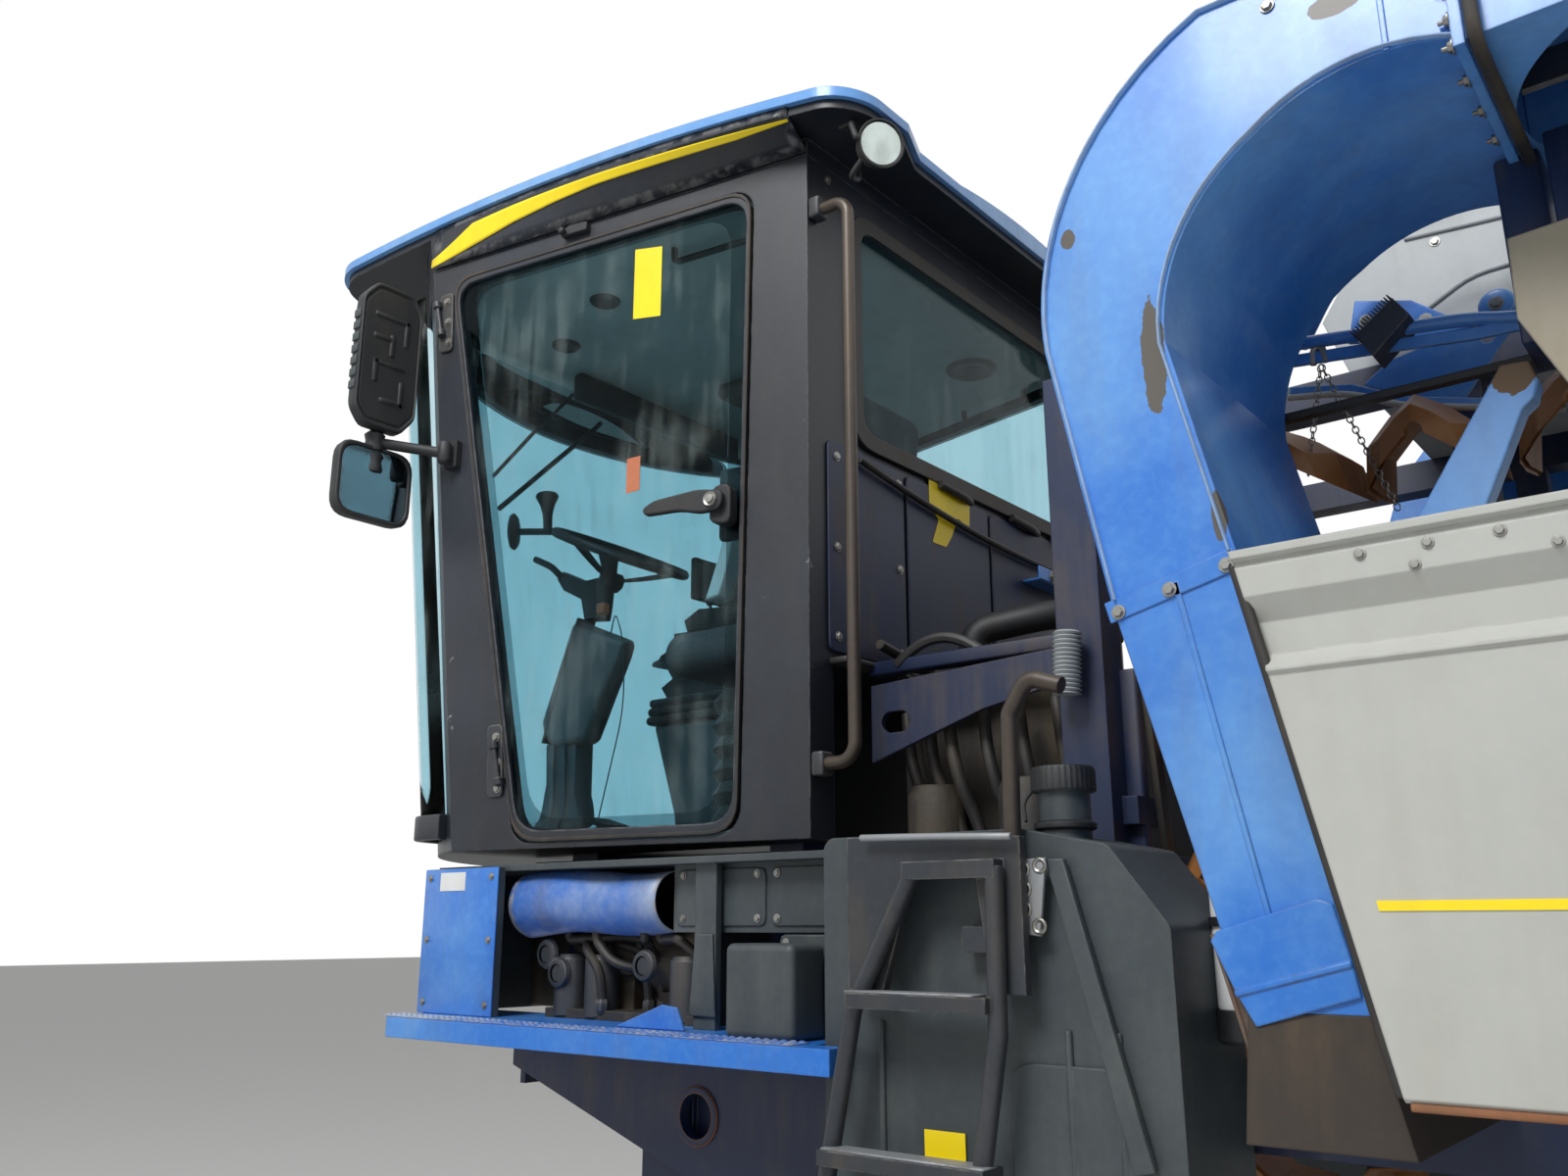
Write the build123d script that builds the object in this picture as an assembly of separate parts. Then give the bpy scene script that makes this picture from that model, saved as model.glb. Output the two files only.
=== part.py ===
from build123d import *
import os
from collections import namedtuple
from math import cos, sin, tan, radians, hypot, degrees, pi

# Grape harvester that straddles the vine row.
# Millimetres; X forward, Y to the machine's left, Z up; the origin is on the ground, amidships.
# Left-hand pieces are drawn and mirrored about the plane Y = 0.

# Driving sizes: overall
REAR_END_X = -2880
CAB_NOSE_X = 2880
HALF_WIDTH = 1288

# Driving sizes: basket loops and picking head
LOOP_TILT = 8
LOOP_FOOT = (220, 380)
LOOP_X = (-1700, 420)
LOOP_HEIGHT = 2120
LOOP_TOP_Z = LOOP_FOOT[1] + LOOP_HEIGHT
LOOP_CORNER = 320
LOOP_GUIDE_Z = (1320, 1800)
LOOP_GUIDE_HALF = 25
LOOP_GUIDE_BITE = 70
CHAIN_DEPTH = 46
CHAIN_WIDTH = 40
BASKET_PITCH = 233
BASKET_WIDTH = 230
BASKET_DEPTH = 110
BASKET_TAPER = 42
BASKET_GAP = 2
BASKET_WALL = 10
HEAD_X = (-1180, -60)
HEAD_Y = (400, 450)
HEAD_Z = (780, LOOP_TOP_Z - 510)
HEAD_BAR = 60
CLIP_RISE = (40, 96)
CLIP_HEIGHT = 36
CLIP_REACH = 74
CLIP_SPAN = (20, 126)
ROD_COUNT = 9
ROD_LOW_Z = 860
ROD_TOP_DROP = 186
ROD_PITCH = (HEAD_Z[1] - ROD_TOP_DROP - ROD_LOW_Z) / (ROD_COUNT - 1)
ROD_BOW_Y = 85
ROD_POST_INSET = (90, 40)
ROD_POST_RADIUS = 30
PICKER_ROD_RADIUS = 14
CONVEYOR_X = (-960, -640)
CONVEYOR_INNER_Y = 60
CONVEYOR_BED = 90
CONVEYOR_EDGE = 70
CONVEYOR_SHEET = 12
LOOP_REACH = 15

# Driving sizes: wheels
FRONT_WHEEL_X = 1400
FRONT_WHEEL_Y = 1000
FRONT_TYRE_RADIUS = 420
FRONT_TYRE_WIDTH = 320
FRONT_RIM_RADIUS = 205
REAR_WHEEL_X = -1600
REAR_WHEEL_Y = 1010
REAR_TYRE_RADIUS = 630
REAR_TYRE_WIDTH = 400
REAR_RIM_RADIUS = 310
FRONT_LUGS = 12
REAR_LUGS = 14
LUG_HEIGHT = 28
RIM_LIP = 16
LUG_WIDTH = 42
LUG_SLANT = 38
LUG_SPAN = 0.54
LUG_OFFSET = 0.235
LUG_ROOT = 26
BEAD_SHARE = 0.38
CROWN_SHARE = 0.3
SIDEWALL_SHARE = 0.45
SHOULDER_SHARE = 0.12
SIDEWALL_TUCK = 4
SHOULDER_TUCK = 12
RIM_SHEET = 14
DISC_SHARE = 0.55
DISC_SHEET = 16
HUB_RADIUS = (80, 95)
KINGPIN_Y = 760
KINGPIN_RADIUS = 52
KINGPIN_SPIGOT_RADIUS = 36
KINGPIN_SPIGOT_LENGTH = 120
KINGPIN_FOOT = 90
KNUCKLE_TOP_Z = 905
COLLAR_RADIUS = 78
COLLAR_HEIGHT = 40
STEER_ARM_LENGTH = 190
STEER_ARM_Y = (-34, 20)
STEER_ARM_DROP = (36, 8)
FRONT_MOTOR_RADIUS = 84
REAR_MOTOR_RADIUS = 100
MOTOR_GAP = 6
FRONT_LEG_HALF = 70
FRONT_LEG_Y = (-62, 50)
FRONT_LEG_TOP_DROP = 20
FRONT_LEG_LINK = 60
HEEL_LENGTH = 330
HEEL_Z = 1000
HEEL_Y = (-50, 38)
REAR_LEG_HALF = (130, 85)
REAR_LEG_OFFSET = 15
FRONT_DISH = 60
REAR_DISH = 90
HUB_LENGTH = 120
AXLE_RADIUS = 45
RUNNING_GAP = 0.06
END_PLAY = 2

# Driving sizes: chassis
RAIL_Y = (600, 690)
RAIL_Z = (1260, 1380)
RAIL_FRONT_X = 1880
RAIL_REAR_X = -2680
BEAM_Y = (820, 840)
BEAM_TOP_Z = 1345
BEAM_PROFILE = ((1860, 1300), (1300, 1120), (1180, 1070), (980, 1070), (880, 1200))
BEAM_WEBS = (900, 1010, 1560, 1840)
WEB_THICK = 16
EYE_X = 1290
EYE_Z = 1240
EYE_RADIUS = 42
EYE_RING = 12
EYE_BOSS = 6
OUTRIGGER_X = (-800, -710)
OUTRIGGER_Y = 1200
OUTRIGGER_PAD = 12
PIVOT_BAR_Y = 1240
PIVOT_BAR_RISE = 70
CHEEK_HALF = 45
CHEEK_THICK = 22
CYLINDER_EAR_Y = (-58, 40)
CYLINDER_EAR_THICK = 18
CYLINDER_EAR_HALF = 40
POST_Y = (600, 680)
MID_ARCH_X = (450, 540)
REAR_ARCH_X = (-1990, -1900)
TOP_BEAM_Y = (280, 340)
TOP_BEAM_GAP = 70
TOP_BEAM_DEPTH = 70
TOP_BEAM_Z = (LOOP_TOP_Z + TOP_BEAM_GAP, LOOP_TOP_Z + TOP_BEAM_GAP + TOP_BEAM_DEPTH)
HANGER_INSET = 40
CRADLE_Y = (320, 400)
CRADLE_RISE = (270, 350)
CAB_TIE_HALF = 60
FAN_BRACKET_HALF = (170, 120)
FAN_BRACKET_SHEET = 12
CAB_ARCH_X = ((1150, 1240), (1780, 1870))
CAB_ARCH_Z = (1690, 1770)
SEAT_GAP = 0.3

# Driving sizes: cab
CAB_REAR_X = 1065
CAB_REAR_HALF = 762
CAB_FLARE = 11
CAB_FLOOR_Z = 1770
CAB_HEADER_Z = 3330
CAB_SIDE_BOTTOM = 950
CAB_SIDE_TOP = 1150
CAB_NOSE_BOTTOM_X = 2640
CAB_NOSE_TOP_X = 2800
CAB_WALL = 45
CAB_FLOOR_THICK = 30
CAB_WIDE = 1300
GLASS_THICK = 6
GLASS_INSET = 8
ROOF_ARC = ((860, 3362), (1900, 3458), (2900, 3397))
ROOF_REAR = (910, 855)
ROOF_LOBE = (48, 520, 640)
ROOF_SHOULDER = (2600, 1040)
ROOF_NOSE_X = CAB_NOSE_X
ROOF_CORNER = 120
ROOF_RIM = 24
ROOF_TOP = (1850, 3610)
ROOF_CAP_RADIUS = 2420
ROOF_LOW_Z = CAB_HEADER_Z - 100
TRAY_THICK = 22
TRAY_INSET = 14
FASCIA_REACH = 8
FASCIA_WALL = 60
RECESS_TOP_Z = 2150
RECESS_DEPTH = 200
RECESS_SIDE = 82
RECESS_WALL = (25, 20)
DOOR_OUTLINE = ((148, 3280), (1070, 3280), (761, 1790), (172, 1790))
DOOR_RADIUS = 60
DOOR_BORDER = 42
DOOR_THICK = 28
DOOR_GAP = 8
DOOR_DEPTH = (-4, DOOR_THICK - 4)
PANE_RADIUS = DOOR_RADIUS - 20
HANDLE_GRIP = ((193, 2490), (193, 2530), (400, 2522), (400, 2500))
HANDLE_PLATE = ((160, 2470), (160, 2550), (300, 2540), (300, 2480))
HANDLE_OUT = (-46, -26)
STRAP_REACH = (40, 76)
STRAP_THICK = 3
HINGE_LOW = (818, 1967)
HINGE_HIGH = (1103, 3170)
HINGE_OUT = 14
HINGE_RADIUS = 11
HINGE_PIN_RADIUS = 6
HINGE_BARREL = 70
HINGE_EAR = 16
HINGE_PLAY = 1
WINDSCREEN_CUT = ((2040, 1850), (2235, 3270), (3100, 3270), (3100, 1850))
SEAT_X = (1600, 2120)
SEAT_Y = (-20, 460)
SEAT_Z = 2240
SEAT_THICK = 120
SEAT_BACK = ((1590, 1730), (1540, 1660), 2960)
SEAT_ROLL = 40
PEDESTAL_FOOT = ((1700, 2120), (60, 380), 60)
PEDESTAL_POST = ((1780, 2040), (110, 330))
CONSOLE_PROFILE = ((1760, 2370), (2080, 2400), (2240, 2520), (2240, 2600), (2050, 2520), (1760, 2500))
CONSOLE_Y = (-190, -60)
CONSOLE_POST = ((1800, 2372), (2000, 2400))
CONSOLE_POST_Y = (-160, -90)
COLUMN_FOOT_X = (2400, 2540)
COLUMN_PROFILE = ((2520, 2170), (2300, 2580), (2210, 2530), (2400, 2100))
COLUMN_Y = (150, 270)
WHEEL_HUB = (2250, 210, 2540)
WHEEL_LEAN = (-0.42, 0, 0.9)
WHEEL_RISE = 90
WHEEL_RADIUS = 195
WHEEL_RIM_RADIUS = 14
WHEEL_STEM_RADIUS = 24
WHEEL_BOSS = (40, 26)
WHEEL_SPOKE = (26, 16)
WHEEL_SPOKE_TURNS = (60, 180, 300)
LAMP_PLACE = (866, 745, 3284)
LAMP_RADIUS = 50
LAMP_DEPTH = 62
LAMP_FOOT = 16
REAR_WINDOW_HALF = 592
REAR_WINDOW_Z = (2680, 3240)

# Driving sizes: engine and exhaust
ENGINE_X = (600, 1020)
ENGINE_HALF = 480
ENGINE_RISE = (350, 750)
EXHAUST_PLACE = (800, -560)
EXHAUST_TOP_Z = 3150
EXHAUST_RADIUS = 45
EXHAUST_WALL = 5
TIE_PLATE = ((535, 2110), (985, 2085), (985, 1925), (720, 2010), (535, 2045))
TIE_PLATE_Y = (644, 656)
TIE_HOLE = (925, 2005)
TIE_HOLE_SIZE = (70, 44)

# Driving sizes: mirrors
Mirror = namedtuple("Mirror", "x low width height depth")
MIRRORS = (
    Mirror(x=2150, low=2815, width=175, height=395, depth=62),
    Mirror(x=2170, low=2575, width=215, height=200, depth=50),
)
MIRROR_CORNER = 30
MIRROR_FOOT = (1010, 2770)
MIRROR_STEM = (2190, 1120)
MIRROR_TUBE_RADIUS = 14
MIRROR_FOOT_SIZE = (55, 60, 30)
MIRROR_POST = (28, 32, 60)

# Driving sizes: platform, ladder and tank
PLATFORM_Y = (745, 1050)
PLATFORM_X = (872, 2090)
PLATFORM_TAIL_X = 800
PLATFORM_Z = (1362, 1405)
PLATFORM_CORNER = 40
PLATFORM_STRIP_GAP = 10
PLATFORM_BRACKET_X = (1560, 1620)
LADDER_Y = PLATFORM_Y[1]
LADDER_FRONT = ((625, 1690), (750, 1470), (806, 1215), (812, 480))
LADDER_REAR = ((478, 1690), (482, 1440), (525, 1215), (540, 480))
LADDER_TUBE_RADIUS = 15
LADDER_BEND = 60
LADDER_PLATE = ((440, 1500), (440, 1735), (770, 1745), (770, 1500))
LADDER_CUT = ((700, 1500), (640, 1680), (520, 1680), (500, 1500))
LADDER_HEAD = ((470, 640), (1672, 1700))
LADDER_STAY = ((470, 560), (1560, 1600))
RUNG_X = (500, 805)
TOP_RUNG_X = (485, 745)
RUNG_HALF = (30, 12)
PLATE_DEPTH = (32, 15)
HANDRAIL_RADIUS = 14
CAB_RAIL = (742, 965, 1920, 3185)
CAB_RAIL_BEND = 40
STEP_RAIL = ((470, 1700), (465, 1930), (430, 1985), (370, 1965))
STEP_RAIL_BEND = 25
BRIDGE_Z = (1722, 1736)
COVER_TOP_Z = BRIDGE_Z[0] - SEAT_GAP
RUNG_TOP_Z = 1485
RUNG_PITCH = 240
RUNG_COUNT = 5
TANK_X = (230, 860)
TANK_Y = (735, 985)
TANK_Z = (900, 1750)
TANK_PROFILE = ((30, 0, 0), (0, 120, 0), (0, -150, 1), (90, -30, 1), (240, 0, 1))
TANK_EDGE = 24
TANK_NECK = (430, 900)
NECK_RADIUS = 42
NECK_HEIGHT = 60
TANK_CAP_RADIUS = 50
TANK_CAP_HEIGHT = 38
TANK_STRAP = ((560, 620), (1200, 1260))

# Driving sizes: panels and fittings over the platform
CORNER_X = (1840, 2110)
CORNER_Y = (520, 905, 925)
CORNER_SHEET = 18
CORNER_TOP_Z = 1730
SILL_X = (870, 1350)
SILL_Y = (840, 856)
SILL_Z = 1588
SILL_POST_X = (860, 905)
BRIDGE_X = (870, 2092)
BRIDGE_Y = (700, 905)
SILL_STRUT = ((1205, 1262), (870, 886))
CONTROL_BOX = ((920, 1080), (900, 1000), 1570)
CONTROL_BOX_EDGE = 14
COVER_X = (1366, 1836)
COVER_OUTSIDE = ((800, -4), (850, 0), (892, -36), (900, -90), (872, -142))
COVER_INSIDE = ((864, -138), (890, -88), (884, -40), (846, -9), (800, -12))
BAY_BASE = ((1280, 1770), (620, 830), 20)
BAY_VALVES = ((1560, 1760), (640, 760), 230)
BAY_PUMP = ((1310, 1500), 720, 120, 78)
BAY_FOOT = ((1340, 1460), (660, 780), 60)

# Driving sizes: hopper, X and Z of its side profile
HOPPER_Y = (700, 1280)
HOPPER_WALL = 8
HOPPER_FLOOR_Z = 1420
HOPPER_RIM_Z = 2047
HOPPER_FRONT_X = -620
HOPPER_FLOOR_REAR_X = -2300
HOPPER_LIP_Z = 1960
HOPPER_FOLD_Z = 1895
SKIRT_TOP_X = -10
SKIRT_BOTTOM_X = -140
HOPPER_PIVOT = (-2620, 1400)
PIVOT_RADIUS = 30
PIVOT_EAR_Y = (800, 1130)
PIVOT_EAR_THICK = 30
PIVOT_EAR = ((40, -10), (-36, -10), (-60, 300), (330, 40))
PIVOT_EYE = 18
CYLINDER_LUG_Y = (-46, 32)
CYLINDER_LUG = (40, 14, 34)
CYLINDER_BASE = (-2570, 900)
CYLINDER_EYE = (-2270, 1300)
CYLINDER_Y = 960
BARREL_RADIUS = 36
ROD_RADIUS = 20
BARREL_EYE = (34, 28)
BARREL_SPAN = (20, 70)
ROD_EYE = (30, 25)
ROD_EYE_BORE = 16
ROD_START = 120

# Driving sizes: arch duct and fan; the arch's points are X and rise over the fan's floor or top
FAN_X = -600
FAN_RADIUS = 258
FAN_RISE = 50
FAN_HEIGHT = 210
FAN_Z = (TOP_BEAM_Z[1] + FAN_RISE, TOP_BEAM_Z[1] + FAN_RISE + FAN_HEIGHT)
FAN_SHEET = 8
FAN_BORE_RADIUS = 22
DUCT_Y = (680, 1180)
DUCT_WALL = 5
DUCT_FOOT_Z = 1500
DUCT_FOOT_X = (-87, 55)
LEG_TOP = ((17, 2080), (196, 2036))
ARCH_END_X = -335
ARCH_INNER = ((88, -290), (45, -125), (-65, -20), (-205, 28), (ARCH_END_X, 0))
ARCH_OUTER = ((ARCH_END_X, 0), (0, 8), (221, -188), (276, -460))
ARCH_FLANGE = 14
DUCT_STAND = ((-50, 30), (RAIL_Y[0] + 20, 1640))
SPOUT_Z = 1350
SPOUT_TOP = (-16, 936, 142, 488)
SPOUT_MOUTH = (-30, 946, 190, 500)
SPOUT_WALL = 8
ROTOR_GAP = 14
ROTOR_HUB_RADIUS = 60
ROTOR_HUB_INSET = (20, 30)
ROTOR_STEM_RISE = 40
ROTOR_BLADES = 6
ROTOR_BLADE = (8, 110)
ROTOR_BLADE_PITCH = 35
ROTOR_BLADE_RISE = 75

# Driving sizes: hood and cooler, rises over the top beams
HOOD_HALF = 330
HOOD_PROFILE = ((60, 0), (100, 120), (-40, 330), (-180, 370), (-1250, 370), (-1250, 0))
HOOD_EDGE = 60
COOLER_X = (-1800, HOOD_PROFILE[-1][0])
COOLER_HALF = 420
COOLER_HEIGHT = 360
COOLER_FRAME = 50
COOLER_DEPTH = 30
COOLER_SLATS = 5
SLAT_PITCH = 40
SLAT_HEIGHT = 12


def block(x, y, z):
    """Box between pairs of limits along X, Y and Z."""
    size = [high - low for low, high in (x, y, z)]
    middle = [(high + low) / 2 for low, high in (x, y, z)]
    return Pos(*middle) * Box(*size)


def side_plate(points, y):
    """Plate of an X, Z outline between two values of Y."""
    outline = Plane.XZ.offset(-y[1]) * make_face(Polyline(*points, close=True))
    return extrude(outline, amount=y[1] - y[0])


def tube(points, radius, bend):
    """Round bar along a route of straight runs joined by arcs."""
    route = FilletPolyline(*points, radius=bend) if len(points) > 2 else Line(*points)
    section = Plane(origin=route @ 0, z_dir=route % 0) * Circle(radius)
    return sweep(section, path=route)


def shaft(start, end, radius):
    """Straight round bar between two points."""
    start, end = Vector(*start), Vector(*end)
    along = end - start
    face = Plane(origin=start, z_dir=along) * Circle(radius)
    return extrude(face, amount=along.length)


def other_side(shape):
    """The same piece on the machine's right."""
    return mirror(shape, about=Plane.XZ)


def pair(shape):
    """A left piece and its right one, as separate solids."""
    return [shape, other_side(shape)]


def fused(first, *others):
    """One solid from pieces that touch."""
    for piece in others:
        first = first + piece
    return first


# Wheels
FRONT_PLACE = Pos(FRONT_WHEEL_X, FRONT_WHEEL_Y, FRONT_TYRE_RADIUS)
REAR_PLACE = Pos(REAR_WHEEL_X, REAR_WHEEL_Y, REAR_TYRE_RADIUS)


def tyre(radius, width, rim_radius, lugs):
    """Tyre about the Y axis at the origin, with slanted lugs in two staggered rows."""
    crown = radius - LUG_HEIGHT
    wall = crown - rim_radius
    side = [
        (rim_radius, BEAD_SHARE * width),
        (rim_radius + RIM_LIP, BEAD_SHARE * width),
        (rim_radius + SIDEWALL_SHARE * wall, width / 2 - SIDEWALL_TUCK),
        (crown - SHOULDER_SHARE * wall, width / 2 - SHOULDER_TUCK),
        (crown, CROWN_SHARE * width),
    ]
    profile = Polyline(*[(x, -y) for x, y in side], *reversed(side), close=True)
    body = revolve(make_face(profile), axis=Axis.Y)
    bar_height = LUG_HEIGHT + LUG_ROOT
    bars = []
    for row in (-1, 1):
        bar = Box(LUG_WIDTH, LUG_SPAN * width, bar_height)
        place = Pos(0, row * LUG_OFFSET * width, radius - bar_height / 2 + SHOULDER_TUCK / 2)
        bar = place * Rot(0, 0, row * LUG_SLANT) * bar
        for step in range(lugs):
            turn = 360 * (step + (0.5 if row > 0 else 0)) / lugs + 180
            bars.append(Rot(0, turn, 0) * bar)
    envelope = Rot(90, 0, 0) * Cylinder(radius, width)
    for bar in bars:
        body = body + (bar & envelope)
    return body


def rim(rim_radius, width, dish, hub_length):
    """Dished rim about the Y axis at the origin, hub open for the stub axle; dish is its disc's place."""
    flange = rim_radius + RIM_LIP - 2
    well = rim_radius - RIM_SHEET
    half = BEAD_SHARE * width
    bore = AXLE_RADIUS + RUNNING_GAP
    lip = RIM_SHEET / 2
    profile = Polyline(
        (bore, dish - hub_length),
        (bore, dish + RIM_SHEET),
        (HUB_RADIUS[1], dish + RIM_SHEET),
        (DISC_SHARE * rim_radius, dish),
        (well - RIM_SHEET, dish - RIM_SHEET),
        (well - RIM_SHEET, half + lip / 2),
        (flange, half + lip),
        (flange, half),
        (rim_radius, half),
        (rim_radius, -half),
        (flange, -half),
        (flange, -half - lip),
        (well, -half - lip / 2),
        (well, dish - RIM_SHEET - DISC_SHEET),
        (DISC_SHARE * rim_radius, dish - DISC_SHEET),
        (HUB_RADIUS[0], dish - DISC_SHEET),
        (HUB_RADIUS[0], dish - hub_length),
        close=True,
    )
    return revolve(make_face(profile), axis=Axis.Y)


def knuckle():
    """Turning post with its stub axle and motor housing, inboard of the front tyre."""
    x, y, z = FRONT_WHEEL_X, KINGPIN_Y, FRONT_TYRE_RADIUS
    top = KNUCKLE_TOP_Z
    post = shaft((x, y, z - KINGPIN_FOOT), (x, y, top), KINGPIN_RADIUS)
    housing_end = FRONT_WHEEL_Y + FRONT_DISH - HUB_LENGTH - MOTOR_GAP
    housing = shaft((x, y, z), (x, housing_end, z), FRONT_MOTOR_RADIUS)
    axle = shaft((x, housing_end, z), (x, FRONT_WHEEL_Y + FRONT_DISH, z), AXLE_RADIUS)
    collar = shaft((x, y, top - COLLAR_HEIGHT), (x, y, top), COLLAR_RADIUS)
    spigot = kingpin(KINGPIN_SPIGOT_RADIUS, KINGPIN_SPIGOT_LENGTH)
    arm = block((x - STEER_ARM_LENGTH, x), (y + STEER_ARM_Y[0], y + STEER_ARM_Y[1]),
                (top - STEER_ARM_DROP[0], top - STEER_ARM_DROP[1]))
    return fused(post, housing, axle, collar, arm, spigot)


def kingpin(radius, length):
    """Round form about the steering axis, up from the knuckle's top."""
    x, y, z = FRONT_WHEEL_X, KINGPIN_Y, KNUCKLE_TOP_Z
    return shaft((x, y, z), (x, y, z + length), radius)


def front_leg():
    """Leg under the rail that carries the kingpin, with the raked box behind it."""
    x, y, half = FRONT_WHEEL_X, KINGPIN_Y, FRONT_LEG_HALF
    top = BEAM_TOP_Z - FRONT_LEG_TOP_DROP
    inner, outer = [y + side for side in FRONT_LEG_Y]
    column = block((x - half, x + half), (inner, outer), (KNUCKLE_TOP_Z + SEAT_GAP, top))
    link = block((x - half, x + half), (RAIL_Y[1], inner), (RAIL_Z[0] - FRONT_LEG_LINK, top))
    heel_y = (y + HEEL_Y[0], y + HEEL_Y[1])
    heel = side_plate([(x - HEEL_LENGTH, top), (x - half, top), (x - half, HEEL_Z)], heel_y)
    bore = kingpin(KINGPIN_SPIGOT_RADIUS + RUNNING_GAP, KINGPIN_SPIGOT_LENGTH + END_PLAY)
    return fused(column, link, heel) - bore


def rear_leg():
    """Leg inboard of the rear tyre with its stub axle."""
    x, z = REAR_WHEEL_X, REAR_TYRE_RADIUS
    high, low = REAR_LEG_HALF
    foot_z = z - KINGPIN_FOOT
    side = RAIL_Y[1] + REAR_LEG_OFFSET
    column = side_plate([(x - high, RAIL_Z[0]), (x + high, RAIL_Z[0]), (x + low, foot_z), (x - low, foot_z)],
                        (RAIL_Y[0] + REAR_LEG_OFFSET, side))
    housing_end = REAR_WHEEL_Y + REAR_DISH - HUB_LENGTH - MOTOR_GAP
    housing = shaft((x, side, z), (x, housing_end, z), REAR_MOTOR_RADIUS)
    axle = shaft((x, housing_end, z), (x, REAR_WHEEL_Y + REAR_DISH, z), AXLE_RADIUS)
    return fused(column, housing, axle)


# Chassis


def chassis_rail():
    """Left rail with the front beam plate, its ringed eye, webs and outriggers."""
    rail = block((RAIL_REAR_X, RAIL_FRONT_X), RAIL_Y, RAIL_Z)
    corners = [(BEAM_PROFILE[0][0], BEAM_TOP_Z), *BEAM_PROFILE, (BEAM_PROFILE[-1][0], BEAM_TOP_Z)]
    beam = side_plate(corners, BEAM_Y)
    ring = shaft((EYE_X, BEAM_Y[0], EYE_Z), (EYE_X, BEAM_Y[1] + EYE_BOSS, EYE_Z), EYE_RADIUS + EYE_RING)
    eye = shaft((EYE_X, BEAM_Y[0] - EYE_RING, EYE_Z), (EYE_X, BEAM_Y[1] + EYE_RING, EYE_Z), EYE_RADIUS)
    plate = beam + ring - eye
    webs = [block((x, x + WEB_THICK), (RAIL_Y[1], BEAM_Y[0]), (RAIL_Z[0], BEAM_TOP_Z)) for x in BEAM_WEBS]
    pad_z = HOPPER_FLOOR_Z - OUTRIGGER_PAD
    inner, outer = OUTRIGGER_X
    inset = OUTRIGGER_PAD
    outrigger = block(OUTRIGGER_X, (RAIL_Y[1], OUTRIGGER_Y), (RAIL_Z[0] + HOPPER_WALL, pad_z))
    pad = block((inner + inset, outer - inset), (HOPPER_Y[0] + PIVOT_RADIUS, OUTRIGGER_Y - inset),
                (pad_z, HOPPER_FLOOR_Z - SEAT_GAP))
    px, pz = HOPPER_PIVOT
    bar_z = (RAIL_Z[0], RAIL_Z[0] + PIVOT_BAR_RISE)
    cross = block((RAIL_REAR_X, px + CHEEK_HALF), (RAIL_Y[1], PIVOT_BAR_Y), bar_z)
    pin = shaft((px, RAIL_Y[1] + CHEEK_THICK / 2, pz), (px, PIVOT_BAR_Y, pz), PIVOT_RADIUS)
    cheek_x, cheek_z = (px - CHEEK_HALF, px + CHEEK_HALF), (RAIL_Z[0], pz + CHEEK_HALF)
    cheeks = [block(cheek_x, (y, y + CHEEK_THICK), cheek_z) for y in (RAIL_Y[1], PIVOT_BAR_Y - CHEEK_THICK)]
    z = LOOP_GUIDE_Z[0]
    guide_y, guide_z = (loop_outer_y(z) - LOOP_GUIDE_BITE, RAIL_Y[0] + EYE_BOSS), guide_heights(z)
    guides = [block(x, guide_y, guide_z) for x in loop_guide_x(2 * LOOP_GUIDE_HALF)]
    return fused(rail, plate, *webs, outrigger, pad, cross, pin, *cheeks, *cylinder_ears(), *guides)


def cylinder_ears():
    """Two ears below the pivot bar with the cylinder's base pin between them."""
    px, bx, bz = HOPPER_PIVOT[0], *CYLINDER_BASE
    half = CYLINDER_EAR_HALF
    top = RAIL_Z[0] + half
    corners = [(px - half, top), (px + half, top), (bx + half, bz - half), (bx - half, bz - half)]
    sides = [CYLINDER_Y + y for y in CYLINDER_EAR_Y]
    ears = [side_plate(corners, (y, y + CYLINDER_EAR_THICK)) for y in sides]
    pin = shaft((bx, sides[0] + EYE_BOSS, bz), (bx, sides[1] + CYLINDER_EAR_THICK - EYE_BOSS, bz), ROD_RADIUS)
    return [*ears, pin]


def loop_outer_y(z):
    """Y of the chain band's outer side at a height."""
    reach = BASKET_WIDTH / 2 + CHAIN_WIDTH
    tilt_cos, tilt_sin = cos(radians(LOOP_TILT)), sin(radians(LOOP_TILT))
    return LOOP_FOOT[0] + (reach + (z - LOOP_FOOT[1]) * tilt_sin) / tilt_cos


def guide_heights(z):
    """Z limits of a guide about its middle."""
    return (z - LOOP_GUIDE_HALF, z + LOOP_GUIDE_HALF)


def loop_guide_x(length):
    """X limits of the guides that stand just off the loop's rear and front runs."""
    return ((LOOP_X[0] - length, LOOP_X[0] - SEAT_GAP), (LOOP_X[1] + SEAT_GAP, LOOP_X[1] + length))


def arch(x, beam_z):
    """Two posts and a beam over the row."""
    post = block(x, POST_Y, (RAIL_Z[1], beam_z[1]))
    beam = block(x, (-POST_Y[0], POST_Y[0]), beam_z)
    return fused(beam, post, other_side(post))


def cab_arches():
    """Front arches under the cab floor."""
    shapes = [arch(x, CAB_ARCH_Z) for x in CAB_ARCH_X]
    tie = block((CAB_ARCH_X[0][1], CAB_ARCH_X[1][0]), (-CAB_TIE_HALF, CAB_TIE_HALF), CAB_ARCH_Z)
    return fused(shapes[0], tie, shapes[1])


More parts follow.
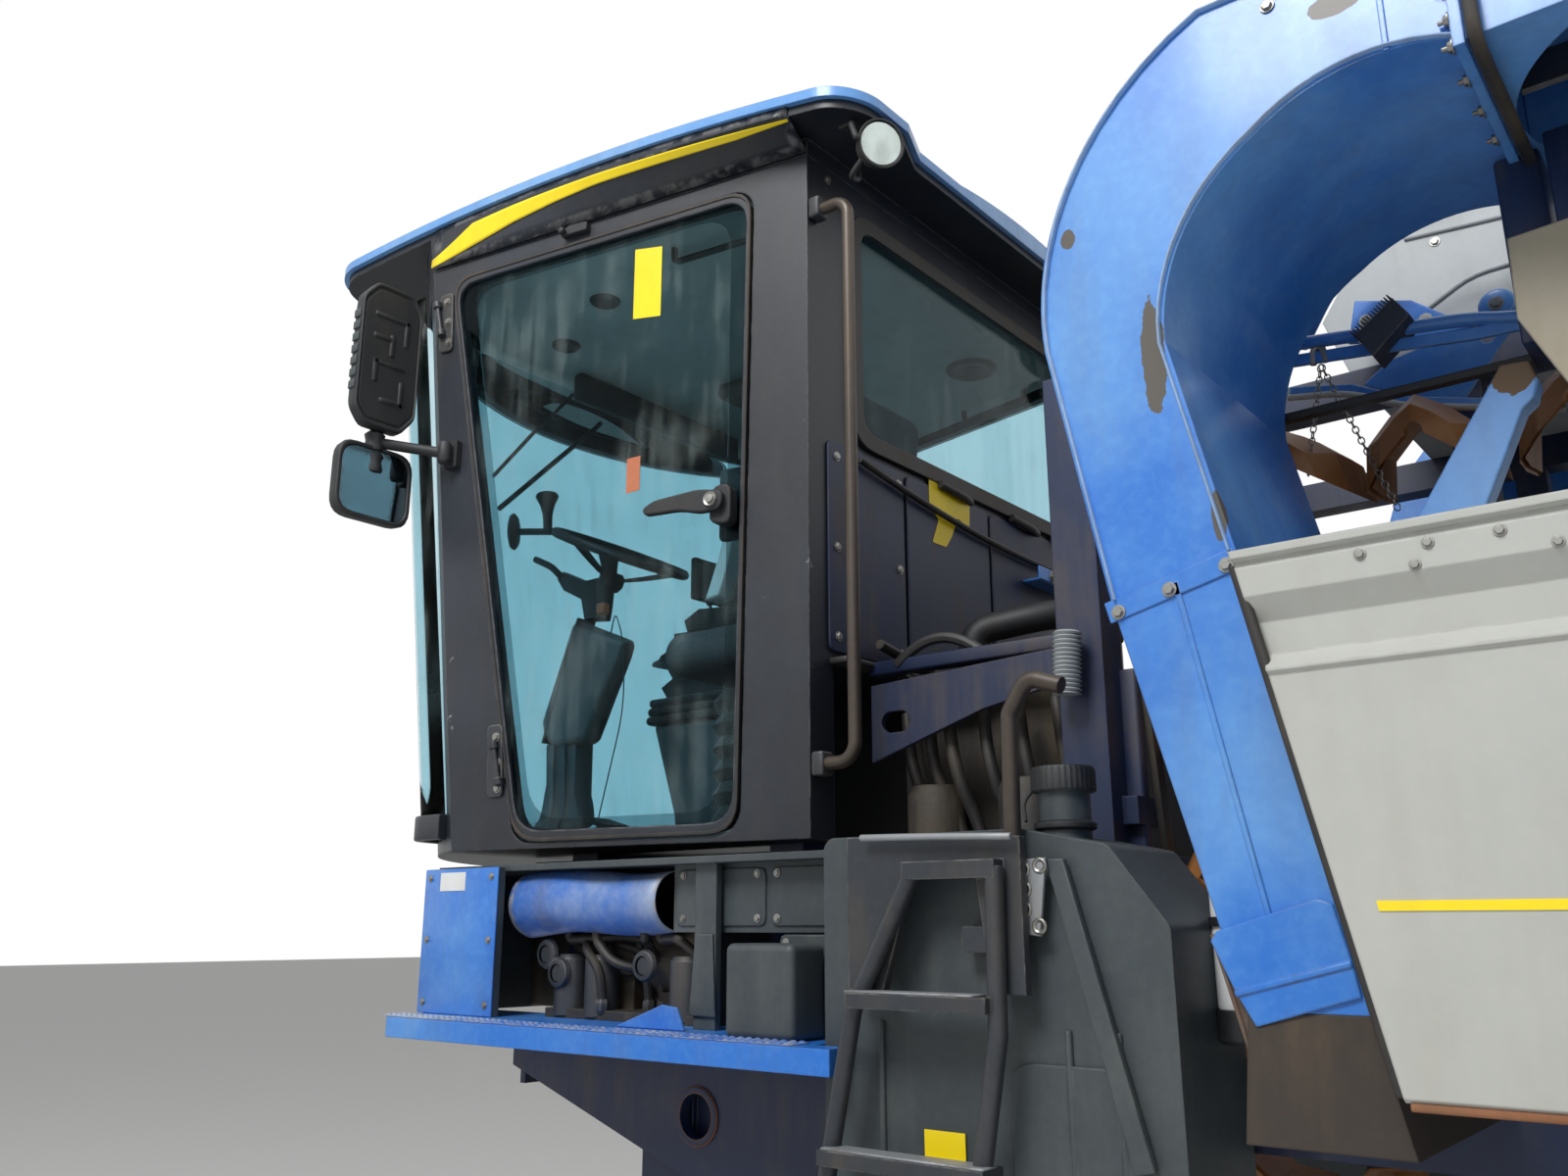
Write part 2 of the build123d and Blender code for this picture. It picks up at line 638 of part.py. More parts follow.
def main_arches():
    """Arch behind the cab and arch at the rear, joined by the two top beams."""
    middle = arch(MID_ARCH_X, TOP_BEAM_Z)
    rear = arch(REAR_ARCH_X, TOP_BEAM_Z)
    beam = block((REAR_ARCH_X[1], MID_ARCH_X[0]), TOP_BEAM_Y, TOP_BEAM_Z)
    hangers = [block(x, TOP_BEAM_Y, (HEAD_Z[1], TOP_BEAM_Z[0])) for x in head_bar_x(HANGER_INSET)]
    z = LOOP_GUIDE_Z[1]
    guide_y, guide_z = (loop_outer_y(z) - LOOP_GUIDE_BITE, POST_Y[0] + HANGER_INSET), guide_heights(z)
    rear_x, front_x = loop_guide_x(0)
    guides = [block((REAR_ARCH_X[1] - EYE_BOSS, rear_x[1]), guide_y, guide_z),
              block((front_x[0], MID_ARCH_X[0] + EYE_BOSS), guide_y, guide_z)]
    left = fused(beam, *hangers, *fan_bracket(), *guides)
    low, high = [RAIL_Z[1] + rise for rise in CRADLE_RISE]
    near, far = CRADLE_Y
    cradle = [block((MID_ARCH_X[1], CAB_ARCH_X[0][0]), y, (low, high)) for y in ((near, far), (-far, -near))]
    tie = block(MID_ARCH_X, (-POST_Y[0], POST_Y[0]), (low, high))
    width, height = TIE_HOLE_SIZE
    hole = extrude(Plane.XZ * Pos(*TIE_HOLE) * SlotOverall(width, height), amount=-CAB_REAR_HALF)
    left = fused(left, side_plate(TIE_PLATE, TIE_PLATE_Y) - hole)
    return fused(middle, rear, left, other_side(left), tie, *cradle)


def fan_bracket():
    """Gusset on a top beam and the shelf under the fan's drum."""
    wide, narrow = FAN_BRACKET_HALF
    seat = FAN_Z[0] - SEAT_GAP
    gusset = side_plate([(FAN_X - wide, TOP_BEAM_Z[0]), (FAN_X + wide, TOP_BEAM_Z[0]), (FAN_X + narrow, seat),
                         (FAN_X - narrow, seat)], (TOP_BEAM_Y[1], TOP_BEAM_Y[1] + FAN_BRACKET_SHEET))
    shelf = block((FAN_X - narrow, FAN_X + narrow), (TOP_BEAM_Y[1], DUCT_Y[0] + TOP_BEAM_DEPTH),
                  (seat - FAN_BRACKET_SHEET, seat))
    return [gusset, shelf]


def head_bar_x(inset):
    """X limits of the two bars that stand inset from the picking head's ends."""
    low, high = HEAD_X[0] + inset, HEAD_X[1] - inset
    return ((low, low + HEAD_BAR), (high - HEAD_BAR, high))


# Cab


def lerp(low, high, share):
    """Value between two others, by share."""
    return low + (high - low) * share


def cab_face(z, inset=0, side=None, nose=None):
    """Plan outline of the cab at a height: rear wall, flared sides and curved front."""
    share = (z - CAB_FLOOR_Z) / (CAB_HEADER_Z - CAB_FLOOR_Z)
    side = lerp(CAB_SIDE_BOTTOM, CAB_SIDE_TOP, share) if side is None else side
    nose = lerp(CAB_NOSE_BOTTOM_X, CAB_NOSE_TOP_X, share) if nose is None else nose
    flare_cos, flare_sin = cos(radians(CAB_FLARE)), sin(radians(CAB_FLARE))
    start = inset * (1 - flare_sin) / flare_cos
    rear = (CAB_REAR_X + inset, CAB_REAR_HALF + start * flare_sin - inset * flare_cos)
    reach = side - inset
    front_x = CAB_REAR_X + reach * flare_cos + inset * flare_sin
    front = (front_x, CAB_REAR_HALF + reach * flare_sin - inset * flare_cos)
    edges = [
        Line((rear[0], -rear[1]), rear),
        Line(rear, front),
        ThreePointArc(front, (nose - inset, 0), (front[0], -front[1])),
        Line((front[0], -front[1]), (rear[0], -rear[1])),
    ]
    return Pos(0, 0, z) * make_face(edges)


def cab_solid(inset, z):
    """Closed form of the cab between two heights."""
    return loft([cab_face(z[0], inset), cab_face(z[1], inset)], ruled=True)


SIDE_COS, SIDE_SIN = cos(radians(CAB_FLARE)), sin(radians(CAB_FLARE))
CAB_CORNER = (CAB_REAR_X, CAB_REAR_HALF, 0)
CAB_SIDE = Plane(origin=CAB_CORNER, x_dir=(SIDE_COS, SIDE_SIN, 0), z_dir=(SIDE_SIN, -SIDE_COS, 0))


def side_sheet(points, radius, depth):
    """Panel on the cab's left side plane, between two depths inward from it."""
    outline = make_face(Polyline(*points, close=True))
    if radius:
        outline = fillet(outline.vertices(), radius)
    return extrude(CAB_SIDE.offset(depth[0]) * outline, amount=depth[1] - depth[0])


def door_face(gap, radius):
    """Face of the door's outline drawn in by a gap, corners rounded."""
    outline = make_face(Polyline(*DOOR_OUTLINE, close=True))
    outline = offset(outline, amount=-gap, kind=Kind.INTERSECTION)
    return fillet(outline.vertices(), radius)


def door_sheet(gap, radius, depth):
    """Sheet of the door's outline between two depths inward from the cab side."""
    return extrude(CAB_SIDE.offset(depth[0]) * door_face(gap, radius), amount=depth[1] - depth[0])


def cab_frame():
    """Cab body: pillars, sills, header, floor and stepped rear wall, open for doors and windows."""
    z = (CAB_FLOOR_Z, CAB_HEADER_Z)
    shell = cab_solid(0, z) - cab_solid(CAB_WALL, (CAB_FLOOR_Z + CAB_FLOOR_THICK, CAB_HEADER_Z))
    screen = side_plate(WINDSCREEN_CUT, (-CAB_WIDE, CAB_WIDE))
    door_hole = door_sheet(-DOOR_GAP, DOOR_RADIUS, (-CAB_WALL, 2 * CAB_WALL))
    window_x = (CAB_REAR_X - CAB_WALL, CAB_REAR_X + 2 * CAB_WALL)
    rear_hole = block(window_x, (-REAR_WINDOW_HALF, REAR_WINDOW_HALF), REAR_WINDOW_Z)
    shell = shell - screen - door_hole - other_side(door_hole) - rear_hole
    half = CAB_REAR_HALF - RECESS_SIDE
    deep, wide = RECESS_WALL
    back = CAB_REAR_X + RECESS_DEPTH
    recess = block((CAB_REAR_X - wide, back), (-half, half), (CAB_FLOOR_Z - wide, RECESS_TOP_Z))
    step = block((CAB_REAR_X, back + deep), (-half - wide, half + wide), (CAB_FLOOR_Z, RECESS_TOP_Z + deep))
    body = shell + (step & cab_solid(2, z)) - recess
    for place in (HINGE_LOW, HINGE_HIGH):
        body = fused(body, *hinge_ears(place))
    return body


def roof_plan(inset):
    """Closed form of the roof's plan outline, drawn in from its rim."""
    rear_x, rear_half = ROOF_REAR
    depth, start, end = ROOF_LOBE
    x, y = ROOF_SHOULDER
    left = [(rear_x, start), (rear_x - depth, end), (rear_x - depth, rear_half), (x, y)]
    right = [(px, -py) for px, py in reversed(left)]
    face = make_face([Polyline(*right, *left), ThreePointArc((x, y), (ROOF_NOSE_X, 0), (x, -y))])
    corners = [corner for corner in face.vertices() if corner.X < rear_x - 1 and abs(corner.Y) > rear_half - 1]
    face = fillet(corners + [corner for corner in face.vertices() if corner.X > x - 1], ROOF_CORNER)
    if inset:
        face = offset(face, amount=-inset)
    return extrude(Pos(0, 0, ROOF_LOW_Z) * face, amount=2 * (ROOF_TOP[1] - ROOF_LOW_Z))


def roof_layer(low, high):
    """Layer between two heights above the rim's arched lower edge."""
    lower = [(x, z + low) for x, z in ROOF_ARC]
    upper = [(x, z + high) for x, z in ROOF_ARC]
    edges = [
        ThreePointArc(*lower),
        Line(lower[2], upper[2]),
        ThreePointArc(*reversed(upper)),
        Line(upper[0], lower[0]),
    ]
    return extrude(Plane.XZ * make_face(edges), amount=2 * ROOF_SHOULDER[1], both=True)


def cab_roof():
    """Arched roof panel with a thin rim and a crowned cap."""
    plan = roof_plan(0)
    x, z = ROOF_TOP
    cap = Pos(x, 0, z - ROOF_CAP_RADIUS) * Sphere(ROOF_CAP_RADIUS)
    crown = roof_layer(ROOF_RIM / 2, z - ROOF_ARC[0][1])
    return fused(plan & roof_layer(0, ROOF_RIM), plan & crown & cap)


def cab_fascia():
    """Band between the cab's header and the roof, with the tray under the roof panel."""
    top = CAB_HEADER_Z + ROOF_TOP[1] - ROOF_ARC[1][1]
    reach = FASCIA_REACH
    flared = cab_face(top, -reach, CAB_SIDE_TOP + 2 * reach, CAB_NOSE_TOP_X + reach)
    outer = loft([cab_face(CAB_HEADER_Z, 0), flared], ruled=True)
    straight = cab_face(top, FASCIA_WALL, CAB_SIDE_TOP, CAB_NOSE_TOP_X)
    core = loft([cab_face(CAB_HEADER_Z, FASCIA_WALL), straight], ruled=True)
    band = (outer - core) & roof_layer(ROOF_LOW_Z - ROOF_TOP[1], SEAT_GAP - TRAY_THICK)
    tray = roof_plan(TRAY_INSET) & roof_layer(-TRAY_THICK, -SEAT_GAP)
    return fused(tray, band)


def cab_glazing():
    """Windscreen, right-hand window and rear window."""
    z = (CAB_FLOOR_Z, CAB_HEADER_Z)
    depth = (GLASS_INSET, GLASS_INSET + GLASS_THICK)
    skin = cab_solid(depth[0], z) - cab_solid(depth[1], z)
    cut = offset(make_face(Polyline(*WINDSCREEN_CUT, close=True)), amount=-SEAT_GAP, kind=Kind.INTERSECTION)
    windscreen = skin & extrude(Plane.XZ * cut, amount=CAB_WIDE, both=True)
    right = other_side(door_sheet(-DOOR_GAP + SEAT_GAP, DOOR_RADIUS, depth))
    half = REAR_WINDOW_HALF - SEAT_GAP
    low, high = REAR_WINDOW_Z
    rear_x = (CAB_REAR_X + depth[0], CAB_REAR_X + depth[1])
    rear = block(rear_x, (-half, half), (low + SEAT_GAP, high - SEAT_GAP))
    return [windscreen, right, rear]


def hinge_point(s, z, out=HINGE_OUT):
    """Point beside the door's hinge line, outward of the cab side."""
    local = CAB_SIDE.from_local_coords(Vector(s, z, -out))
    return (local.X, local.Y, local.Z)


def hinge_heading():
    """Direction of the hinge line in the plane of the cab side."""
    rise, run = HINGE_HIGH[1] - HINGE_LOW[1], HINGE_HIGH[0] - HINGE_LOW[0]
    length = hypot(rise, run)
    return run / length, rise / length


def hinge_round(place, span, radius):
    """Round form on the hinge line between two distances from a hinge's middle."""
    along_s, along_z = hinge_heading()
    ends = [hinge_point(place[0] + along_s * d, place[1] + along_z * d) for d in span]
    return shaft(ends[0], ends[1], radius)


def hinge_strip(place, span, across, depth):
    """Flat strip square to the hinge line, from one side of it to the other."""
    along_s, along_z = hinge_heading()
    corners = [(span[0], across[0]), (span[0], across[1]), (span[1], across[1]), (span[1], across[0])]
    points = [(place[0] + along_s * d - along_z * a, place[1] + along_z * d + along_s * a) for d, a in corners]
    return side_sheet(points, 0, depth)


def hinge_ears(place):
    """The cab's half of a hinge: two ears with the pin between them."""
    half = HINGE_BARREL / 2 + HINGE_PLAY
    shapes = [hinge_round(place, (-half - HINGE_EAR, half + HINGE_EAR), HINGE_PIN_RADIUS)]
    for span in ((-half - HINGE_EAR, -half), (half, half + HINGE_EAR)):
        shapes.append(hinge_round(place, span, HINGE_RADIUS))
        shapes.append(hinge_strip(place, span, (-HINGE_RADIUS, HINGE_RADIUS), (-HINGE_OUT, GLASS_INSET)))
    return shapes


def hinge_strap(place, reach):
    """The door's half of a hinge: barrel with a strap onto the border."""
    half = HINGE_BARREL / 2
    barrel = hinge_round(place, (-half, half), HINGE_RADIUS)
    strap = hinge_strip(place, (-half, half), (0, reach), (-HINGE_OUT - STRAP_THICK, DOOR_DEPTH[0] + 1))
    bore = hinge_round(place, (-2 * half, 2 * half), HINGE_PIN_RADIUS + RUNNING_GAP)
    return barrel + strap - bore


def door_frame():
    """Black border round the door's pane, with hinge straps and the handle."""
    pane = door_sheet(DOOR_BORDER, PANE_RADIUS, (-DOOR_THICK, 2 * DOOR_THICK))
    ring = door_sheet(0, DOOR_RADIUS, DOOR_DEPTH) - pane
    handle = side_sheet(HANDLE_GRIP, 0, HANDLE_OUT)
    stem = side_sheet(HANDLE_PLATE, 0, (HANDLE_OUT[1], DOOR_DEPTH[0] + 1))
    straps = [hinge_strap(place, reach) for place, reach in zip((HINGE_LOW, HINGE_HIGH), STRAP_REACH)]
    return fused(ring, stem, handle, *straps)


def door_glass():
    """Tinted pane of the door."""
    return door_sheet(DOOR_BORDER, PANE_RADIUS, (0, GLASS_THICK))


def seat():
    """Driver's seat: cushion and backrest as simple closed forms on a pedestal."""
    cushion = block(SEAT_X, SEAT_Y, (SEAT_Z, SEAT_Z + SEAT_THICK))
    low = SEAT_Z + SEAT_THICK + SEAT_GAP
    foot, head, high = SEAT_BACK
    side = SEAT_ROLL / 4
    back = side_plate([(foot[0], low), (foot[1], low), (head[1], high), (head[0], high)],
                      (SEAT_Y[0] + side, SEAT_Y[1] - side))
    return [fillet(cushion.edges(), SEAT_ROLL), fillet(back.edges(), SEAT_ROLL)]


def cab_controls():
    """Seat pedestal, armrest console, steering column and wheel."""
    floor = CAB_FLOOR_Z + CAB_FLOOR_THICK
    foot_x, foot_y, foot_height = PEDESTAL_FOOT
    foot = block(foot_x, foot_y, (floor, floor + foot_height))
    post = block(*PEDESTAL_POST, (floor + foot_height, SEAT_Z - SEAT_GAP))
    console = side_plate(CONSOLE_PROFILE, CONSOLE_Y)
    (low_x, low_z), (high_x, high_z) = CONSOLE_POST
    stand = side_plate([(low_x, floor), (high_x, floor), (high_x, high_z), (low_x, low_z)], CONSOLE_POST_Y)
    column = side_plate([(COLUMN_FOOT_X[0], floor), (COLUMN_FOOT_X[1], floor), *COLUMN_PROFILE], COLUMN_Y)
    return [fused(foot, post), fused(console, stand), fused(column, *steering_wheel())]


def steering_wheel():
    """Stem, boss, spokes and rim square to the leaning column."""
    hub = Plane(origin=WHEEL_HUB, z_dir=WHEEL_LEAN)
    boss_radius, boss_height = WHEEL_BOSS
    spoke_width, spoke_height = WHEEL_SPOKE
    stem = extrude(hub * Circle(WHEEL_STEM_RADIUS), amount=WHEEL_RISE)
    boss = extrude(hub.offset(WHEEL_RISE - boss_height / 2) * Circle(boss_radius), amount=boss_height)
    low = hub.offset(WHEEL_RISE - spoke_height / 2)
    bar = Pos(WHEEL_RADIUS / 2) * Rectangle(WHEEL_RADIUS, spoke_width)
    spokes = [extrude(low * Rot(0, 0, turn) * bar, amount=spoke_height) for turn in WHEEL_SPOKE_TURNS]
    return [stem, boss, *spokes, hub.offset(WHEEL_RISE) * Torus(WHEEL_RADIUS, WHEEL_RIM_RADIUS)]


# Outside of the cab


def mirrors():
    """Large and small mirror on the front pillar's arm, and the same on the right."""
    foot_s, foot_z = MIRROR_FOOT
    length, height, depth = MIRROR_FOOT_SIZE
    along, up = length / 2, height / 2
    corners = [(foot_s - along, foot_z - up), (foot_s + along, foot_z - up), (foot_s + along, foot_z + up),
               (foot_s - along, foot_z + up)]
    foot = side_sheet(corners, 0, (-depth, -SEAT_GAP))
    x, y = MIRROR_STEM
    wide, across, overlap = MIRROR_POST
    arm = shaft(hinge_point(foot_s, foot_z, depth / 2), (x, y, foot_z + depth / 2), MIRROR_TUBE_RADIUS)
    post = block((x - wide / 2, x + wide / 2), (y - across / 2, y + across / 2),
                 (MIRRORS[1].low + overlap, MIRRORS[0].low + overlap))
    shapes = [foot, arm, post]
    for glass in MIRRORS:
        place = Plane.YZ.offset(glass.x) * Pos(y, glass.low + glass.height / 2)
        face = place * RectangleRounded(glass.width, glass.height, MIRROR_CORNER)
        shapes.append(extrude(face, amount=glass.depth))
    return pair(fused(*shapes))


def lamps():
    """Round work lamp under each rear corner of the roof, hung from the tray."""
    x, y, z = LAMP_PLACE
    body = shaft((x, y, z), (x + LAMP_DEPTH, y, z), LAMP_RADIUS)
    half = LAMP_FOOT / 2
    post = block((x + LAMP_DEPTH - LAMP_FOOT, x + LAMP_DEPTH), (y - half, y + half), (z, z + 2 * LAMP_RADIUS))
    hanger = post & roof_layer(ROOF_LOW_Z - ROOF_TOP[1], -TRAY_THICK - SEAT_GAP)
    return pair(body + hanger)


def handrails():
    """Rail on the cab's rear corner and rail at the ladder's head."""
    wall = CAB_REAR_X - SEAT_GAP
    side, out, low, high = CAB_RAIL
    cab = tube([(wall, side, high), (out, side, high), (out, side, low), (wall, side, low)], HANDRAIL_RADIUS,
               CAB_RAIL_BEND)
    y = LADDER_Y - PLATE_DEPTH[0] - HANDRAIL_RADIUS - SEAT_GAP
    step = tube([(x, y, z) for x, z in STEP_RAIL], HANDRAIL_RADIUS, STEP_RAIL_BEND)
    return pair(cab) + [step]


def platforms():
    """Walkways beside the cab, with a tail strip beside the tank."""
    deck = block(PLATFORM_X, PLATFORM_Y, PLATFORM_Z)
    strip = block((PLATFORM_TAIL_X, PLATFORM_X[0]), (TANK_Y[1] + PLATFORM_STRIP_GAP, PLATFORM_Y[1]), PLATFORM_Z)
    bracket = block(PLATFORM_BRACKET_X, BEAM_Y, (BEAM_TOP_Z, PLATFORM_Z[0]))
    front_edges = deck.edges().filter_by(Axis.Z).sort_by(Axis.X)[-2:]
    deck = chamfer(front_edges.sort_by(Axis.Y)[-1], PLATFORM_CORNER)
    return pair(fused(deck, strip, bracket))


def ladder():
    """Bent side tubes, rungs and the head plate with its cut-out."""
    y = LADDER_Y
    routes = [[(x, y, z) for x, z in route] for route in (LADDER_FRONT, LADDER_REAR)]
    sides = [tube(route, LADDER_TUBE_RADIUS, LADDER_BEND) for route in routes]
    deep, high = RUNG_HALF
    rungs = []
    for step in range(RUNG_COUNT):
        z = RUNG_TOP_Z - step * RUNG_PITCH
        rungs.append(block(RUNG_X if step else TOP_RUNG_X, (y - deep, y + deep), (z - high, z + high)))
    plate = side_plate([*LADDER_PLATE, *LADDER_CUT], (y - PLATE_DEPTH[0], y - PLATE_DEPTH[1]))
    bar_x, bar_z = LADDER_HEAD
    bar = block(bar_x, (y - LADDER_TUBE_RADIUS, y + LADDER_TUBE_RADIUS), bar_z)
    stay_x, stay_z = LADDER_STAY
    stay = block(stay_x, (TANK_Y[1] - 2, y - PLATE_DEPTH[0]), stay_z)
    return fused(*sides, *rungs, bar, plate, stay)


def fuel_tank():
    """Moulded tank with a raised shoulder and a filler neck."""
    x, y, z = TANK_X, TANK_Y, TANK_Z
    rear = [(x[0] + along, z[end] + rise) for along, rise, end in TANK_PROFILE]
    form = side_plate([*rear, (x[1], z[1]), (x[1], z[0])], (y[0], y[1] - 2))
    form = fillet(form.edges().filter_by(Axis.Y), TANK_EDGE)
    nx, ny = TANK_NECK
    neck_z = z[1] + NECK_HEIGHT
    neck = shaft((nx, ny, z[1] - NECK_HEIGHT), (nx, ny, neck_z), NECK_RADIUS)
    cap = shaft((nx, ny, neck_z), (nx, ny, neck_z + TANK_CAP_HEIGHT), TANK_CAP_RADIUS)
    strap_x, strap_z = TANK_STRAP
    strap = block(strap_x, (RAIL_Y[1], y[0] + 4), strap_z)
    return pair(fused(form, neck, cap, strap))


def lower_panels():
    """Corner panel, sill panels, bridge and strut between the platform and the cab floor."""
    top = PLATFORM_Z[1]
    inner, face, outer = CORNER_Y
    corner = block(CORNER_X, (face, outer), (top, CORNER_TOP_Z))
    front = block((CORNER_X[1] - CORNER_SHEET, CORNER_X[1]), (inner, outer), (top, CORNER_TOP_Z))
    sill = block(SILL_X, SILL_Y, (SILL_Z, BRIDGE_Z[0]))
    lower = block(SILL_POST_X, SILL_Y, (top, SILL_Z))
    bridge = block(BRIDGE_X, BRIDGE_Y, BRIDGE_Z)
    strut = block(*SILL_STRUT, (top, BRIDGE_Z[0]))
    return pair(fused(corner, front, sill, lower, bridge, strut))


def control_box():
    """Rounded grey box that stands on the platform."""
    x, y, top = CONTROL_BOX
    return fillet(block(x, y, (PLATFORM_Z[1], top)).edges(), CONTROL_BOX_EDGE)


def curled_cover():
    """Curled flap that hangs below the door sill; its points are Y and rise from its top."""
    points = [(y, COVER_TOP_Z + rise) for y, rise in (*COVER_OUTSIDE, *COVER_INSIDE)]
    face = Plane.YZ.offset(COVER_X[0]) * make_face(Polyline(*points, close=True))
    return extrude(face, amount=COVER_X[1] - COVER_X[0])


def hydraulic_bay():
    """Pumps and valve blocks under the cab floor, open to the side."""
    top = PLATFORM_Z[1]
    base_x, base_y, base_height = BAY_BASE
    floor = top + base_height
    base = block(base_x, base_y, (top, floor))
    valves_x, valves_y, valves_height = BAY_VALVES
    valves = block(valves_x, valves_y, (floor, top + valves_height))
    pump_x, pump_y, pump_rise, pump_radius = BAY_PUMP
    pump = shaft((pump_x[0], pump_y, top + pump_rise), (pump_x[1], pump_y, top + pump_rise), pump_radius)
    foot_x, foot_y, foot_height = BAY_FOOT
    foot = block(foot_x, foot_y, (floor, top + foot_height))
    return pair(fused(base, valves, pump, foot))


def engine_block():
    """Plain engine block across the frame behind the cab."""
    low, high = ENGINE_RISE
    return block(ENGINE_X, (-ENGINE_HALF, ENGINE_HALF), (RAIL_Z[1] + low, RAIL_Z[1] + high))


def exhaust():
    """Exhaust stack on the right of the engine."""
    x, y = EXHAUST_PLACE
    z = RAIL_Z[1] + ENGINE_RISE[1] - 2 * EXHAUST_RADIUS
    pipe = shaft((x, y, z - EXHAUST_RADIUS), (x, y, EXHAUST_TOP_Z), EXHAUST_RADIUS)
    bend = shaft((x, -ENGINE_HALF - SEAT_GAP, z), (x, y, z), EXHAUST_RADIUS - EXHAUST_WALL)
    return fused(pipe, bend)


def top_hood():
    """Moulded hood over the middle."""
    low = TOP_BEAM_Z[1]
    body = side_plate([(x, low + rise) for x, rise in HOOD_PROFILE], (-HOOD_HALF, HOOD_HALF))
    return chamfer(body.edges().filter_by(Axis.X).sort_by(Axis.Z)[-2:], HOOD_EDGE)


def cooler():
    """Cooler housing behind the hood, with a slatted rear grille."""
    low = TOP_BEAM_Z[1]
    body = block(COOLER_X, (-COOLER_HALF, COOLER_HALF), (low, low + COOLER_HEIGHT))
    half = COOLER_HALF - COOLER_FRAME
    mouth_x = (COOLER_X[0], COOLER_X[0] + COOLER_DEPTH)
    opening = block(mouth_x, (-half, half), (low + COOLER_FRAME, low + COOLER_HEIGHT - COOLER_FRAME))
    slats = []
    for number in range(COOLER_SLATS):
        z = low + COOLER_FRAME + SLAT_PITCH * (number + 1)
        slats.append(block(mouth_x, (-half, half), (z, z + SLAT_HEIGHT)))
    return fused(body - opening, *slats)


# Arch duct and fan


def duct_face(inset):
    """Outline of the straight duct and the arch in X and Z; inset moves both long edges inward."""
    i = inset
    rear_foot, front_foot = (DUCT_FOOT_X[0] + i, DUCT_FOOT_Z), (DUCT_FOOT_X[1] - i, DUCT_FOOT_Z)
    (rear_x, rear_z), (front_x, front_z) = LEG_TOP
    rear_top, front_top = (rear_x + i, rear_z), (front_x - i, front_z)
    inner = arch_points(ARCH_INNER, FAN_Z[0], ((i, 0), (0.8 * i, 0.6 * i), (0.5 * i, 0.85 * i), (0, i), (0, i)))
    outer = arch_points(ARCH_OUTER, FAN_Z[1], ((0, -i), (0, -i), (-0.75 * i, -0.6 * i), (-i, 0)))
    edges = [
        Line(rear_foot, rear_top),
        Line(rear_top, inner[0]),
        ThreePointArc(inner[0], inner[1], inner[2]),
        ThreePointArc(inner[2], inner[3], inner[4]),
        Line(inner[4], outer[0]),
        Line(outer[0], outer[1]),
        ThreePointArc(outer[1], outer[2], outer[3]),
        Line(outer[3], front_top),
        Line(front_top, front_foot),
        Line(front_foot, rear_foot),
    ]
    return make_face(edges)


def arch_points(table, level, shifts):
    """Points of the arch from a table of X and rise over a level, each moved by its shift."""
    return [(x + dx, level + rise + dz) for (x, rise), (dx, dz) in zip(table, shifts)]


def arch_duct():
    """Hollow duct of the left side: straight leg, arch and flange."""
    wall = DUCT_WALL
    plane = Plane.XZ.offset(-DUCT_Y[1])
    depth = DUCT_Y[1] - DUCT_Y[0]
    inside_y = (DUCT_Y[0] + wall, DUCT_Y[1] - wall)
    outer = extrude(plane * duct_face(0), amount=depth)
    inner = extrude(plane.offset(wall) * duct_face(wall), amount=depth - 2 * wall)
    foot_x = (DUCT_FOOT_X[0] + wall, DUCT_FOOT_X[1] - wall)
    foot_slot = block(foot_x, inside_y, (DUCT_FOOT_Z - wall, DUCT_FOOT_Z + 2 * wall))
    end = block((ARCH_END_X - wall, ARCH_END_X + 2 * wall), inside_y, (FAN_Z[0] + wall, FAN_Z[1] - wall))
    lip = ARCH_FLANGE
    rim_y, rim_z = (DUCT_Y[0] - lip, DUCT_Y[1] + lip), (FAN_Z[0] - lip, FAN_Z[1] + lip)
    flange = block((ARCH_END_X, ARCH_END_X + lip), rim_y, rim_z)
    body = (outer + flange) - inner - end - foot_slot
    stand_x, (stand_y, stand_z) = DUCT_STAND
    return fused(body, block(stand_x, (stand_y, DUCT_Y[0]), (RAIL_Z[1], stand_z)))


def spout():
    """Flared dark spout below the duct, open top and bottom."""
    return spout_form(0) - spout_form(SPOUT_WALL)


def spout_form(inset):
    """Closed form of the spout, drawn in all round."""
    sections = []
    for (x, y, length, width), z in ((SPOUT_TOP, DUCT_FOOT_Z - SEAT_GAP), (SPOUT_MOUTH, SPOUT_Z)):
        sections.append(Pos(x, y, z) * Rectangle(length - 2 * inset, width - 2 * inset))
    return loft(sections, ruled=True)


def fan_housing():
    """Fan drum with its short throat to the arch, open beneath."""
    middle = (DUCT_Y[0] + DUCT_Y[1]) / 2
    sheet = FAN_SHEET
    place = Pos(FAN_X, middle, (FAN_Z[0] + FAN_Z[1]) / 2)
    drum = place * Cylinder(FAN_RADIUS, FAN_HEIGHT)
    throat = block((FAN_X, ARCH_END_X), DUCT_Y, FAN_Z)
    drum_hole = place * Pos(0, 0, -sheet) * Cylinder(FAN_RADIUS - sheet, FAN_HEIGHT)
    hole_y, hole_z = (DUCT_Y[0] + sheet, DUCT_Y[1] - sheet), (FAN_Z[0] + sheet, FAN_Z[1] - sheet)
    throat_hole = block((FAN_X, ARCH_END_X + 1), hole_y, hole_z)
    bore = Pos(FAN_X, middle, FAN_Z[1]) * Cylinder(FAN_BORE_RADIUS + RUNNING_GAP, 4 * sheet)
    return drum + throat - drum_hole - throat_hole - bore


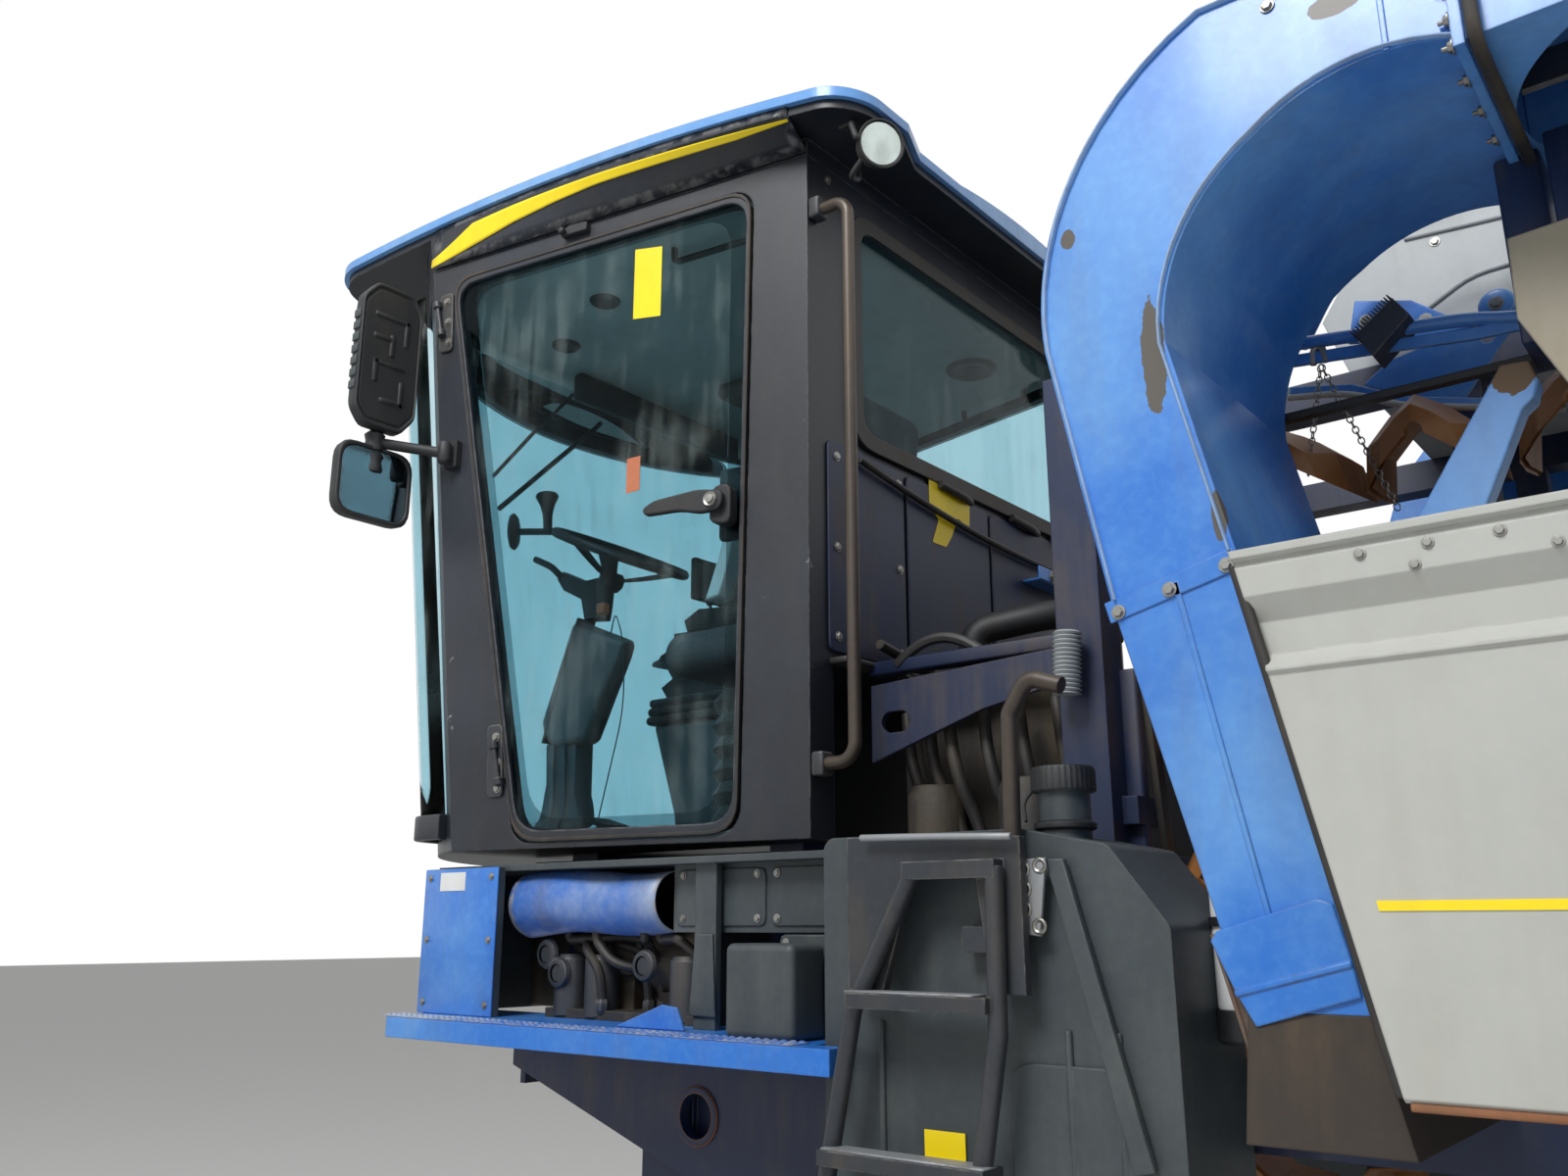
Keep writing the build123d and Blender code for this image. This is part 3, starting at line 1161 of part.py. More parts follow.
def fan_rotor():
    """Hub, shaft and slanted blades, with the stem that leaves the housing's top."""
    low, high = ROTOR_HUB_INSET
    hub_top = FAN_Z[1] - high
    hub = shaft((0, 0, FAN_Z[0] + low), (0, 0, hub_top), ROTOR_HUB_RADIUS)
    stem = shaft((0, 0, hub_top), (0, 0, FAN_Z[1] + ROTOR_STEM_RISE), FAN_BORE_RADIUS)
    thick, tall = ROTOR_BLADE
    root, tip = ROTOR_HUB_RADIUS - low, FAN_RADIUS - ROTOR_GAP
    length = tip - root - thick - 4
    place = Pos((tip + root) / 2, 0, FAN_Z[0] + ROTOR_BLADE_RISE) * Rot(ROTOR_BLADE_PITCH, 0, 0)
    plate = place * Box(length, thick, tall)
    blades = [Rot(0, 0, 360 * number / ROTOR_BLADES) * plate for number in range(ROTOR_BLADES)]
    return Pos(FAN_X, (DUCT_Y[0] + DUCT_Y[1]) / 2, 0) * fused(hub, stem, *blades)


# Hopper


def hopper():
    """Left hopper: open box with a sloped rear chute, an outer skirt and pivot ears."""
    y, w = HOPPER_Y, HOPPER_WALL
    floor, rim, front = HOPPER_FLOOR_Z, HOPPER_RIM_Z, HOPPER_FRONT_X
    inside_y = (y[0] + w, y[1] - w)
    profile = [(front, rim), (front, floor), (HOPPER_FLOOR_REAR_X, floor), (REAR_END_X, HOPPER_LIP_Z),
               (REAR_END_X, rim)]
    inside = [(front - w, rim + w), (front - w, floor + w), (HOPPER_FLOOR_REAR_X + 2, floor + w),
              (REAR_END_X + w, HOPPER_LIP_Z + w), (REAR_END_X + w, rim + w)]
    tub = side_plate(profile, y) - side_plate(inside, inside_y)
    skirt_line = [(SKIRT_TOP_X, rim), (SKIRT_BOTTOM_X, floor), (front - w, floor), (front - w, rim)]
    skirt = side_plate(skirt_line, (y[1] - w, y[1]))
    slant = (SKIRT_TOP_X - SKIRT_BOTTOM_X) / (rim - floor)
    fold_x = SKIRT_TOP_X - slant * (rim - HOPPER_FOLD_Z)
    band_line = [(SKIRT_TOP_X, rim), (fold_x, HOPPER_FOLD_Z), (REAR_END_X, HOPPER_FOLD_Z), (REAR_END_X, rim)]
    band = side_plate(band_line, (y[1], HALF_WIDTH))
    px, pz = HOPPER_PIVOT
    ears = []
    for low in PIVOT_EAR_Y:
        ear = side_plate([(px + dx, pz + dz) for dx, dz in PIVOT_EAR], (low, low + PIVOT_EAR_THICK))
        ears.append(ear + shaft((px, low, pz), (px, low + PIVOT_EAR_THICK, pz), PIVOT_RADIUS + PIVOT_EYE))
    tub = fused(tub, skirt, band, *ears) - side_plate(inside, inside_y)
    bore = shaft((px, y[0], pz), (px, HALF_WIDTH, pz), PIVOT_RADIUS + RUNNING_GAP)
    ax, az = CYLINDER_EYE
    half, thick, drop = CYLINDER_LUG
    lugs = []
    for low in (CYLINDER_Y + CYLINDER_LUG_Y[0], CYLINDER_Y + CYLINDER_LUG_Y[1]):
        lugs.append(block((ax - half, ax + half), (low, low + thick), (az - drop, floor)))
    return fused(tub - bore, *lugs)


def cylinder_frame():
    """Direction and length from the cylinder's base pin to its eye."""
    (bx, bz), (ax, az) = CYLINDER_BASE, CYLINDER_EYE
    length = hypot(ax - bx, az - bz)
    return (ax - bx) / length, (az - bz) / length, length


def along_cylinder(distance):
    """Point on the cylinder's axis at a distance from its base pin."""
    ux, uz, _ = cylinder_frame()
    return (CYLINDER_BASE[0] + ux * distance, CYLINDER_Y, CYLINDER_BASE[1] + uz * distance)


def barrel():
    """Cylinder barrel with its base eye, bored for the rod."""
    bx, bz = CYLINDER_BASE
    length = cylinder_frame()[2]
    radius, half = BARREL_EYE
    start, short = BARREL_SPAN
    eye = shaft((bx, CYLINDER_Y - half, bz), (bx, CYLINDER_Y + half, bz), radius)
    body = shaft(along_cylinder(start), along_cylinder(length - short), BARREL_RADIUS)
    hole = shaft(along_cylinder(ROD_START - ROD_RADIUS / 2), along_cylinder(length), ROD_RADIUS + RUNNING_GAP)
    pin_hole = shaft((bx, CYLINDER_Y - 2 * half, bz), (bx, CYLINDER_Y + 2 * half, bz), ROD_RADIUS + RUNNING_GAP)
    return eye + body - hole - pin_hole


def rod():
    """Cylinder rod with its eye, which stays open of a pin."""
    ax, az = CYLINDER_EYE
    length = cylinder_frame()[2]
    radius, half = ROD_EYE
    stem = shaft(along_cylinder(ROD_START), along_cylinder(length - ROD_RADIUS), ROD_RADIUS)
    eye = shaft((ax, CYLINDER_Y - half, az), (ax, CYLINDER_Y + half, az), radius)
    hole = shaft((ax, CYLINDER_Y - 2 * half, az), (ax, CYLINDER_Y + 2 * half, az), ROD_EYE_BORE)
    return stem + eye - hole


# Basket loops and picking head


def loop_station(distance):
    """Place and inward turn of the loop's outer edge at a distance along it."""
    x0, x1 = LOOP_X
    r = LOOP_CORNER
    runs = [x1 - x0 - 2 * r, LOOP_HEIGHT - 2 * r]
    quarter = pi * r / 2
    corners = [(x1 - r, r), (x1 - r, LOOP_HEIGHT - r), (x0 + r, LOOP_HEIGHT - r), (x0 + r, r)]
    starts = [(x0 + r, 0), (x1, r), (x1 - r, LOOP_HEIGHT), (x0, LOOP_HEIGHT - r)]
    for side in range(4):
        heading = 90 * side
        run = runs[side % 2]
        if distance <= run:
            dx, dz = cos(radians(heading)), sin(radians(heading))
            return starts[side][0] + dx * distance, starts[side][1] + dz * distance, heading
        distance -= run
        if distance <= quarter:
            turn = heading + degrees(distance / r)
            cx, cz = corners[side]
            return cx + r * sin(radians(turn)), cz - r * cos(radians(turn)), turn
        distance -= quarter
    return starts[0][0], starts[0][1], 0


def loop_length():
    """Length round the loop's outer edge."""
    return 2 * (LOOP_X[1] - LOOP_X[0] + LOOP_HEIGHT) - (8 - 2 * pi) * LOOP_CORNER


def basket_loop():
    """Closed chain band with its ring of open baskets, tilted outward at the top."""
    x0, x1 = LOOP_X
    middle = Pos((x0 + x1) / 2, LOOP_HEIGHT / 2)
    outer = middle * RectangleRounded(x1 - x0, LOOP_HEIGHT, LOOP_CORNER)
    depth = CHAIN_DEPTH
    inner = middle * RectangleRounded(x1 - x0 - 2 * depth, LOOP_HEIGHT - 2 * depth, LOOP_CORNER - depth)
    band = extrude(Plane.XZ.offset(-BASKET_WIDTH / 2 - CHAIN_WIDTH) * (outer - inner), amount=CHAIN_WIDTH)
    count = round(loop_length() / BASKET_PITCH)
    step = loop_length() / count
    tray = basket((LOOP_CORNER - BASKET_DEPTH) * tan(step / LOOP_CORNER / 2) - BASKET_GAP)
    baskets = []
    for number in range(count):
        x, z, turn = loop_station(step * (number + 0.5))
        baskets.append(Pos(x, 0, z) * Rot(0, -turn, 0) * tray)
    y0, z0 = LOOP_FOOT
    return Pos(0, y0, z0) * Rot(-LOOP_TILT, 0, 0) * fused(band, *baskets)


def basket(half_length):
    """Tray with tapered ends, open towards the inside of the loop; its floor is at Z = 0."""
    half, l, d, w = BASKET_WIDTH / 2, half_length, BASKET_DEPTH, BASKET_WALL
    foot = l - BASKET_TAPER
    outer = side_plate([(-foot, 0), (foot, 0), (l, d), (-l, d)], (-half, half))
    inner = side_plate([(w - foot, w), (foot - w, w), (l - w, d + w), (w - l, d + w)], (-half + w, half - w))
    return outer - inner


def picking_rods():
    """Bowed rods of both banks, each fused to its drive post and its rear post."""
    inset, reach = ROD_POST_INSET
    x0, x1 = HEAD_X[0] + inset, HEAD_X[1] - inset
    y = HEAD_Y[0] - reach
    low, high = HEAD_Z[0] - CLIP_RISE[0] + CLIP_HEIGHT + SEAT_GAP, HEAD_Z[1] - CLIP_RISE[1] - SEAT_GAP
    posts = [shaft((x, y, low), (x, y, high), ROD_POST_RADIUS) for x in (x0, x1)]
    rods = []
    for number in range(ROD_COUNT):
        z = ROD_LOW_Z + number * ROD_PITCH
        bow = ThreePointArc((x0, y, z), ((x0 + x1) / 2, ROD_BOW_Y, z), (x1, y, z))
        section = Plane(origin=bow @ 0, z_dir=bow % 0) * Circle(PICKER_ROD_RADIUS)
        rods.append(sweep(section, path=bow))
    return pair(fused(*posts, *rods))


def picking_frame():
    """Side frames of the picking head with cross members over the row."""
    x, y, z = HEAD_X, HEAD_Y, HEAD_Z
    bar = HEAD_BAR
    posts = [block(px, y, (z[0], z[1] - bar)) for px in head_bar_x(0)]
    low = block(x, y, (z[0] - bar, z[0]))
    high = block(x, y, (z[1] - bar, z[1]))
    near, far = CLIP_SPAN
    clips = []
    for px in ((x[0] + near, x[0] + far), (x[1] - far, x[1] - near)):
        for pz in (z[0] - CLIP_RISE[0], z[1] - CLIP_RISE[1]):
            clips.append(block(px, (y[0] - CLIP_REACH, y[1] - ROD_POST_INSET[1]), (pz, pz + CLIP_HEIGHT)))
    side = fused(high, *posts, low, *clips)
    cross = [block(px, (-y[0], y[0]), (z[1] - bar, z[1])) for px in head_bar_x(HANGER_INSET)]
    return fused(cross[0], side, other_side(side), cross[1])


def upper_conveyors():
    """Cross belts inside the loops that carry the fruit out to the hoppers."""
    low, high = CONVEYOR_X
    y = (CONVEYOR_INNER_Y, HOPPER_Y[0] - LOOP_REACH)
    z = HEAD_Z[1] + CONVEYOR_BED
    bed = block(CONVEYOR_X, y, (HEAD_Z[1], z))
    walls = [block((x, x + CONVEYOR_SHEET), y, (z, z + CONVEYOR_EDGE)) for x in (low, high - CONVEYOR_SHEET)]
    return pair(fused(bed, *walls))


NODES = {
    "chassis_rails": lambda: pair(chassis_rail()),
    "cab_arches": cab_arches,
    "main_arches": main_arches,
    "front_legs": lambda: pair(front_leg()),
    "rear_legs": lambda: pair(rear_leg()),
    "cab_frame": cab_frame,
    "cab_fascia": cab_fascia,
    "cab_roof": cab_roof,
    "cab_glazing": cab_glazing,
    "door_frame": door_frame,
    "door_glass": door_glass,
    "seat": seat,
    "cab_controls": cab_controls,
    "mirrors": mirrors,
    "work_lamps": lamps,
    "handrails": handrails,
    "platforms": platforms,
    "ladder": ladder,
    "fuel_tanks": fuel_tank,
    "lower_panels": lower_panels,
    "control_box": control_box,
    "curled_cover": curled_cover,
    "hydraulic_bay": hydraulic_bay,
    "engine_block": engine_block,
    "exhaust": exhaust,
    "top_hood": top_hood,
    "cooler": cooler,
    "duct_spouts": lambda: pair(spout()),
    "fan_housings": lambda: pair(fan_housing()),
    "picking_frame": picking_frame,
    "picking_rods": picking_rods,
    "upper_conveyors": upper_conveyors,
}
LEFT_NODES = {
    "knuckle": knuckle,
    "tyre_front": lambda: FRONT_PLACE * tyre(FRONT_TYRE_RADIUS, FRONT_TYRE_WIDTH, FRONT_RIM_RADIUS, FRONT_LUGS),
    "rim_front": lambda: FRONT_PLACE * rim(FRONT_RIM_RADIUS, FRONT_TYRE_WIDTH, FRONT_DISH, HUB_LENGTH),
    "tyre_rear": lambda: REAR_PLACE * tyre(REAR_TYRE_RADIUS, REAR_TYRE_WIDTH, REAR_RIM_RADIUS, REAR_LUGS),
    "rim_rear": lambda: REAR_PLACE * rim(REAR_RIM_RADIUS, REAR_TYRE_WIDTH, REAR_DISH, HUB_LENGTH),
    "arch_duct": arch_duct,
    "fan_rotor": fan_rotor,
    "basket_loop": basket_loop,
    "hopper": hopper,
    "cylinder_barrel": barrel,
    "cylinder_rod": rod,
}


def save(shape, name):
    """Writes a piece, or the solids of several, as one STEP file."""
    solids = []
    for piece in shape if isinstance(shape, list) else [shape]:
        solids.extend(piece.solids())
    whole = solids[0] if len(solids) == 1 else Compound(solids)
    export_step(whole, f"parts/{name}.step")


os.makedirs("parts", exist_ok=True)
for node_name, make in NODES.items():
    save(make(), node_name)
for node_name, make in LEFT_NODES.items():
    left = make()
    save(left, node_name + "_left")
    save(other_side(left), node_name + "_right")
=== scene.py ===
"""Grape harvester: finishes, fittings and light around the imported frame.

Lengths are metres in the frame's own axes: X forward, Y to the machine's left, Z up.
"""

import logging
from dataclasses import dataclass
from enum import Enum
from functools import cache
from math import atan2, cos, pi, radians, sin
from typing import Iterable, Sequence

import bmesh
import bpy
import numpy as np
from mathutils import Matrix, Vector

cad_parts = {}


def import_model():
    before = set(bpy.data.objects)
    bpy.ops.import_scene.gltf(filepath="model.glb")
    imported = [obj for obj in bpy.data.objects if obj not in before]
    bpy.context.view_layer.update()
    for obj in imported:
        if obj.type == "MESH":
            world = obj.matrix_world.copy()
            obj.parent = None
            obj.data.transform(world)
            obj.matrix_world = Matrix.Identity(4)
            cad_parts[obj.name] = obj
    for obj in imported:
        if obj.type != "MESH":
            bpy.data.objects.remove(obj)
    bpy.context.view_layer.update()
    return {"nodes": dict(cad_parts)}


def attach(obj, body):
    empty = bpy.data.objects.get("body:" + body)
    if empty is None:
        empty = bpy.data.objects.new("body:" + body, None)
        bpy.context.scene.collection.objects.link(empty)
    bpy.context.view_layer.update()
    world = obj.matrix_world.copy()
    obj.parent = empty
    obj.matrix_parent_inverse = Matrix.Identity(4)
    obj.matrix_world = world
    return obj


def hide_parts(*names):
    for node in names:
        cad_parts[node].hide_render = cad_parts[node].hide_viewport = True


LOG = logging.getLogger("grape_harvester")
Array = np.ndarray
Point = Sequence[float]


def srgb(red: int, green: int, blue: int) -> tuple[float, float, float, float]:
    """Linear colour of an eight-bit screen colour.

    Args:
        red, green, blue: levels from 0 to 255.

    Returns:
        The linear colour with alpha 1.
    """
    levels = np.array([red, green, blue]) / 255
    linear = np.where(levels <= 0.04045, levels / 12.92, ((levels + 0.055) / 1.055) ** 2.4)
    return (*linear.tolist(), 1.0)


# Surfaces


@dataclass
class Skin:
    """Points and faces of a surface before it becomes a mesh."""

    points: Array
    faces: list

    def moved(self, offset: Point) -> "Skin":
        """The same surface shifted by offset."""
        return Skin(self.points + np.asarray(offset, float), self.faces)

    def mirrored(self) -> "Skin":
        """The same surface on the machine's other side, with its faces turned round."""
        return Skin(self.points * (1, -1, 1), [face[::-1] for face in self.faces])

    def both(self) -> "Skin":
        """The surface and its mirror image together."""
        return joined([self, self.mirrored()])

    def placed(self, origin: Point, x_axis: Point, z_axis: Point) -> "Skin":
        """The surface carried from the origin to a place with its own X and Z directions.

        Args:
            origin: new place of the surface's origin.
            x_axis: direction that its X takes, made square to z_axis.
            z_axis: direction that its Z takes.

        Returns:
            The carried surface.
        """
        z = unit(np.asarray(z_axis, float))
        x = np.asarray(x_axis, float)
        x = unit(x - z * (x @ z))
        turn = np.stack([x, np.cross(z, x), z])
        return Skin(self.points @ turn + np.asarray(origin, float), self.faces)


def unit(vectors: Array) -> Array:
    """Vectors along the last axis, each scaled to length 1."""
    return vectors / np.maximum(np.linalg.norm(vectors, axis=-1, keepdims=True), 1e-12)


def joined(skins: Iterable[Skin]) -> Skin:
    """One surface from several, with the faces' numbers moved on.

    Args:
        skins: the surfaces.

    Returns:
        The joint surface.
    """
    points, faces, start = [], [], 0
    for skin in skins:
        points.append(skin.points)
        faces += [[corner + start for corner in face] for face in skin.faces]
        start += len(skin.points)
    return Skin(np.concatenate(points), faces)


def copies(skin: Skin, places: Array) -> Skin:
    """The surface repeated: copy k has the points p + place(k).

    Args:
        skin: the surface.
        places: array of shape (n, 3).

    Returns:
        The n copies as one surface.
    """
    places = np.asarray(places, float)
    points = (skin.points[None] + places[:, None]).reshape(-1, 3)
    count = len(skin.points)
    faces = [[corner + count * k for corner in face] for k in range(len(places)) for face in skin.faces]
    return Skin(points, faces)


def grid(points: Array, wrap_u: bool = False, wrap_v: bool = False, caps: bool = False) -> Skin:
    """Four-cornered faces over a grid of points.

    Args:
        points: array of shape (nu, nv, 3), one point for each pair of parameters.
        wrap_u, wrap_v: whether the last row meets the first along that parameter.
        caps: whether the first and last rows are closed by a face.

    Returns:
        The surface; face (u, v) has the corners (u, v), (u+1, v), (u+1, v+1), (u, v+1).
    """
    nu, nv = points.shape[:2]
    u, v = np.meshgrid(np.arange(nu if wrap_u else nu - 1), np.arange(nv if wrap_v else nv - 1),
                       indexing="ij")
    after_u, after_v = (u + 1) % nu, (v + 1) % nv
    corners = (u * nv + v, after_u * nv + v, after_u * nv + after_v, u * nv + after_v)
    faces = np.stack(corners, -1).reshape(-1, 4).tolist()
    if caps:
        row = np.arange(nv)
        faces += [row[::-1].tolist(), (row + (nu - 1) * nv).tolist()]
    return Skin(points.reshape(-1, 3).astype(float), faces)


def frames(path: Array, up: Point | None = None) -> tuple[Array, Array]:
    """Side and top directions along a path.

    The tangent is the difference of neighbouring points. With up given, side = up x tangent; without it,
    each station's side is the last one's less its part along the new tangent, so a round tube doesn't twist.

    Args:
        path: array of shape (n, 3).
        up: a direction that is nowhere along the path, or None.

    Returns:
        Two arrays of shape (n, 3), the side and the top directions.
    """
    tangent = unit(np.gradient(path, axis=0))
    if up is not None:
        side = unit(np.cross(np.asarray(up, float), tangent))
        return side, np.cross(tangent, side)
    side = np.empty_like(tangent)
    last = np.eye(3)[np.argmin(np.abs(tangent[0]))]
    for station, direction in enumerate(tangent):
        last = last - direction * (last @ direction)
        last = last / np.linalg.norm(last)
        side[station] = last
    return side, np.cross(tangent, side)


def sweep(path: Array, profile: Array, up: Point | None = None, scale: Array | float = 1.0,
          closed: bool = False) -> Skin:
    """A closed profile carried along a path: point(i, j) = path(i) + scale(i) (p(j) side(i) + q(j) top(i)).

    Args:
        path: array of shape (n, 3).
        profile: array of shape (m, 2), p across and q up.
        up: direction that steadies the frames, or None.
        scale: size of the profile at each station.
        closed: whether the path's end meets its start, so that there are no end caps.

    Returns:
        The swept surface.
    """
    path = np.asarray(path, float)
    side, top = frames(path, up)
    size = np.broadcast_to(np.asarray(scale, float), (len(path),))[:, None, None]
    ring = profile[None, :, 0, None] * side[:, None] + profile[None, :, 1, None] * top[:, None]
    return grid(path[:, None] + size * ring, wrap_u=closed, wrap_v=True, caps=not closed)


def circle(radius: float, sides: int) -> Array:
    """Points (r cos a, r sin a) for equal steps of a."""
    turn = 2 * pi * np.arange(sides) / sides
    return radius * np.stack([np.cos(turn), np.sin(turn)], -1)


def rounded(points: Sequence[Point], reach: float, steps: int = 6, closed: bool = False) -> Array:
    """A broken line with its corners rounded.

    Each corner c between a and b, both reach away along its two runs, becomes (1-t)^2 a + 2t(1-t) c + t^2 b.

    Args:
        points: the line's corners, in two or three dimensions.
        reach: how far from a corner the rounding starts, at most 0.48 of either run.
        steps: points of each rounding.
        closed: whether the last point joins the first.

    Returns:
        The rounded line's points.
    """
    line = np.asarray(points, float)
    before, after = np.roll(line, 1, 0) - line, np.roll(line, -1, 0) - line
    lengths = np.minimum(np.linalg.norm(before, axis=1), np.linalg.norm(after, axis=1))
    cut = np.minimum(reach, 0.48 * lengths)[:, None]
    start, end = line + unit(before) * cut, line + unit(after) * cut
    t = np.linspace(0, 1, steps)[None, :, None]
    arcs = (1 - t) ** 2 * start[:, None] + 2 * t * (1 - t) * line[:, None] + t**2 * end[:, None]
    if closed:
        return arcs.reshape(-1, line.shape[1])
    return np.concatenate([line[:1], arcs[1:-1].reshape(-1, line.shape[1]), line[-1:]])


def tube(points: Sequence[Point], radius: float, bend: float = 0.05, sides: int = 10,
         steps: int = 6) -> Skin:
    """A round bar along a broken line with rounded corners."""
    return sweep(rounded(points, bend, steps), circle(radius, sides))


def hanging(start: Point, end: Point, drop: float, radius: float, sides: int = 8, steps: int = 14) -> Skin:
    """A hose between two points whose height falls by 4 drop t (1 - t) along it.

    Args:
        start, end: the hose's two ends.
        drop: how far its middle hangs.
        radius: the hose's radius.
        sides: points round it.
        steps: points along it.

    Returns:
        The hose's surface.
    """
    t = np.linspace(0, 1, steps)[:, None]
    path = np.asarray(start, float) * (1 - t) + np.asarray(end, float) * t
    path[:, 2:] -= 4 * drop * t * (1 - t)
    return sweep(path, circle(radius, sides))


def lathe(profile: Sequence[Point], origin: Point, axis: Point, segments: int = 24,
          closed: bool = False) -> Skin:
    """A profile of (radius, height) pairs turned about an axis.

    Args:
        profile: radius and height of each point; ends with radius 0 close the form.
        origin: the place of height 0.
        axis: the direction of height.
        segments: steps of the turn.
        closed: whether the profile's end meets its start.

    Returns:
        Points (r cos a, r sin a, h) for each pair of step and profile point, carried to the axis.
    """
    shape = np.asarray(profile, float)
    turn = (2 * pi * np.arange(segments) / segments)[:, None]
    points = np.stack([np.cos(turn) * shape[:, 0], np.sin(turn) * shape[:, 0],
                       np.broadcast_to(shape[:, 1], (segments, len(shape)))], -1)
    axis = np.asarray(axis, float)
    across = np.eye(3)[np.argmin(np.abs(axis))]
    return grid(points, wrap_u=True, wrap_v=closed).placed(origin, across, axis)


def slab(outline: Array, low: float, high: float) -> Skin:
    """A flat outline in X and Y made solid between two heights.

    Args:
        outline: the outline's corners.
        low, high: the two heights.

    Returns:
        The closed surface.
    """
    outline = np.asarray(outline, float)
    rings = np.stack([np.column_stack([outline, np.full(len(outline), z)]) for z in (low, high)])
    return grid(rings, wrap_v=True, caps=True)


def side_slab(outline: Sequence[Point], y: tuple[float, float]) -> Skin:
    """A plate of an X, Z outline between two values of Y."""
    flat = slab(np.asarray(outline, float), -y[1], -y[0])
    return Skin(flat.points[:, [0, 2, 1]] * (1, -1, 1), flat.faces)


def cross_slab(outline: Sequence[Point], x: tuple[float, float]) -> Skin:
    """A plate of a Y, Z outline between two values of X."""
    flat = slab(np.asarray(outline, float), *x)
    return Skin(flat.points[:, [2, 0, 1]], flat.faces)


def soft_box(low: Point, high: Point, radius: float, steps: int = 4) -> Skin:
    """A box with rounded edges: each octant of a sphere is moved out to its corner of the inner box.

    Args:
        low, high: the box's limits.
        radius: radius of its edges.
        steps: points of each quarter turn.

    Returns:
        Points centre + s (half - r) + r n, where n is a direction on the sphere and s its octant's signs.
    """
    low, high = np.asarray(low, float), np.asarray(high, float)
    centre, half = (low + high) / 2, (high - low) / 2
    radius = min(radius, *(half * 0.999))
    quarter = np.linspace(0, pi / 2, steps)
    turn = np.concatenate([quarter + k * pi / 2 for k in range(4)])
    tilt = np.concatenate([quarter - pi / 2, quarter])
    sign_x = np.repeat([1, -1, -1, 1], steps)
    sign_y = np.repeat([1, 1, -1, -1], steps)
    sign_z = np.repeat([-1, 1], steps)
    a, b = np.meshgrid(turn, tilt, indexing="ij")
    normal = np.stack([np.cos(a) * np.cos(b), np.sin(a) * np.cos(b), np.sin(b)], -1)
    signs = np.stack(np.broadcast_arrays(sign_x[:, None], sign_y[:, None], sign_z[None, :]), -1)
    points = centre + signs * (half - radius) + radius * normal
    skin = grid(points, wrap_u=True)
    rows = np.arange(len(turn)) * len(tilt)
    skin.faces += [rows[::-1].tolist(), (rows + len(tilt) - 1).tolist()]
    return skin


def bolt(radius: float, height: float) -> Skin:
    """A six-sided head on a round washer, standing up from the origin.

    Args:
        radius: radius of the head's corners.
        height: top of the head.

    Returns:
        The bolt's surface.
    """
    head = lathe([(0, height), (0.9 * radius, height), (radius, 0.8 * height), (radius, 0.2 * height),
                  (0, 0.2 * height)], (0, 0, 0), (0, 0, 1), 6)
    washer = lathe([(0, 0.25 * height), (1.4 * radius, 0.25 * height), (1.4 * radius, 0), (0, 0)],
                   (0, 0, 0), (0, 0, 1), 12)
    return joined([head, washer])


def bolts(places: Sequence[Point], normal: Point, radius: float, height: float) -> Skin:
    """Bolts at several places on a flat face."""
    across = np.eye(3)[np.argmin(np.abs(np.asarray(normal, float)))]
    return copies(bolt(radius, height).placed((0, 0, 0), across, normal), np.asarray(places, float))


def line_of(start: Point, end: Point, count: int) -> Array:
    """Equally spaced points from start to end."""
    return np.linspace(np.asarray(start, float), np.asarray(end, float), count)


# Finishes


class Tree:
    """A node tree with a short way to add and join nodes."""

    def __init__(self, tree: bpy.types.NodeTree) -> None:
        """Wraps a material's or a group's tree."""
        self.tree = tree

    def add(self, kind: str, settings: dict | None = None, **inputs: object) -> bpy.types.Node:
        """Adds a node and sets or links its inputs.

        Args:
            kind: the node's type, without its ShaderNode prefix, or a Node type of its own.
            settings: plain properties of the node.
            **inputs: input name with underscores for spaces, or i0, i1 for a place in the list.

        Returns:
            The node.
        """
        node = self.tree.nodes.new(kind if kind.startswith("Node") else "ShaderNode" + kind)
        for name, value in (settings or {}).items():
            setattr(node, name, value)
        for name, value in inputs.items():
            numbered = name[0] == "i" and name[1:].isdigit()
            socket = node.inputs[int(name[1:])] if numbered else node.inputs[name.replace("_", " ")]
            if isinstance(value, bpy.types.NodeSocket):
                self.tree.links.new(value, socket)
            else:
                socket.default_value = value
        return node

    def noise(self, vector: object, scale: float, detail: float = 4,
              rough: float = 0.55) -> bpy.types.NodeSocket:
        """Fractal noise of a vector, from 0 to 1."""
        return self.add("TexNoise", Vector=vector, Scale=scale, Detail=detail,
                        Roughness=rough).outputs["Fac"]

    def math(self, how: str, first: object, second: object = 0.0) -> bpy.types.NodeSocket:
        """Two values joined by the named operation."""
        return self.add("Math", {"operation": how}, i0=first, i1=second).outputs[0]

    def step(self, value: object, low: object, high: object) -> bpy.types.NodeSocket:
        """A smooth step from 0 at low to 1 at high."""
        return self.add("MapRange", {"interpolation_type": "SMOOTHSTEP"}, Value=value, From_Min=low,
                        From_Max=high).outputs["Result"]

    def mix(self, share: object, first: object, second: object) -> bpy.types.NodeSocket:
        """A colour between two, by share."""
        node = self.add("Mix", {"data_type": "RGBA"}, i0=share, i6=first, i7=second)
        return node.outputs[2]

    def stretched(self, vector: object, sizes: Point) -> bpy.types.NodeSocket:
        """The vector with each axis scaled."""
        return self.add("VectorMath", {"operation": "MULTIPLY"}, i0=vector, i1=tuple(sizes)).outputs[0]


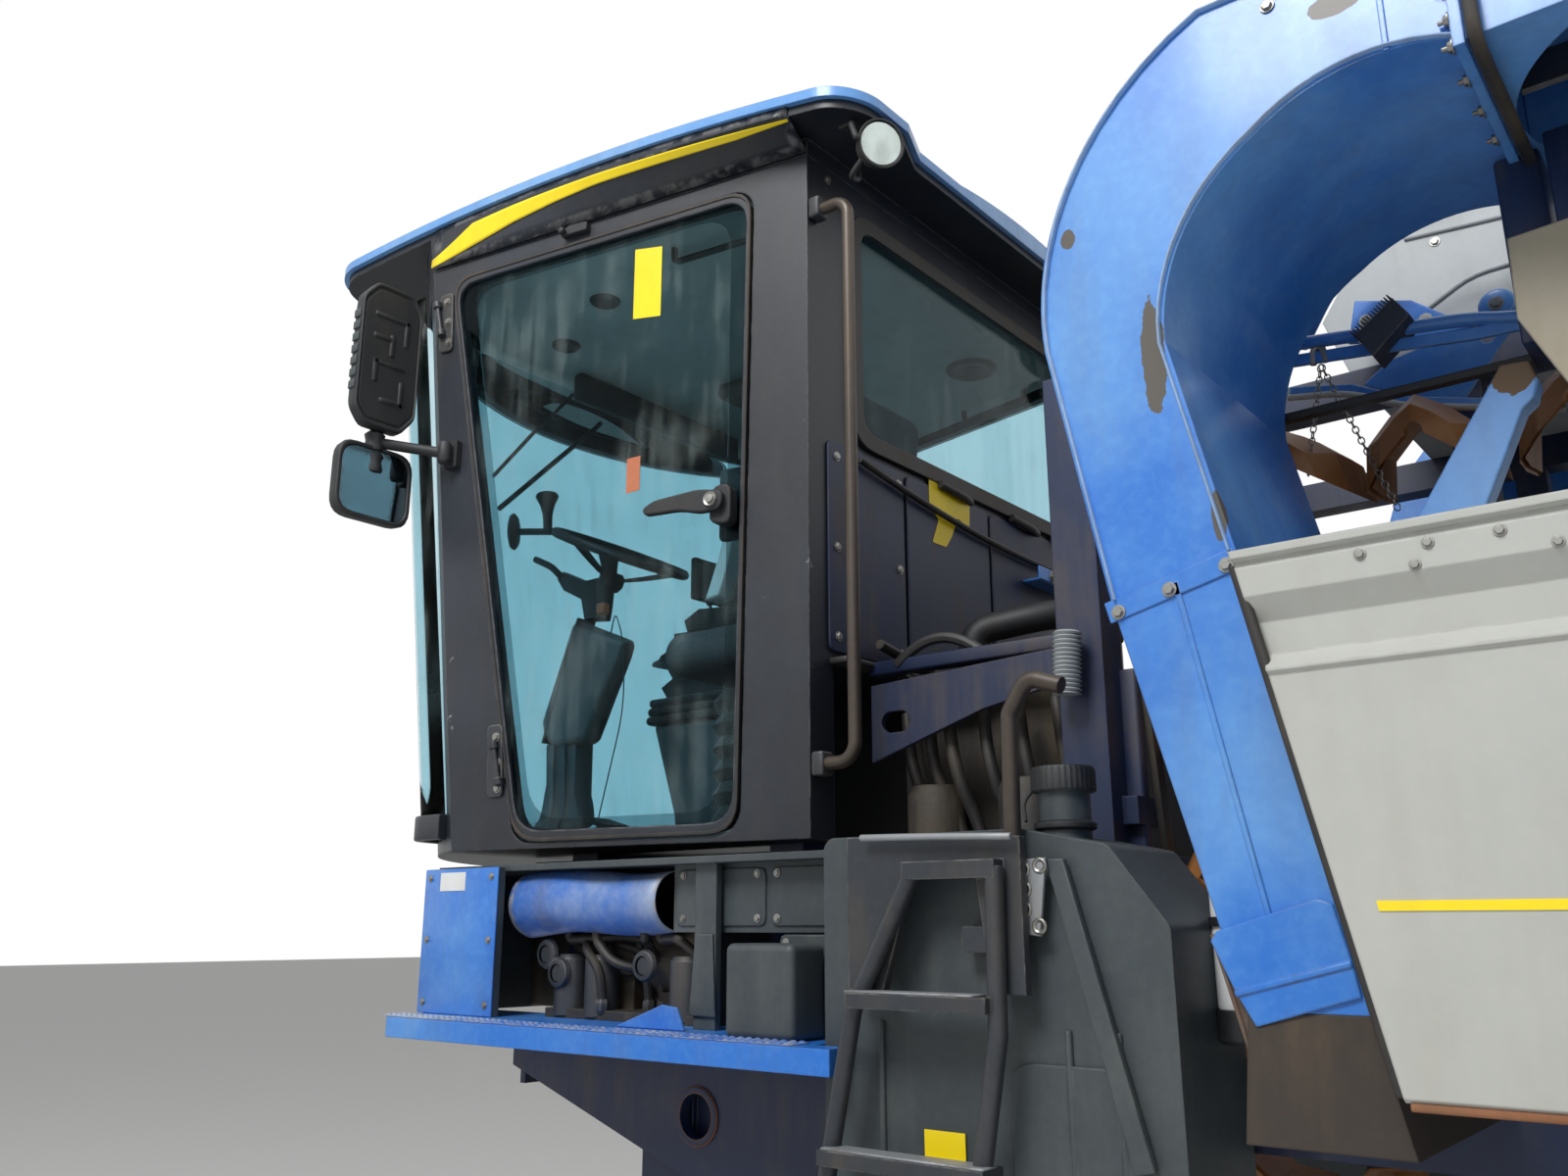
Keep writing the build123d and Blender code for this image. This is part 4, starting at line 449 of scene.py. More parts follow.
def group_tree(name: str, inputs: dict[str, tuple[str, object]], outputs: dict[str, str]) -> tuple:
    """Starts a shader node group with named sockets.

    Args:
        name: the group's name.
        inputs: socket name to its kind and default value.
        outputs: socket name to its kind.

    Returns:
        The group, its Tree, its input node and its output node.
    """
    group = bpy.data.node_groups.new(name, "ShaderNodeTree")
    for label, (kind, value) in inputs.items():
        socket = group.interface.new_socket(name=label, in_out="INPUT", socket_type="NodeSocket" + kind)
        if value is not None:
            socket.default_value = value
    for label, kind in outputs.items():
        group.interface.new_socket(name=label, in_out="OUTPUT", socket_type="NodeSocket" + kind)
    tree = Tree(group)
    return group, tree, tree.add("NodeGroupInput"), tree.add("NodeGroupOutput")


@cache
def weathering() -> bpy.types.NodeTree:
    """Group: sun fading, chips down to bare metal, and dirt that runs downwards over a paint colour."""
    group, tree, given, out = group_tree(
        "weathering",
        {"Vector": ("Vector", None), "Paint": ("Color", (0.5, 0.5, 0.5, 1)),
         "Faded": ("Color", (0.6, 0.6, 0.6, 1)), "Bare": ("Color", (0.2, 0.2, 0.2, 1)),
         "Dirt": ("Color", (0.2, 0.17, 0.13, 1)), "Fading": ("Float", 0.4), "Chips": ("Float", 0.2),
         "Dirtiness": ("Float", 0.3), "Scale": ("Float", 1.0)},
        {"Color": "Color", "Wear": "Float", "Grime": "Float", "Height": "Float"})
    scaled = tree.add("VectorMath", {"operation": "SCALE"}, i0=given.outputs["Vector"],
                      Scale=given.outputs["Scale"])
    place = scaled.outputs[0]
    broad = tree.noise(place, 1.6, 5, 0.6)
    fading = tree.math("MULTIPLY", tree.step(broad, 0.38, 0.68), given.outputs["Fading"])
    fine = tree.noise(place, 60, 3, 0.6)
    mottled = tree.math("MULTIPLY", tree.step(fine, 0.4, 0.7), 0.12)
    colour = tree.mix(tree.math("ADD", fading, mottled), given.outputs["Paint"], given.outputs["Faded"])
    drips = tree.noise(tree.stretched(place, (7, 7, 0.9)), 2.2, 5, 0.62)
    cloud = tree.noise(place, 3.1, 6, 0.65)
    grime = tree.math("MULTIPLY", tree.step(tree.math("MULTIPLY", drips, cloud), 0.2, 0.42),
                      given.outputs["Dirtiness"])
    colour = tree.mix(grime, colour, given.outputs["Dirt"])
    spots = tree.noise(place, 13, 9, 0.72)
    limit = tree.math("SUBTRACT", 0.8, tree.math("MULTIPLY", given.outputs["Chips"], 0.28))
    chips = tree.step(spots, limit, tree.math("ADD", limit, 0.02))
    colour = tree.mix(chips, colour, given.outputs["Bare"])
    height = tree.math("SUBTRACT", tree.math("MULTIPLY", fine, 0.15), chips)
    for name, value in (("Color", colour), ("Wear", chips), ("Grime", grime), ("Height", height)):
        tree.tree.links.new(value, out.inputs[name])
    return group


@cache
def rubbed_edges() -> bpy.types.NodeTree:
    """Group: how far the surface normal leaves its rounded one, which marks the edges that get rubbed."""
    group, tree, given, out = group_tree(
        "rubbed_edges", {"Vector": ("Vector", None), "Width": ("Float", 0.006), "Amount": ("Float", 0.5)},
        {"Edge": "Float", "Normal": "Vector"})
    soft = tree.add("Bevel", {"samples": 4}, Radius=given.outputs["Width"]).outputs["Normal"]
    plain = tree.add("NewGeometry").outputs["True Normal"]
    match = tree.add("VectorMath", {"operation": "DOT_PRODUCT"}, i0=soft, i1=plain).outputs["Value"]
    edge = tree.step(match, 0.995, 0.93)
    broken = tree.step(tree.noise(given.outputs["Vector"], 22, 6, 0.7), 0.42, 0.6)
    tree.tree.links.new(tree.math("MULTIPLY", tree.math("MULTIPLY", edge, broken), given.outputs["Amount"]),
                        out.inputs["Edge"])
    tree.tree.links.new(soft, out.inputs["Normal"])
    return group


@cache
def bare_spot() -> bpy.types.NodeTree:
    """Group: a ragged patch round one place, 1 inside and 0 outside."""
    group, tree, given, out = group_tree(
        "bare_spot", {"Vector": ("Vector", None), "Middle": ("Vector", None),
                      "Stretch": ("Vector", (1, 1, 1)), "Radius": ("Float", 0.05)}, {"Mask": "Float"})
    away = tree.add("VectorMath", {"operation": "SUBTRACT"}, i0=given.outputs["Vector"],
                    i1=given.outputs["Middle"])
    drawn = tree.add("VectorMath", {"operation": "MULTIPLY"}, i0=away.outputs[0],
                     i1=given.outputs["Stretch"])
    length = tree.add("VectorMath", {"operation": "LENGTH"}, i0=drawn.outputs[0]).outputs["Value"]
    ragged = tree.math("MULTIPLY", tree.noise(given.outputs["Vector"], 16, 7, 0.7), given.outputs["Radius"])
    edge = tree.math("ADD", tree.math("MULTIPLY", given.outputs["Radius"], 0.45), ragged)
    mask = tree.step(length, edge, tree.math("MULTIPLY", edge, 0.96))
    tree.tree.links.new(mask, out.inputs["Mask"])
    return group


class Pattern(Enum):
    """Relief that a finish may carry."""

    NONE = "none"
    GRAIN = "grain"
    WEAVE = "weave"
    CAST = "cast"


@dataclass(frozen=True)
class Finish:
    """A painted, moulded or bare surface with its ageing."""

    name: str
    colour: tuple
    faded: tuple
    bare: tuple = srgb(92, 84, 76)
    dirt: tuple = srgb(96, 84, 66)
    fading: float = 0.5
    chips: float = 0.15
    dirtiness: float = 0.25
    scale: float = 1.0
    roughness: float = 0.4
    metallic: float = 0.0
    coat: float = 0.0
    bevel: float = 0.004
    rub: float = 0.6
    pattern: Pattern = Pattern.NONE
    relief: float = 0.25
    spots: tuple = ()

    def material(self) -> bpy.types.Material:
        """The finish's material, made once."""
        return made_material(self)


@cache
def made_material(finish: Finish) -> bpy.types.Material:
    """Builds the nodes of a Finish: weathering, rubbed edges, bare spots and relief into one Principled BSDF.

    Args:
        finish: the finish's values.

    Returns:
        The material.
    """
    material = bpy.data.materials.new(finish.name)
    material.use_nodes = True
    material.node_tree.nodes.clear()
    tree = Tree(material.node_tree)
    place = tree.add("TexCoord").outputs["Object"]
    aged = tree.add("Group", {"node_tree": weathering()}, Vector=place, Paint=finish.colour,
                    Faded=finish.faded, Bare=finish.bare, Dirt=finish.dirt, Fading=finish.fading,
                    Chips=finish.chips, Dirtiness=finish.dirtiness, Scale=finish.scale)
    edges = tree.add("Group", {"node_tree": rubbed_edges()}, Vector=place, Width=finish.bevel,
                     Amount=finish.rub)
    colour = tree.mix(edges.outputs["Edge"], aged.outputs["Color"], finish.bare)
    wear = tree.math("MAXIMUM", aged.outputs["Wear"], edges.outputs["Edge"])
    for middle, stretch, radius in finish.spots:
        spot = tree.add("Group", {"node_tree": bare_spot()}, Vector=place, Middle=middle, Stretch=stretch,
                        Radius=radius).outputs["Mask"]
        colour = tree.mix(spot, colour, finish.bare)
        wear = tree.math("MAXIMUM", wear, spot)
    rough = tree.add("MapRange", None, Value=tree.math("MAXIMUM", wear, aged.outputs["Grime"]),
                     To_Min=finish.roughness, To_Max=min(1.0, finish.roughness + 0.35)).outputs["Result"]
    height = relief(tree, place, finish.pattern, aged.outputs["Height"])
    bump = tree.add("Bump", None, Strength=finish.relief, Distance=0.002, Height=height,
                    Normal=edges.outputs["Normal"]).outputs["Normal"]
    shader = tree.add("BsdfPrincipled", None, Base_Color=colour, Roughness=rough, Metallic=finish.metallic,
                      Coat_Weight=finish.coat, Coat_Roughness=0.12, Normal=bump)
    output = tree.add("OutputMaterial")
    material.node_tree.links.new(shader.outputs[0], output.inputs["Surface"])
    material.diffuse_color = finish.colour
    return material


def relief(tree: Tree, place: bpy.types.NodeSocket, pattern: Pattern, base: bpy.types.NodeSocket) -> object:
    """Height of a pattern laid over the ageing's own height.

    Args:
        tree: the material's tree.
        place: the Object coordinates.
        pattern: which relief.
        base: height that is already there.

    Returns:
        The socket with the joint height.
    """
    if pattern is Pattern.NONE:
        return base
    if pattern is Pattern.GRAIN:
        own = tree.noise(place, 420, 2, 0.5)
    elif pattern is Pattern.CAST:
        own = tree.noise(place, 120, 4, 0.6)
    else:
        warp = tree.add("TexWave", {"bands_direction": "X"}, Vector=place, Scale=160.0).outputs["Fac"]
        weft = tree.add("TexWave", {"bands_direction": "Y"}, Vector=place, Scale=160.0).outputs["Fac"]
        own = tree.math("MULTIPLY", warp, weft)
    return tree.math("ADD", base, own)


@dataclass(frozen=True)
class Pane:
    """Tinted glass with a film of dust."""

    name: str
    tint: tuple
    dust: tuple = srgb(200, 205, 200)
    dustiness: float = 0.16

    def material(self) -> bpy.types.Material:
        """The glass's material, made once."""
        return made_glass(self)


@cache
def made_glass(pane: Pane) -> bpy.types.Material:
    """Builds thin glass: a see-through tint with gloss, and streaks of dust that catch light.

    Args:
        pane: the glass's values.

    Returns:
        The material.
    """
    material = bpy.data.materials.new(pane.name)
    material.use_nodes = True
    material.node_tree.nodes.clear()
    tree = Tree(material.node_tree)
    place = tree.add("TexCoord").outputs["Object"]
    streaks = tree.noise(tree.stretched(place, (9, 9, 0.8)), 3.0, 5, 0.6)
    cloud = tree.noise(place, 5.0, 5, 0.6)
    film = tree.math("MULTIPLY", tree.step(tree.math("MULTIPLY", streaks, cloud), 0.22, 0.42),
                     pane.dustiness)
    clear = tree.add("BsdfPrincipled", None, Base_Color=pane.tint, Roughness=0.0, Transmission_Weight=1.0,
                     IOR=1.12)
    dusty = tree.add("BsdfPrincipled", None, Base_Color=pane.dust, Roughness=0.8)
    lit = tree.add("MixShader", None, i0=film, i1=clear.outputs[0], i2=dusty.outputs[0])
    let_through = tree.add("BsdfTransparent", None, Color=pane.tint)
    shader = tree.add("MixShader", None, i0=tree.add("LightPath").outputs["Is Shadow Ray"],
                      i1=lit.outputs[0], i2=let_through.outputs[0])
    output = tree.add("OutputMaterial")
    material.node_tree.links.new(shader.outputs[0], output.inputs["Surface"])
    material.diffuse_color = pane.tint
    return material


BRIGHT_BLUE = Finish("bright_blue_paint", srgb(34, 112, 204), srgb(112, 170, 228), bare=srgb(84, 80, 74),
                     fading=0.65, chips=0.12, dirtiness=0.16, roughness=0.34, coat=0.25, rub=0.5,
                     spots=(((0.107, 1.18, 2.378), (2.6, 0.5, 0.55), 0.05),
                            ((0.035, 1.18, 2.13), (1, 0.6, 0.28), 0.011),
                            ((-0.19, 1.18, 2.82), (0.8, 0.6, 1.4), 0.03),
                            ((0.227, 1.18, 2.613), (1, 0.6, 0.7), 0.012)))
# Pale lip blue: partly worn, faded paint, partly a painted highlight along the flange's lit edge.
PALE_EDGE = Finish("worn_edge_and_painted_highlight", srgb(132, 172, 220), srgb(176, 198, 224), bare=srgb(120, 112, 104),
                   chips=0.3, dirtiness=0.2, roughness=0.4, rub=0.5)
SHEET_BLUE = Finish("worn_blue_sheet", srgb(48, 106, 190), srgb(176, 190, 206), bare=srgb(170, 170, 168),
                    fading=1.0, chips=0.5, dirtiness=0.35, roughness=0.35, rub=0.8)
CHUTE_BROWN = Finish("worn_brown_sheet", srgb(78, 66, 56), srgb(112, 98, 84), bare=srgb(96, 66, 48),
                     fading=0.8, chips=0.45, dirtiness=0.45, dirt=srgb(86, 70, 58), roughness=0.5, rub=0.5)
GUARD_BEIGE = Finish("beige_guard_paint", srgb(158, 150, 130), srgb(176, 168, 148), chips=0.15,
                     dirtiness=0.35, dirt=srgb(150, 128, 96), roughness=0.5)
RUST = Finish("rusty_steel", srgb(132, 82, 52), srgb(158, 110, 76), bare=srgb(84, 54, 38), fading=0.8,
              chips=0.4, dirtiness=0.4, roughness=0.75, rub=0.3, pattern=Pattern.CAST, relief=0.3)
LEG_BLUE = Finish("leg_blue_paint", srgb(76, 140, 214), srgb(130, 178, 228), bare=srgb(104, 84, 62),
                  fading=0.6, chips=0.25, dirtiness=0.15, roughness=0.4,
                  spots=(((-0.275, 0.8, 2.385), (0.9, 0.3, 0.7), 0.03),))
PALE_STEEL = Finish("pale_sheet_steel", srgb(146, 150, 154), srgb(176, 178, 180), bare=srgb(96, 88, 80),
                    chips=0.3, dirtiness=0.35, roughness=0.4, metallic=0.3)
NAVY = Finish("navy_frame_paint", srgb(9, 26, 58), srgb(20, 44, 84), bare=srgb(70, 64, 60), chips=0.2,
              dirtiness=0.4, roughness=0.45, rub=0.5)
ROOF_BLUE = Finish("roof_blue_paint", srgb(92, 150, 214), srgb(150, 190, 230), fading=0.7, chips=0.05,
                   dirtiness=0.2, roughness=0.35, coat=0.2, rub=0.3)
CAB_BLACK = Finish("cab_black_paint", srgb(22, 27, 35), srgb(50, 56, 66), bare=srgb(128, 128, 128),
                   fading=0.5, chips=0.42, dirtiness=0.08, roughness=0.42, rub=0.55, bevel=0.005)
SOOT_PLASTIC = Finish("black_moulding", srgb(19, 22, 26), srgb(50, 54, 58), bare=srgb(90, 90, 90),
                      fading=0.35, chips=0.0, dirtiness=0.12, roughness=0.55, rub=0.25,
                      pattern=Pattern.GRAIN, relief=0.15)
GREY_PLASTIC = Finish("grey_moulding", srgb(52, 60, 64), srgb(84, 92, 94), bare=srgb(120, 122, 120),
                      fading=0.5, chips=0.02, dirtiness=0.2, dirt=srgb(112, 114, 110), roughness=0.5,
                      rub=0.3, pattern=Pattern.GRAIN, relief=0.12)
HOOD_GREY = Finish("hood_grey_moulding", srgb(166, 172, 174), srgb(190, 194, 192), fading=0.4, chips=0.0,
                   dirtiness=0.3, roughness=0.45, rub=0.1)
HOPPER_PAINT = Finish("hopper_paint", srgb(176, 178, 173), srgb(192, 192, 186), bare=srgb(120, 112, 104),
                      fading=0.5, chips=0.1, dirtiness=0.14, dirt=srgb(140, 126, 104), roughness=0.45,
                      rub=0.35)
STEEL_WORN = Finish("worn_tube_steel", srgb(66, 58, 52), srgb(96, 86, 78), bare=srgb(140, 130, 122),
                    fading=0.8, chips=0.45, dirtiness=0.3, roughness=0.4, metallic=0.35, rub=0.4)
DARK_STEEL = Finish("dark_steel", srgb(46, 50, 56), srgb(74, 78, 84), bare=srgb(150, 148, 144), chips=0.3,
                    dirtiness=0.35, roughness=0.45, metallic=0.2, rub=0.6)
IRON = Finish("greasy_iron", srgb(44, 44, 44), srgb(74, 70, 64), chips=0.1, dirtiness=0.6, roughness=0.6,
              metallic=0.3, pattern=Pattern.CAST, relief=0.3)
TYRE_RUBBER = Finish("tyre_rubber", srgb(34, 33, 32), srgb(62, 59, 55), dirt=srgb(122, 104, 80), chips=0.0,
                     dirtiness=0.6, roughness=0.8, rub=0.0, pattern=Pattern.CAST, relief=0.2)
RIM_PAINT = Finish("rim_paint", srgb(186, 184, 176), srgb(204, 202, 196), chips=0.2, dirtiness=0.5,
                   roughness=0.45)
BASKET_BROWN = Finish("basket_moulding", srgb(150, 98, 52), srgb(184, 132, 80), dirt=srgb(70, 46, 30),
                      fading=0.6, chips=0.0, dirtiness=0.6, roughness=0.42, rub=0.1)
SPOUT_RUBBER = Finish("spout_rubber", srgb(46, 38, 32), srgb(70, 58, 48), chips=0.0, dirtiness=0.6,
                      roughness=0.7, rub=0.1)
CHROME = Finish("rod_chrome", srgb(200, 202, 204), srgb(190, 192, 194), chips=0.0, dirtiness=0.1,
                roughness=0.12, metallic=1.0, rub=0.0)
ZINC = Finish("zinc_fasteners", srgb(150, 150, 146), srgb(126, 124, 120), chips=0.1, dirtiness=0.4,
              roughness=0.38, metallic=0.8, rub=0.0, bevel=0.001)
YELLOW = Finish("yellow_film", srgb(252, 222, 8), srgb(250, 230, 70), bare=srgb(60, 58, 52), fading=0.3,
                chips=0.03, dirtiness=0.1, roughness=0.4, rub=0.0, bevel=0.0005)
ORANGE = Finish("orange_film", srgb(186, 104, 70), srgb(216, 150, 110), fading=0.4, chips=0.0,
                dirtiness=0.1, roughness=0.5, rub=0.0, bevel=0.0005)
WHITE_FILM = Finish("white_film", srgb(226, 228, 228), srgb(206, 208, 208), fading=0.3, chips=0.0,
                    dirtiness=0.2, roughness=0.5, rub=0.0, bevel=0.0005)
HEADLINER = Finish("headliner_cloth", srgb(186, 190, 186), srgb(200, 202, 198), fading=0.3, chips=0.0,
                   dirtiness=0.15, roughness=0.9, rub=0.0, pattern=Pattern.WEAVE, relief=0.1)
SEAT_CLOTH = Finish("seat_cloth", srgb(38, 40, 44), srgb(62, 64, 68), chips=0.0, dirtiness=0.3,
                    roughness=0.92, rub=0.0, pattern=Pattern.WEAVE, relief=0.3)
HOSE_RUBBER = Finish("hose_rubber", srgb(26, 26, 28), srgb(50, 48, 46), chips=0.0, dirtiness=0.4,
                     roughness=0.55, rub=0.0)
CAB_GLASS = Pane("cab_glass", srgb(198, 225, 232), dustiness=0.06)
FRIT_GLASS = Pane("shaded_glass_border", srgb(172, 190, 194), dustiness=0.03)
LENS_GLASS = Pane("lens_glass", srgb(236, 240, 238), dustiness=0.3)
MIRROR_GLASS = Finish("mirror_glass", srgb(120, 140, 150), srgb(110, 130, 140), chips=0.0, dirtiness=0.12,
                      roughness=0.04, metallic=1.0, rub=0.0, bevel=0.0005)
REFLECTOR = Finish("lamp_reflector", srgb(186, 190, 190), srgb(172, 176, 176), chips=0.0, dirtiness=0.1,
                   roughness=0.15, metallic=0.9, rub=0.0, bevel=0.0005)

NODE_FINISHES = {name: finish for finish, names in (
    (NAVY, "chassis_rails cab_arches main_arches front_legs rear_legs knuckle_left "
           "knuckle_right picking_frame cylinder_barrel_left cylinder_barrel_right"),
    (BRIGHT_BLUE, "arch_duct_left arch_duct_right fan_housings platforms curled_cover"),
    (GREY_PLASTIC, "lower_panels fuel_tanks control_box cooler"),
    (CAB_BLACK, "cab_frame cab_fascia door_frame"),
    (ROOF_BLUE, "cab_roof"),
    (CAB_GLASS, "cab_glazing door_glass"),
    (SEAT_CLOTH, "seat"),
    (SOOT_PLASTIC, "cab_controls mirrors work_lamps picking_rods"),
    (DARK_STEEL, "ladder fan_rotor_left fan_rotor_right"),
    (STEEL_WORN, "handrails"),
    (IRON, "hydraulic_bay engine_block exhaust"),
    (SHEET_BLUE, "upper_conveyors"),
    (HOOD_GREY, "top_hood"),
    (HOPPER_PAINT, "hopper_left hopper_right"),
    (SPOUT_RUBBER, "duct_spouts"),
    (BASKET_BROWN, "basket_loop_left basket_loop_right"),
    (TYRE_RUBBER, "tyre_front_left tyre_front_right tyre_rear_left tyre_rear_right"),
    (RIM_PAINT, "rim_front_left rim_front_right rim_rear_left rim_rear_right"),
    (CHROME, "cylinder_rod_left cylinder_rod_right"),
) for name in names.split()}


def piece(name: str, skin: Skin, finish: Finish | Pane, body: str = "frame",
          smooth: float = 40.0, bevel: float = 0.0, thickness: float = 0.0, subdivide: int = 0,
          replaces: Sequence[str] = ()) -> bpy.types.Object:
    """Turns a surface into a finished piece that rides on a body.

    Args:
        name: the piece's name.
        skin: its surface.
        finish: its finish.
        body: the body that it moves with.
        smooth: angle in degrees over which an edge stays sharp.
        bevel: width of a Bevel modifier, or 0.
        thickness: thickness of a Solidify modifier, or 0.
        subdivide: levels of a Subdivision Surface modifier, or 0.
        replaces: CAD nodes that the piece stands for.

    Returns:
        The object.
    """
    mesh = bpy.data.meshes.new(name)
    mesh.from_pydata(skin.points.tolist(), [], skin.faces)
    edit = bmesh.new()
    edit.from_mesh(mesh)
    bmesh.ops.remove_doubles(edit, verts=edit.verts, dist=1e-5)
    bmesh.ops.dissolve_degenerate(edit, edges=edit.edges, dist=1e-6)
    bmesh.ops.recalc_face_normals(edit, faces=edit.faces)
    edit.to_mesh(mesh)
    edit.free()
    mesh.shade_smooth()
    mesh.set_sharp_from_angle(angle=radians(smooth))
    thing = bpy.data.objects.new(name, mesh)
    bpy.context.scene.collection.objects.link(thing)
    mesh.materials.append(finish.material())
    if thickness:
        solid = thing.modifiers.new("wall", "SOLIDIFY")
        solid.thickness = thickness
        solid.offset = 0.0
    if bevel:
        edge = thing.modifiers.new("edges", "BEVEL")
        edge.width = bevel
        edge.segments = 2
        edge.limit_method = "ANGLE"
        edge.angle_limit = radians(35)
        edge.harden_normals = False
    if subdivide:
        fine = thing.modifiers.new("surface", "SUBSURF")
        fine.levels = fine.render_levels = subdivide
    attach(thing, body)
    if replaces:
        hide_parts(*replaces)
    LOG.info("piece %s: %d faces, on %s", name, len(mesh.polygons), body)
    return thing


# The cab


@dataclass
class Cab:
    """The cab's trim, windows' borders, roof's cove and rear wall."""

    rear_x: float = 1.065
    rear_half: float = 0.762
    flare: float = radians(11)
    header: float = 3.33
    tray: float = 0.023
    # The stripe stays below the band's top, so black painted shade of the cove shows above it.
    stripe_low: tuple = (0.63, 0.56, 0.555, 0.56, 0.56, 0.5, 0.4, 0.22, 0.02)
    stripe_high: tuple = (0.68, 0.69, 0.705, 0.72, 0.735, 0.735, 0.73, 0.7, 0.2)

    def at(self, s: float | Array, z: float | Array, out: float | Array = 0.0) -> Array:
        """Place on the left side of the cab: s along it from the rear corner, z up, out from its plane."""
        s, z, out = np.broadcast_arrays(np.asarray(s, float), np.asarray(z, float), np.asarray(out, float))
        return np.stack([self.rear_x + s * cos(self.flare) - out * sin(self.flare),
                         self.rear_half + s * sin(self.flare) + out * cos(self.flare), z], -1)

    def sheet(self, outline: Array, low: float, high: float) -> Skin:
        """A flat piece between two distances out from the cab's side.

        Args:
            outline: its s, z corners.
            low, high: the two distances.

        Returns:
            The closed surface.
        """
        outline = np.asarray(outline, float)
        rings = np.stack([self.at(outline[:, 0], outline[:, 1], out) for out in (low, high)])
        return grid(rings, wrap_v=True, caps=True)

    def ring(self, outer: Array, inner: Array, low: float, high: float) -> Skin:
        """A flat frame between two outlines.

        Args:
            outer, inner: the outlines, with as many s, z points each.
            low, high: distances out from the cab's side.

        Returns:
            The closed surface.
        """
        loops = [self.at(line[:, 0], line[:, 1], out)
                 for line, out in ((outer, low), (outer, high), (inner, high), (inner, low))]
        return grid(np.stack(loops), wrap_u=True, wrap_v=True)

    def cove(self, s: Array, v: Array, lift: float = 0.0) -> Array:
        """Place on the band between the header and the roof's rim.

        Up to v = 0.75 the band runs out and up from the header's line to the tray's lower edge, in
        proportion to v; from there it stands upright to the rim, whose height follows the roof's arc.

        Args:
            s: distance along the side.
            v: 0 at the header and 1 at the rim.
            lift: distance out of the band.

        Returns:
            The places.
        """
        s, v = np.broadcast_arrays(np.asarray(s, float), np.asarray(v, float))
        x = self.rear_x + s * cos(self.flare)
        rim = -3.2363 + np.sqrt(6.695**2 - (x - 1.9935) ** 2)
        reach = (0.843 + 0.1064 * (x - 0.862) - self.rear_half - s * sin(self.flare)) / cos(self.flare)
        low, rise = np.clip(v / 0.75, 0, 1), np.clip((v - 0.75) / 0.25, 0, 1)
        run, climb = reach - 0.0085, rim - self.tray - self.header - 0.002
        size = np.hypot(run, climb)
        lean = np.where(v < 0.75, 1.0, 0.0)
        out = 0.0085 + low * run + lift * (lean * climb / size + 1 - lean)
        z = self.header + 0.002 + low * climb + rise * (self.tray - 0.001) - lift * lean * run / size
        return self.at(s, z, out)

    def build(self) -> None:
        """Builds every piece of the cab's outside and lining."""
        self.stripe()
        self.door_trim()
        self.hinges()
        self.labels()
        self.lining()
        self.windscreen()
        self.rear_wall()
        self.rail_clips()

    def stripe(self) -> None:
        """The black band under the roof's rim and the tapered yellow stripe on it, both sides. Below the
        stripe the band is the fascia's black paint; above it and over the tray's upright face its black is
        painted shade of the cove under the rim.
        """
        s = np.linspace(-0.004, 1.15, 30)[:, None]
        band = grid(self.cove(s, np.array([0, 0.25, 0.5, 0.75, 1.0])[None]))
        # Black band: fascia paint below the stripe, painted shade of the cove above it and on the tray's side
        # face.
        piece("fascia_cove_and_painted_shade", band.both(), CAB_BLACK, thickness=0.003)
        s = np.linspace(0.0, 1.15, 9)
        rows = (self.stripe_low, self.stripe_high)
        low, high = (np.interp(np.linspace(0, 1.15, 40), s, row) for row in rows)
        along, share = np.linspace(0, 1.15, 40)[:, None], np.linspace(0, 1, 7)[None]
        film = grid(self.cove(along, low[:, None] + (high - low)[:, None] * share, 0.0032))
        piece("fascia_stripe", film.both(), YELLOW, thickness=0.0012)

    def door_trim(self) -> None:
        """Rubber seal and black border of the door's glass, lock, grip, and the catch over the door."""
        corners = ((0.148, 3.28), (1.07, 3.28), (0.761, 1.79), (0.172, 1.79))
        outer = rounded(corners, 0.07, 6, closed=True)
        middle = outer.mean(0)
        step = unit(outer - middle)
        seal = self.ring(outer + step * 0.006, outer - step * 0.004, -0.004, 0.0065)
        piece("door_seal", seal, HOSE_RUBBER, "door", bevel=0.0015)
        shell = self.ring(outer - step * 0.001, outer - step * 0.02, -0.034, 0.004)
        piece("door_shell", shell, CAB_BLACK, "door", bevel=0.002, replaces=["door_frame"])
        pane = self.sheet(outer - step * 0.016, -0.0135, -0.0075)
        piece("door_pane", pane, CAB_GLASS, "door", replaces=["door_glass"])
        inner = rounded(((0.205, 3.236), (1.005, 3.236), (0.722, 1.834), (0.212, 1.834)), 0.09, 6,
                        closed=True)
        border = self.ring(outer - step * 0.018, inner, -0.0072, -0.0062)
        piece("door_glass_border", border, FRIT_GLASS, "door")
        grip = rounded([(0.185, 2.524), (0.25, 2.536), (0.37, 2.528), (0.398, 2.512), (0.392, 2.496),
                        (0.3, 2.494), (0.245, 2.48), (0.19, 2.482)], 0.016, 4, closed=True)
        boss = rounded([(0.176, 2.545), (0.222, 2.545), (0.232, 2.46), (0.176, 2.45)], 0.02, 4, closed=True)
        piece("door_grip", joined([self.sheet(grip, 0.036, 0.054), self.sheet(boss, 0.002, 0.036)]),
              SOOT_PLASTIC, "door", bevel=0.005)
        lock = lathe([(0, 0.012), (0.009, 0.011), (0.011, 0.006), (0.016, 0.008), (0.018, 0), (0, 0)],
                     self.at(0.214, 2.506, 0.053), (-sin(self.flare), cos(self.flare), 0), 24)
        piece("door_lock", lock, ZINC, "door")
        inside = rounded([(0.1735, 2.6), (0.235, 2.6), (0.235, 2.43), (0.1735, 2.43)], 0.012, 4, closed=True)
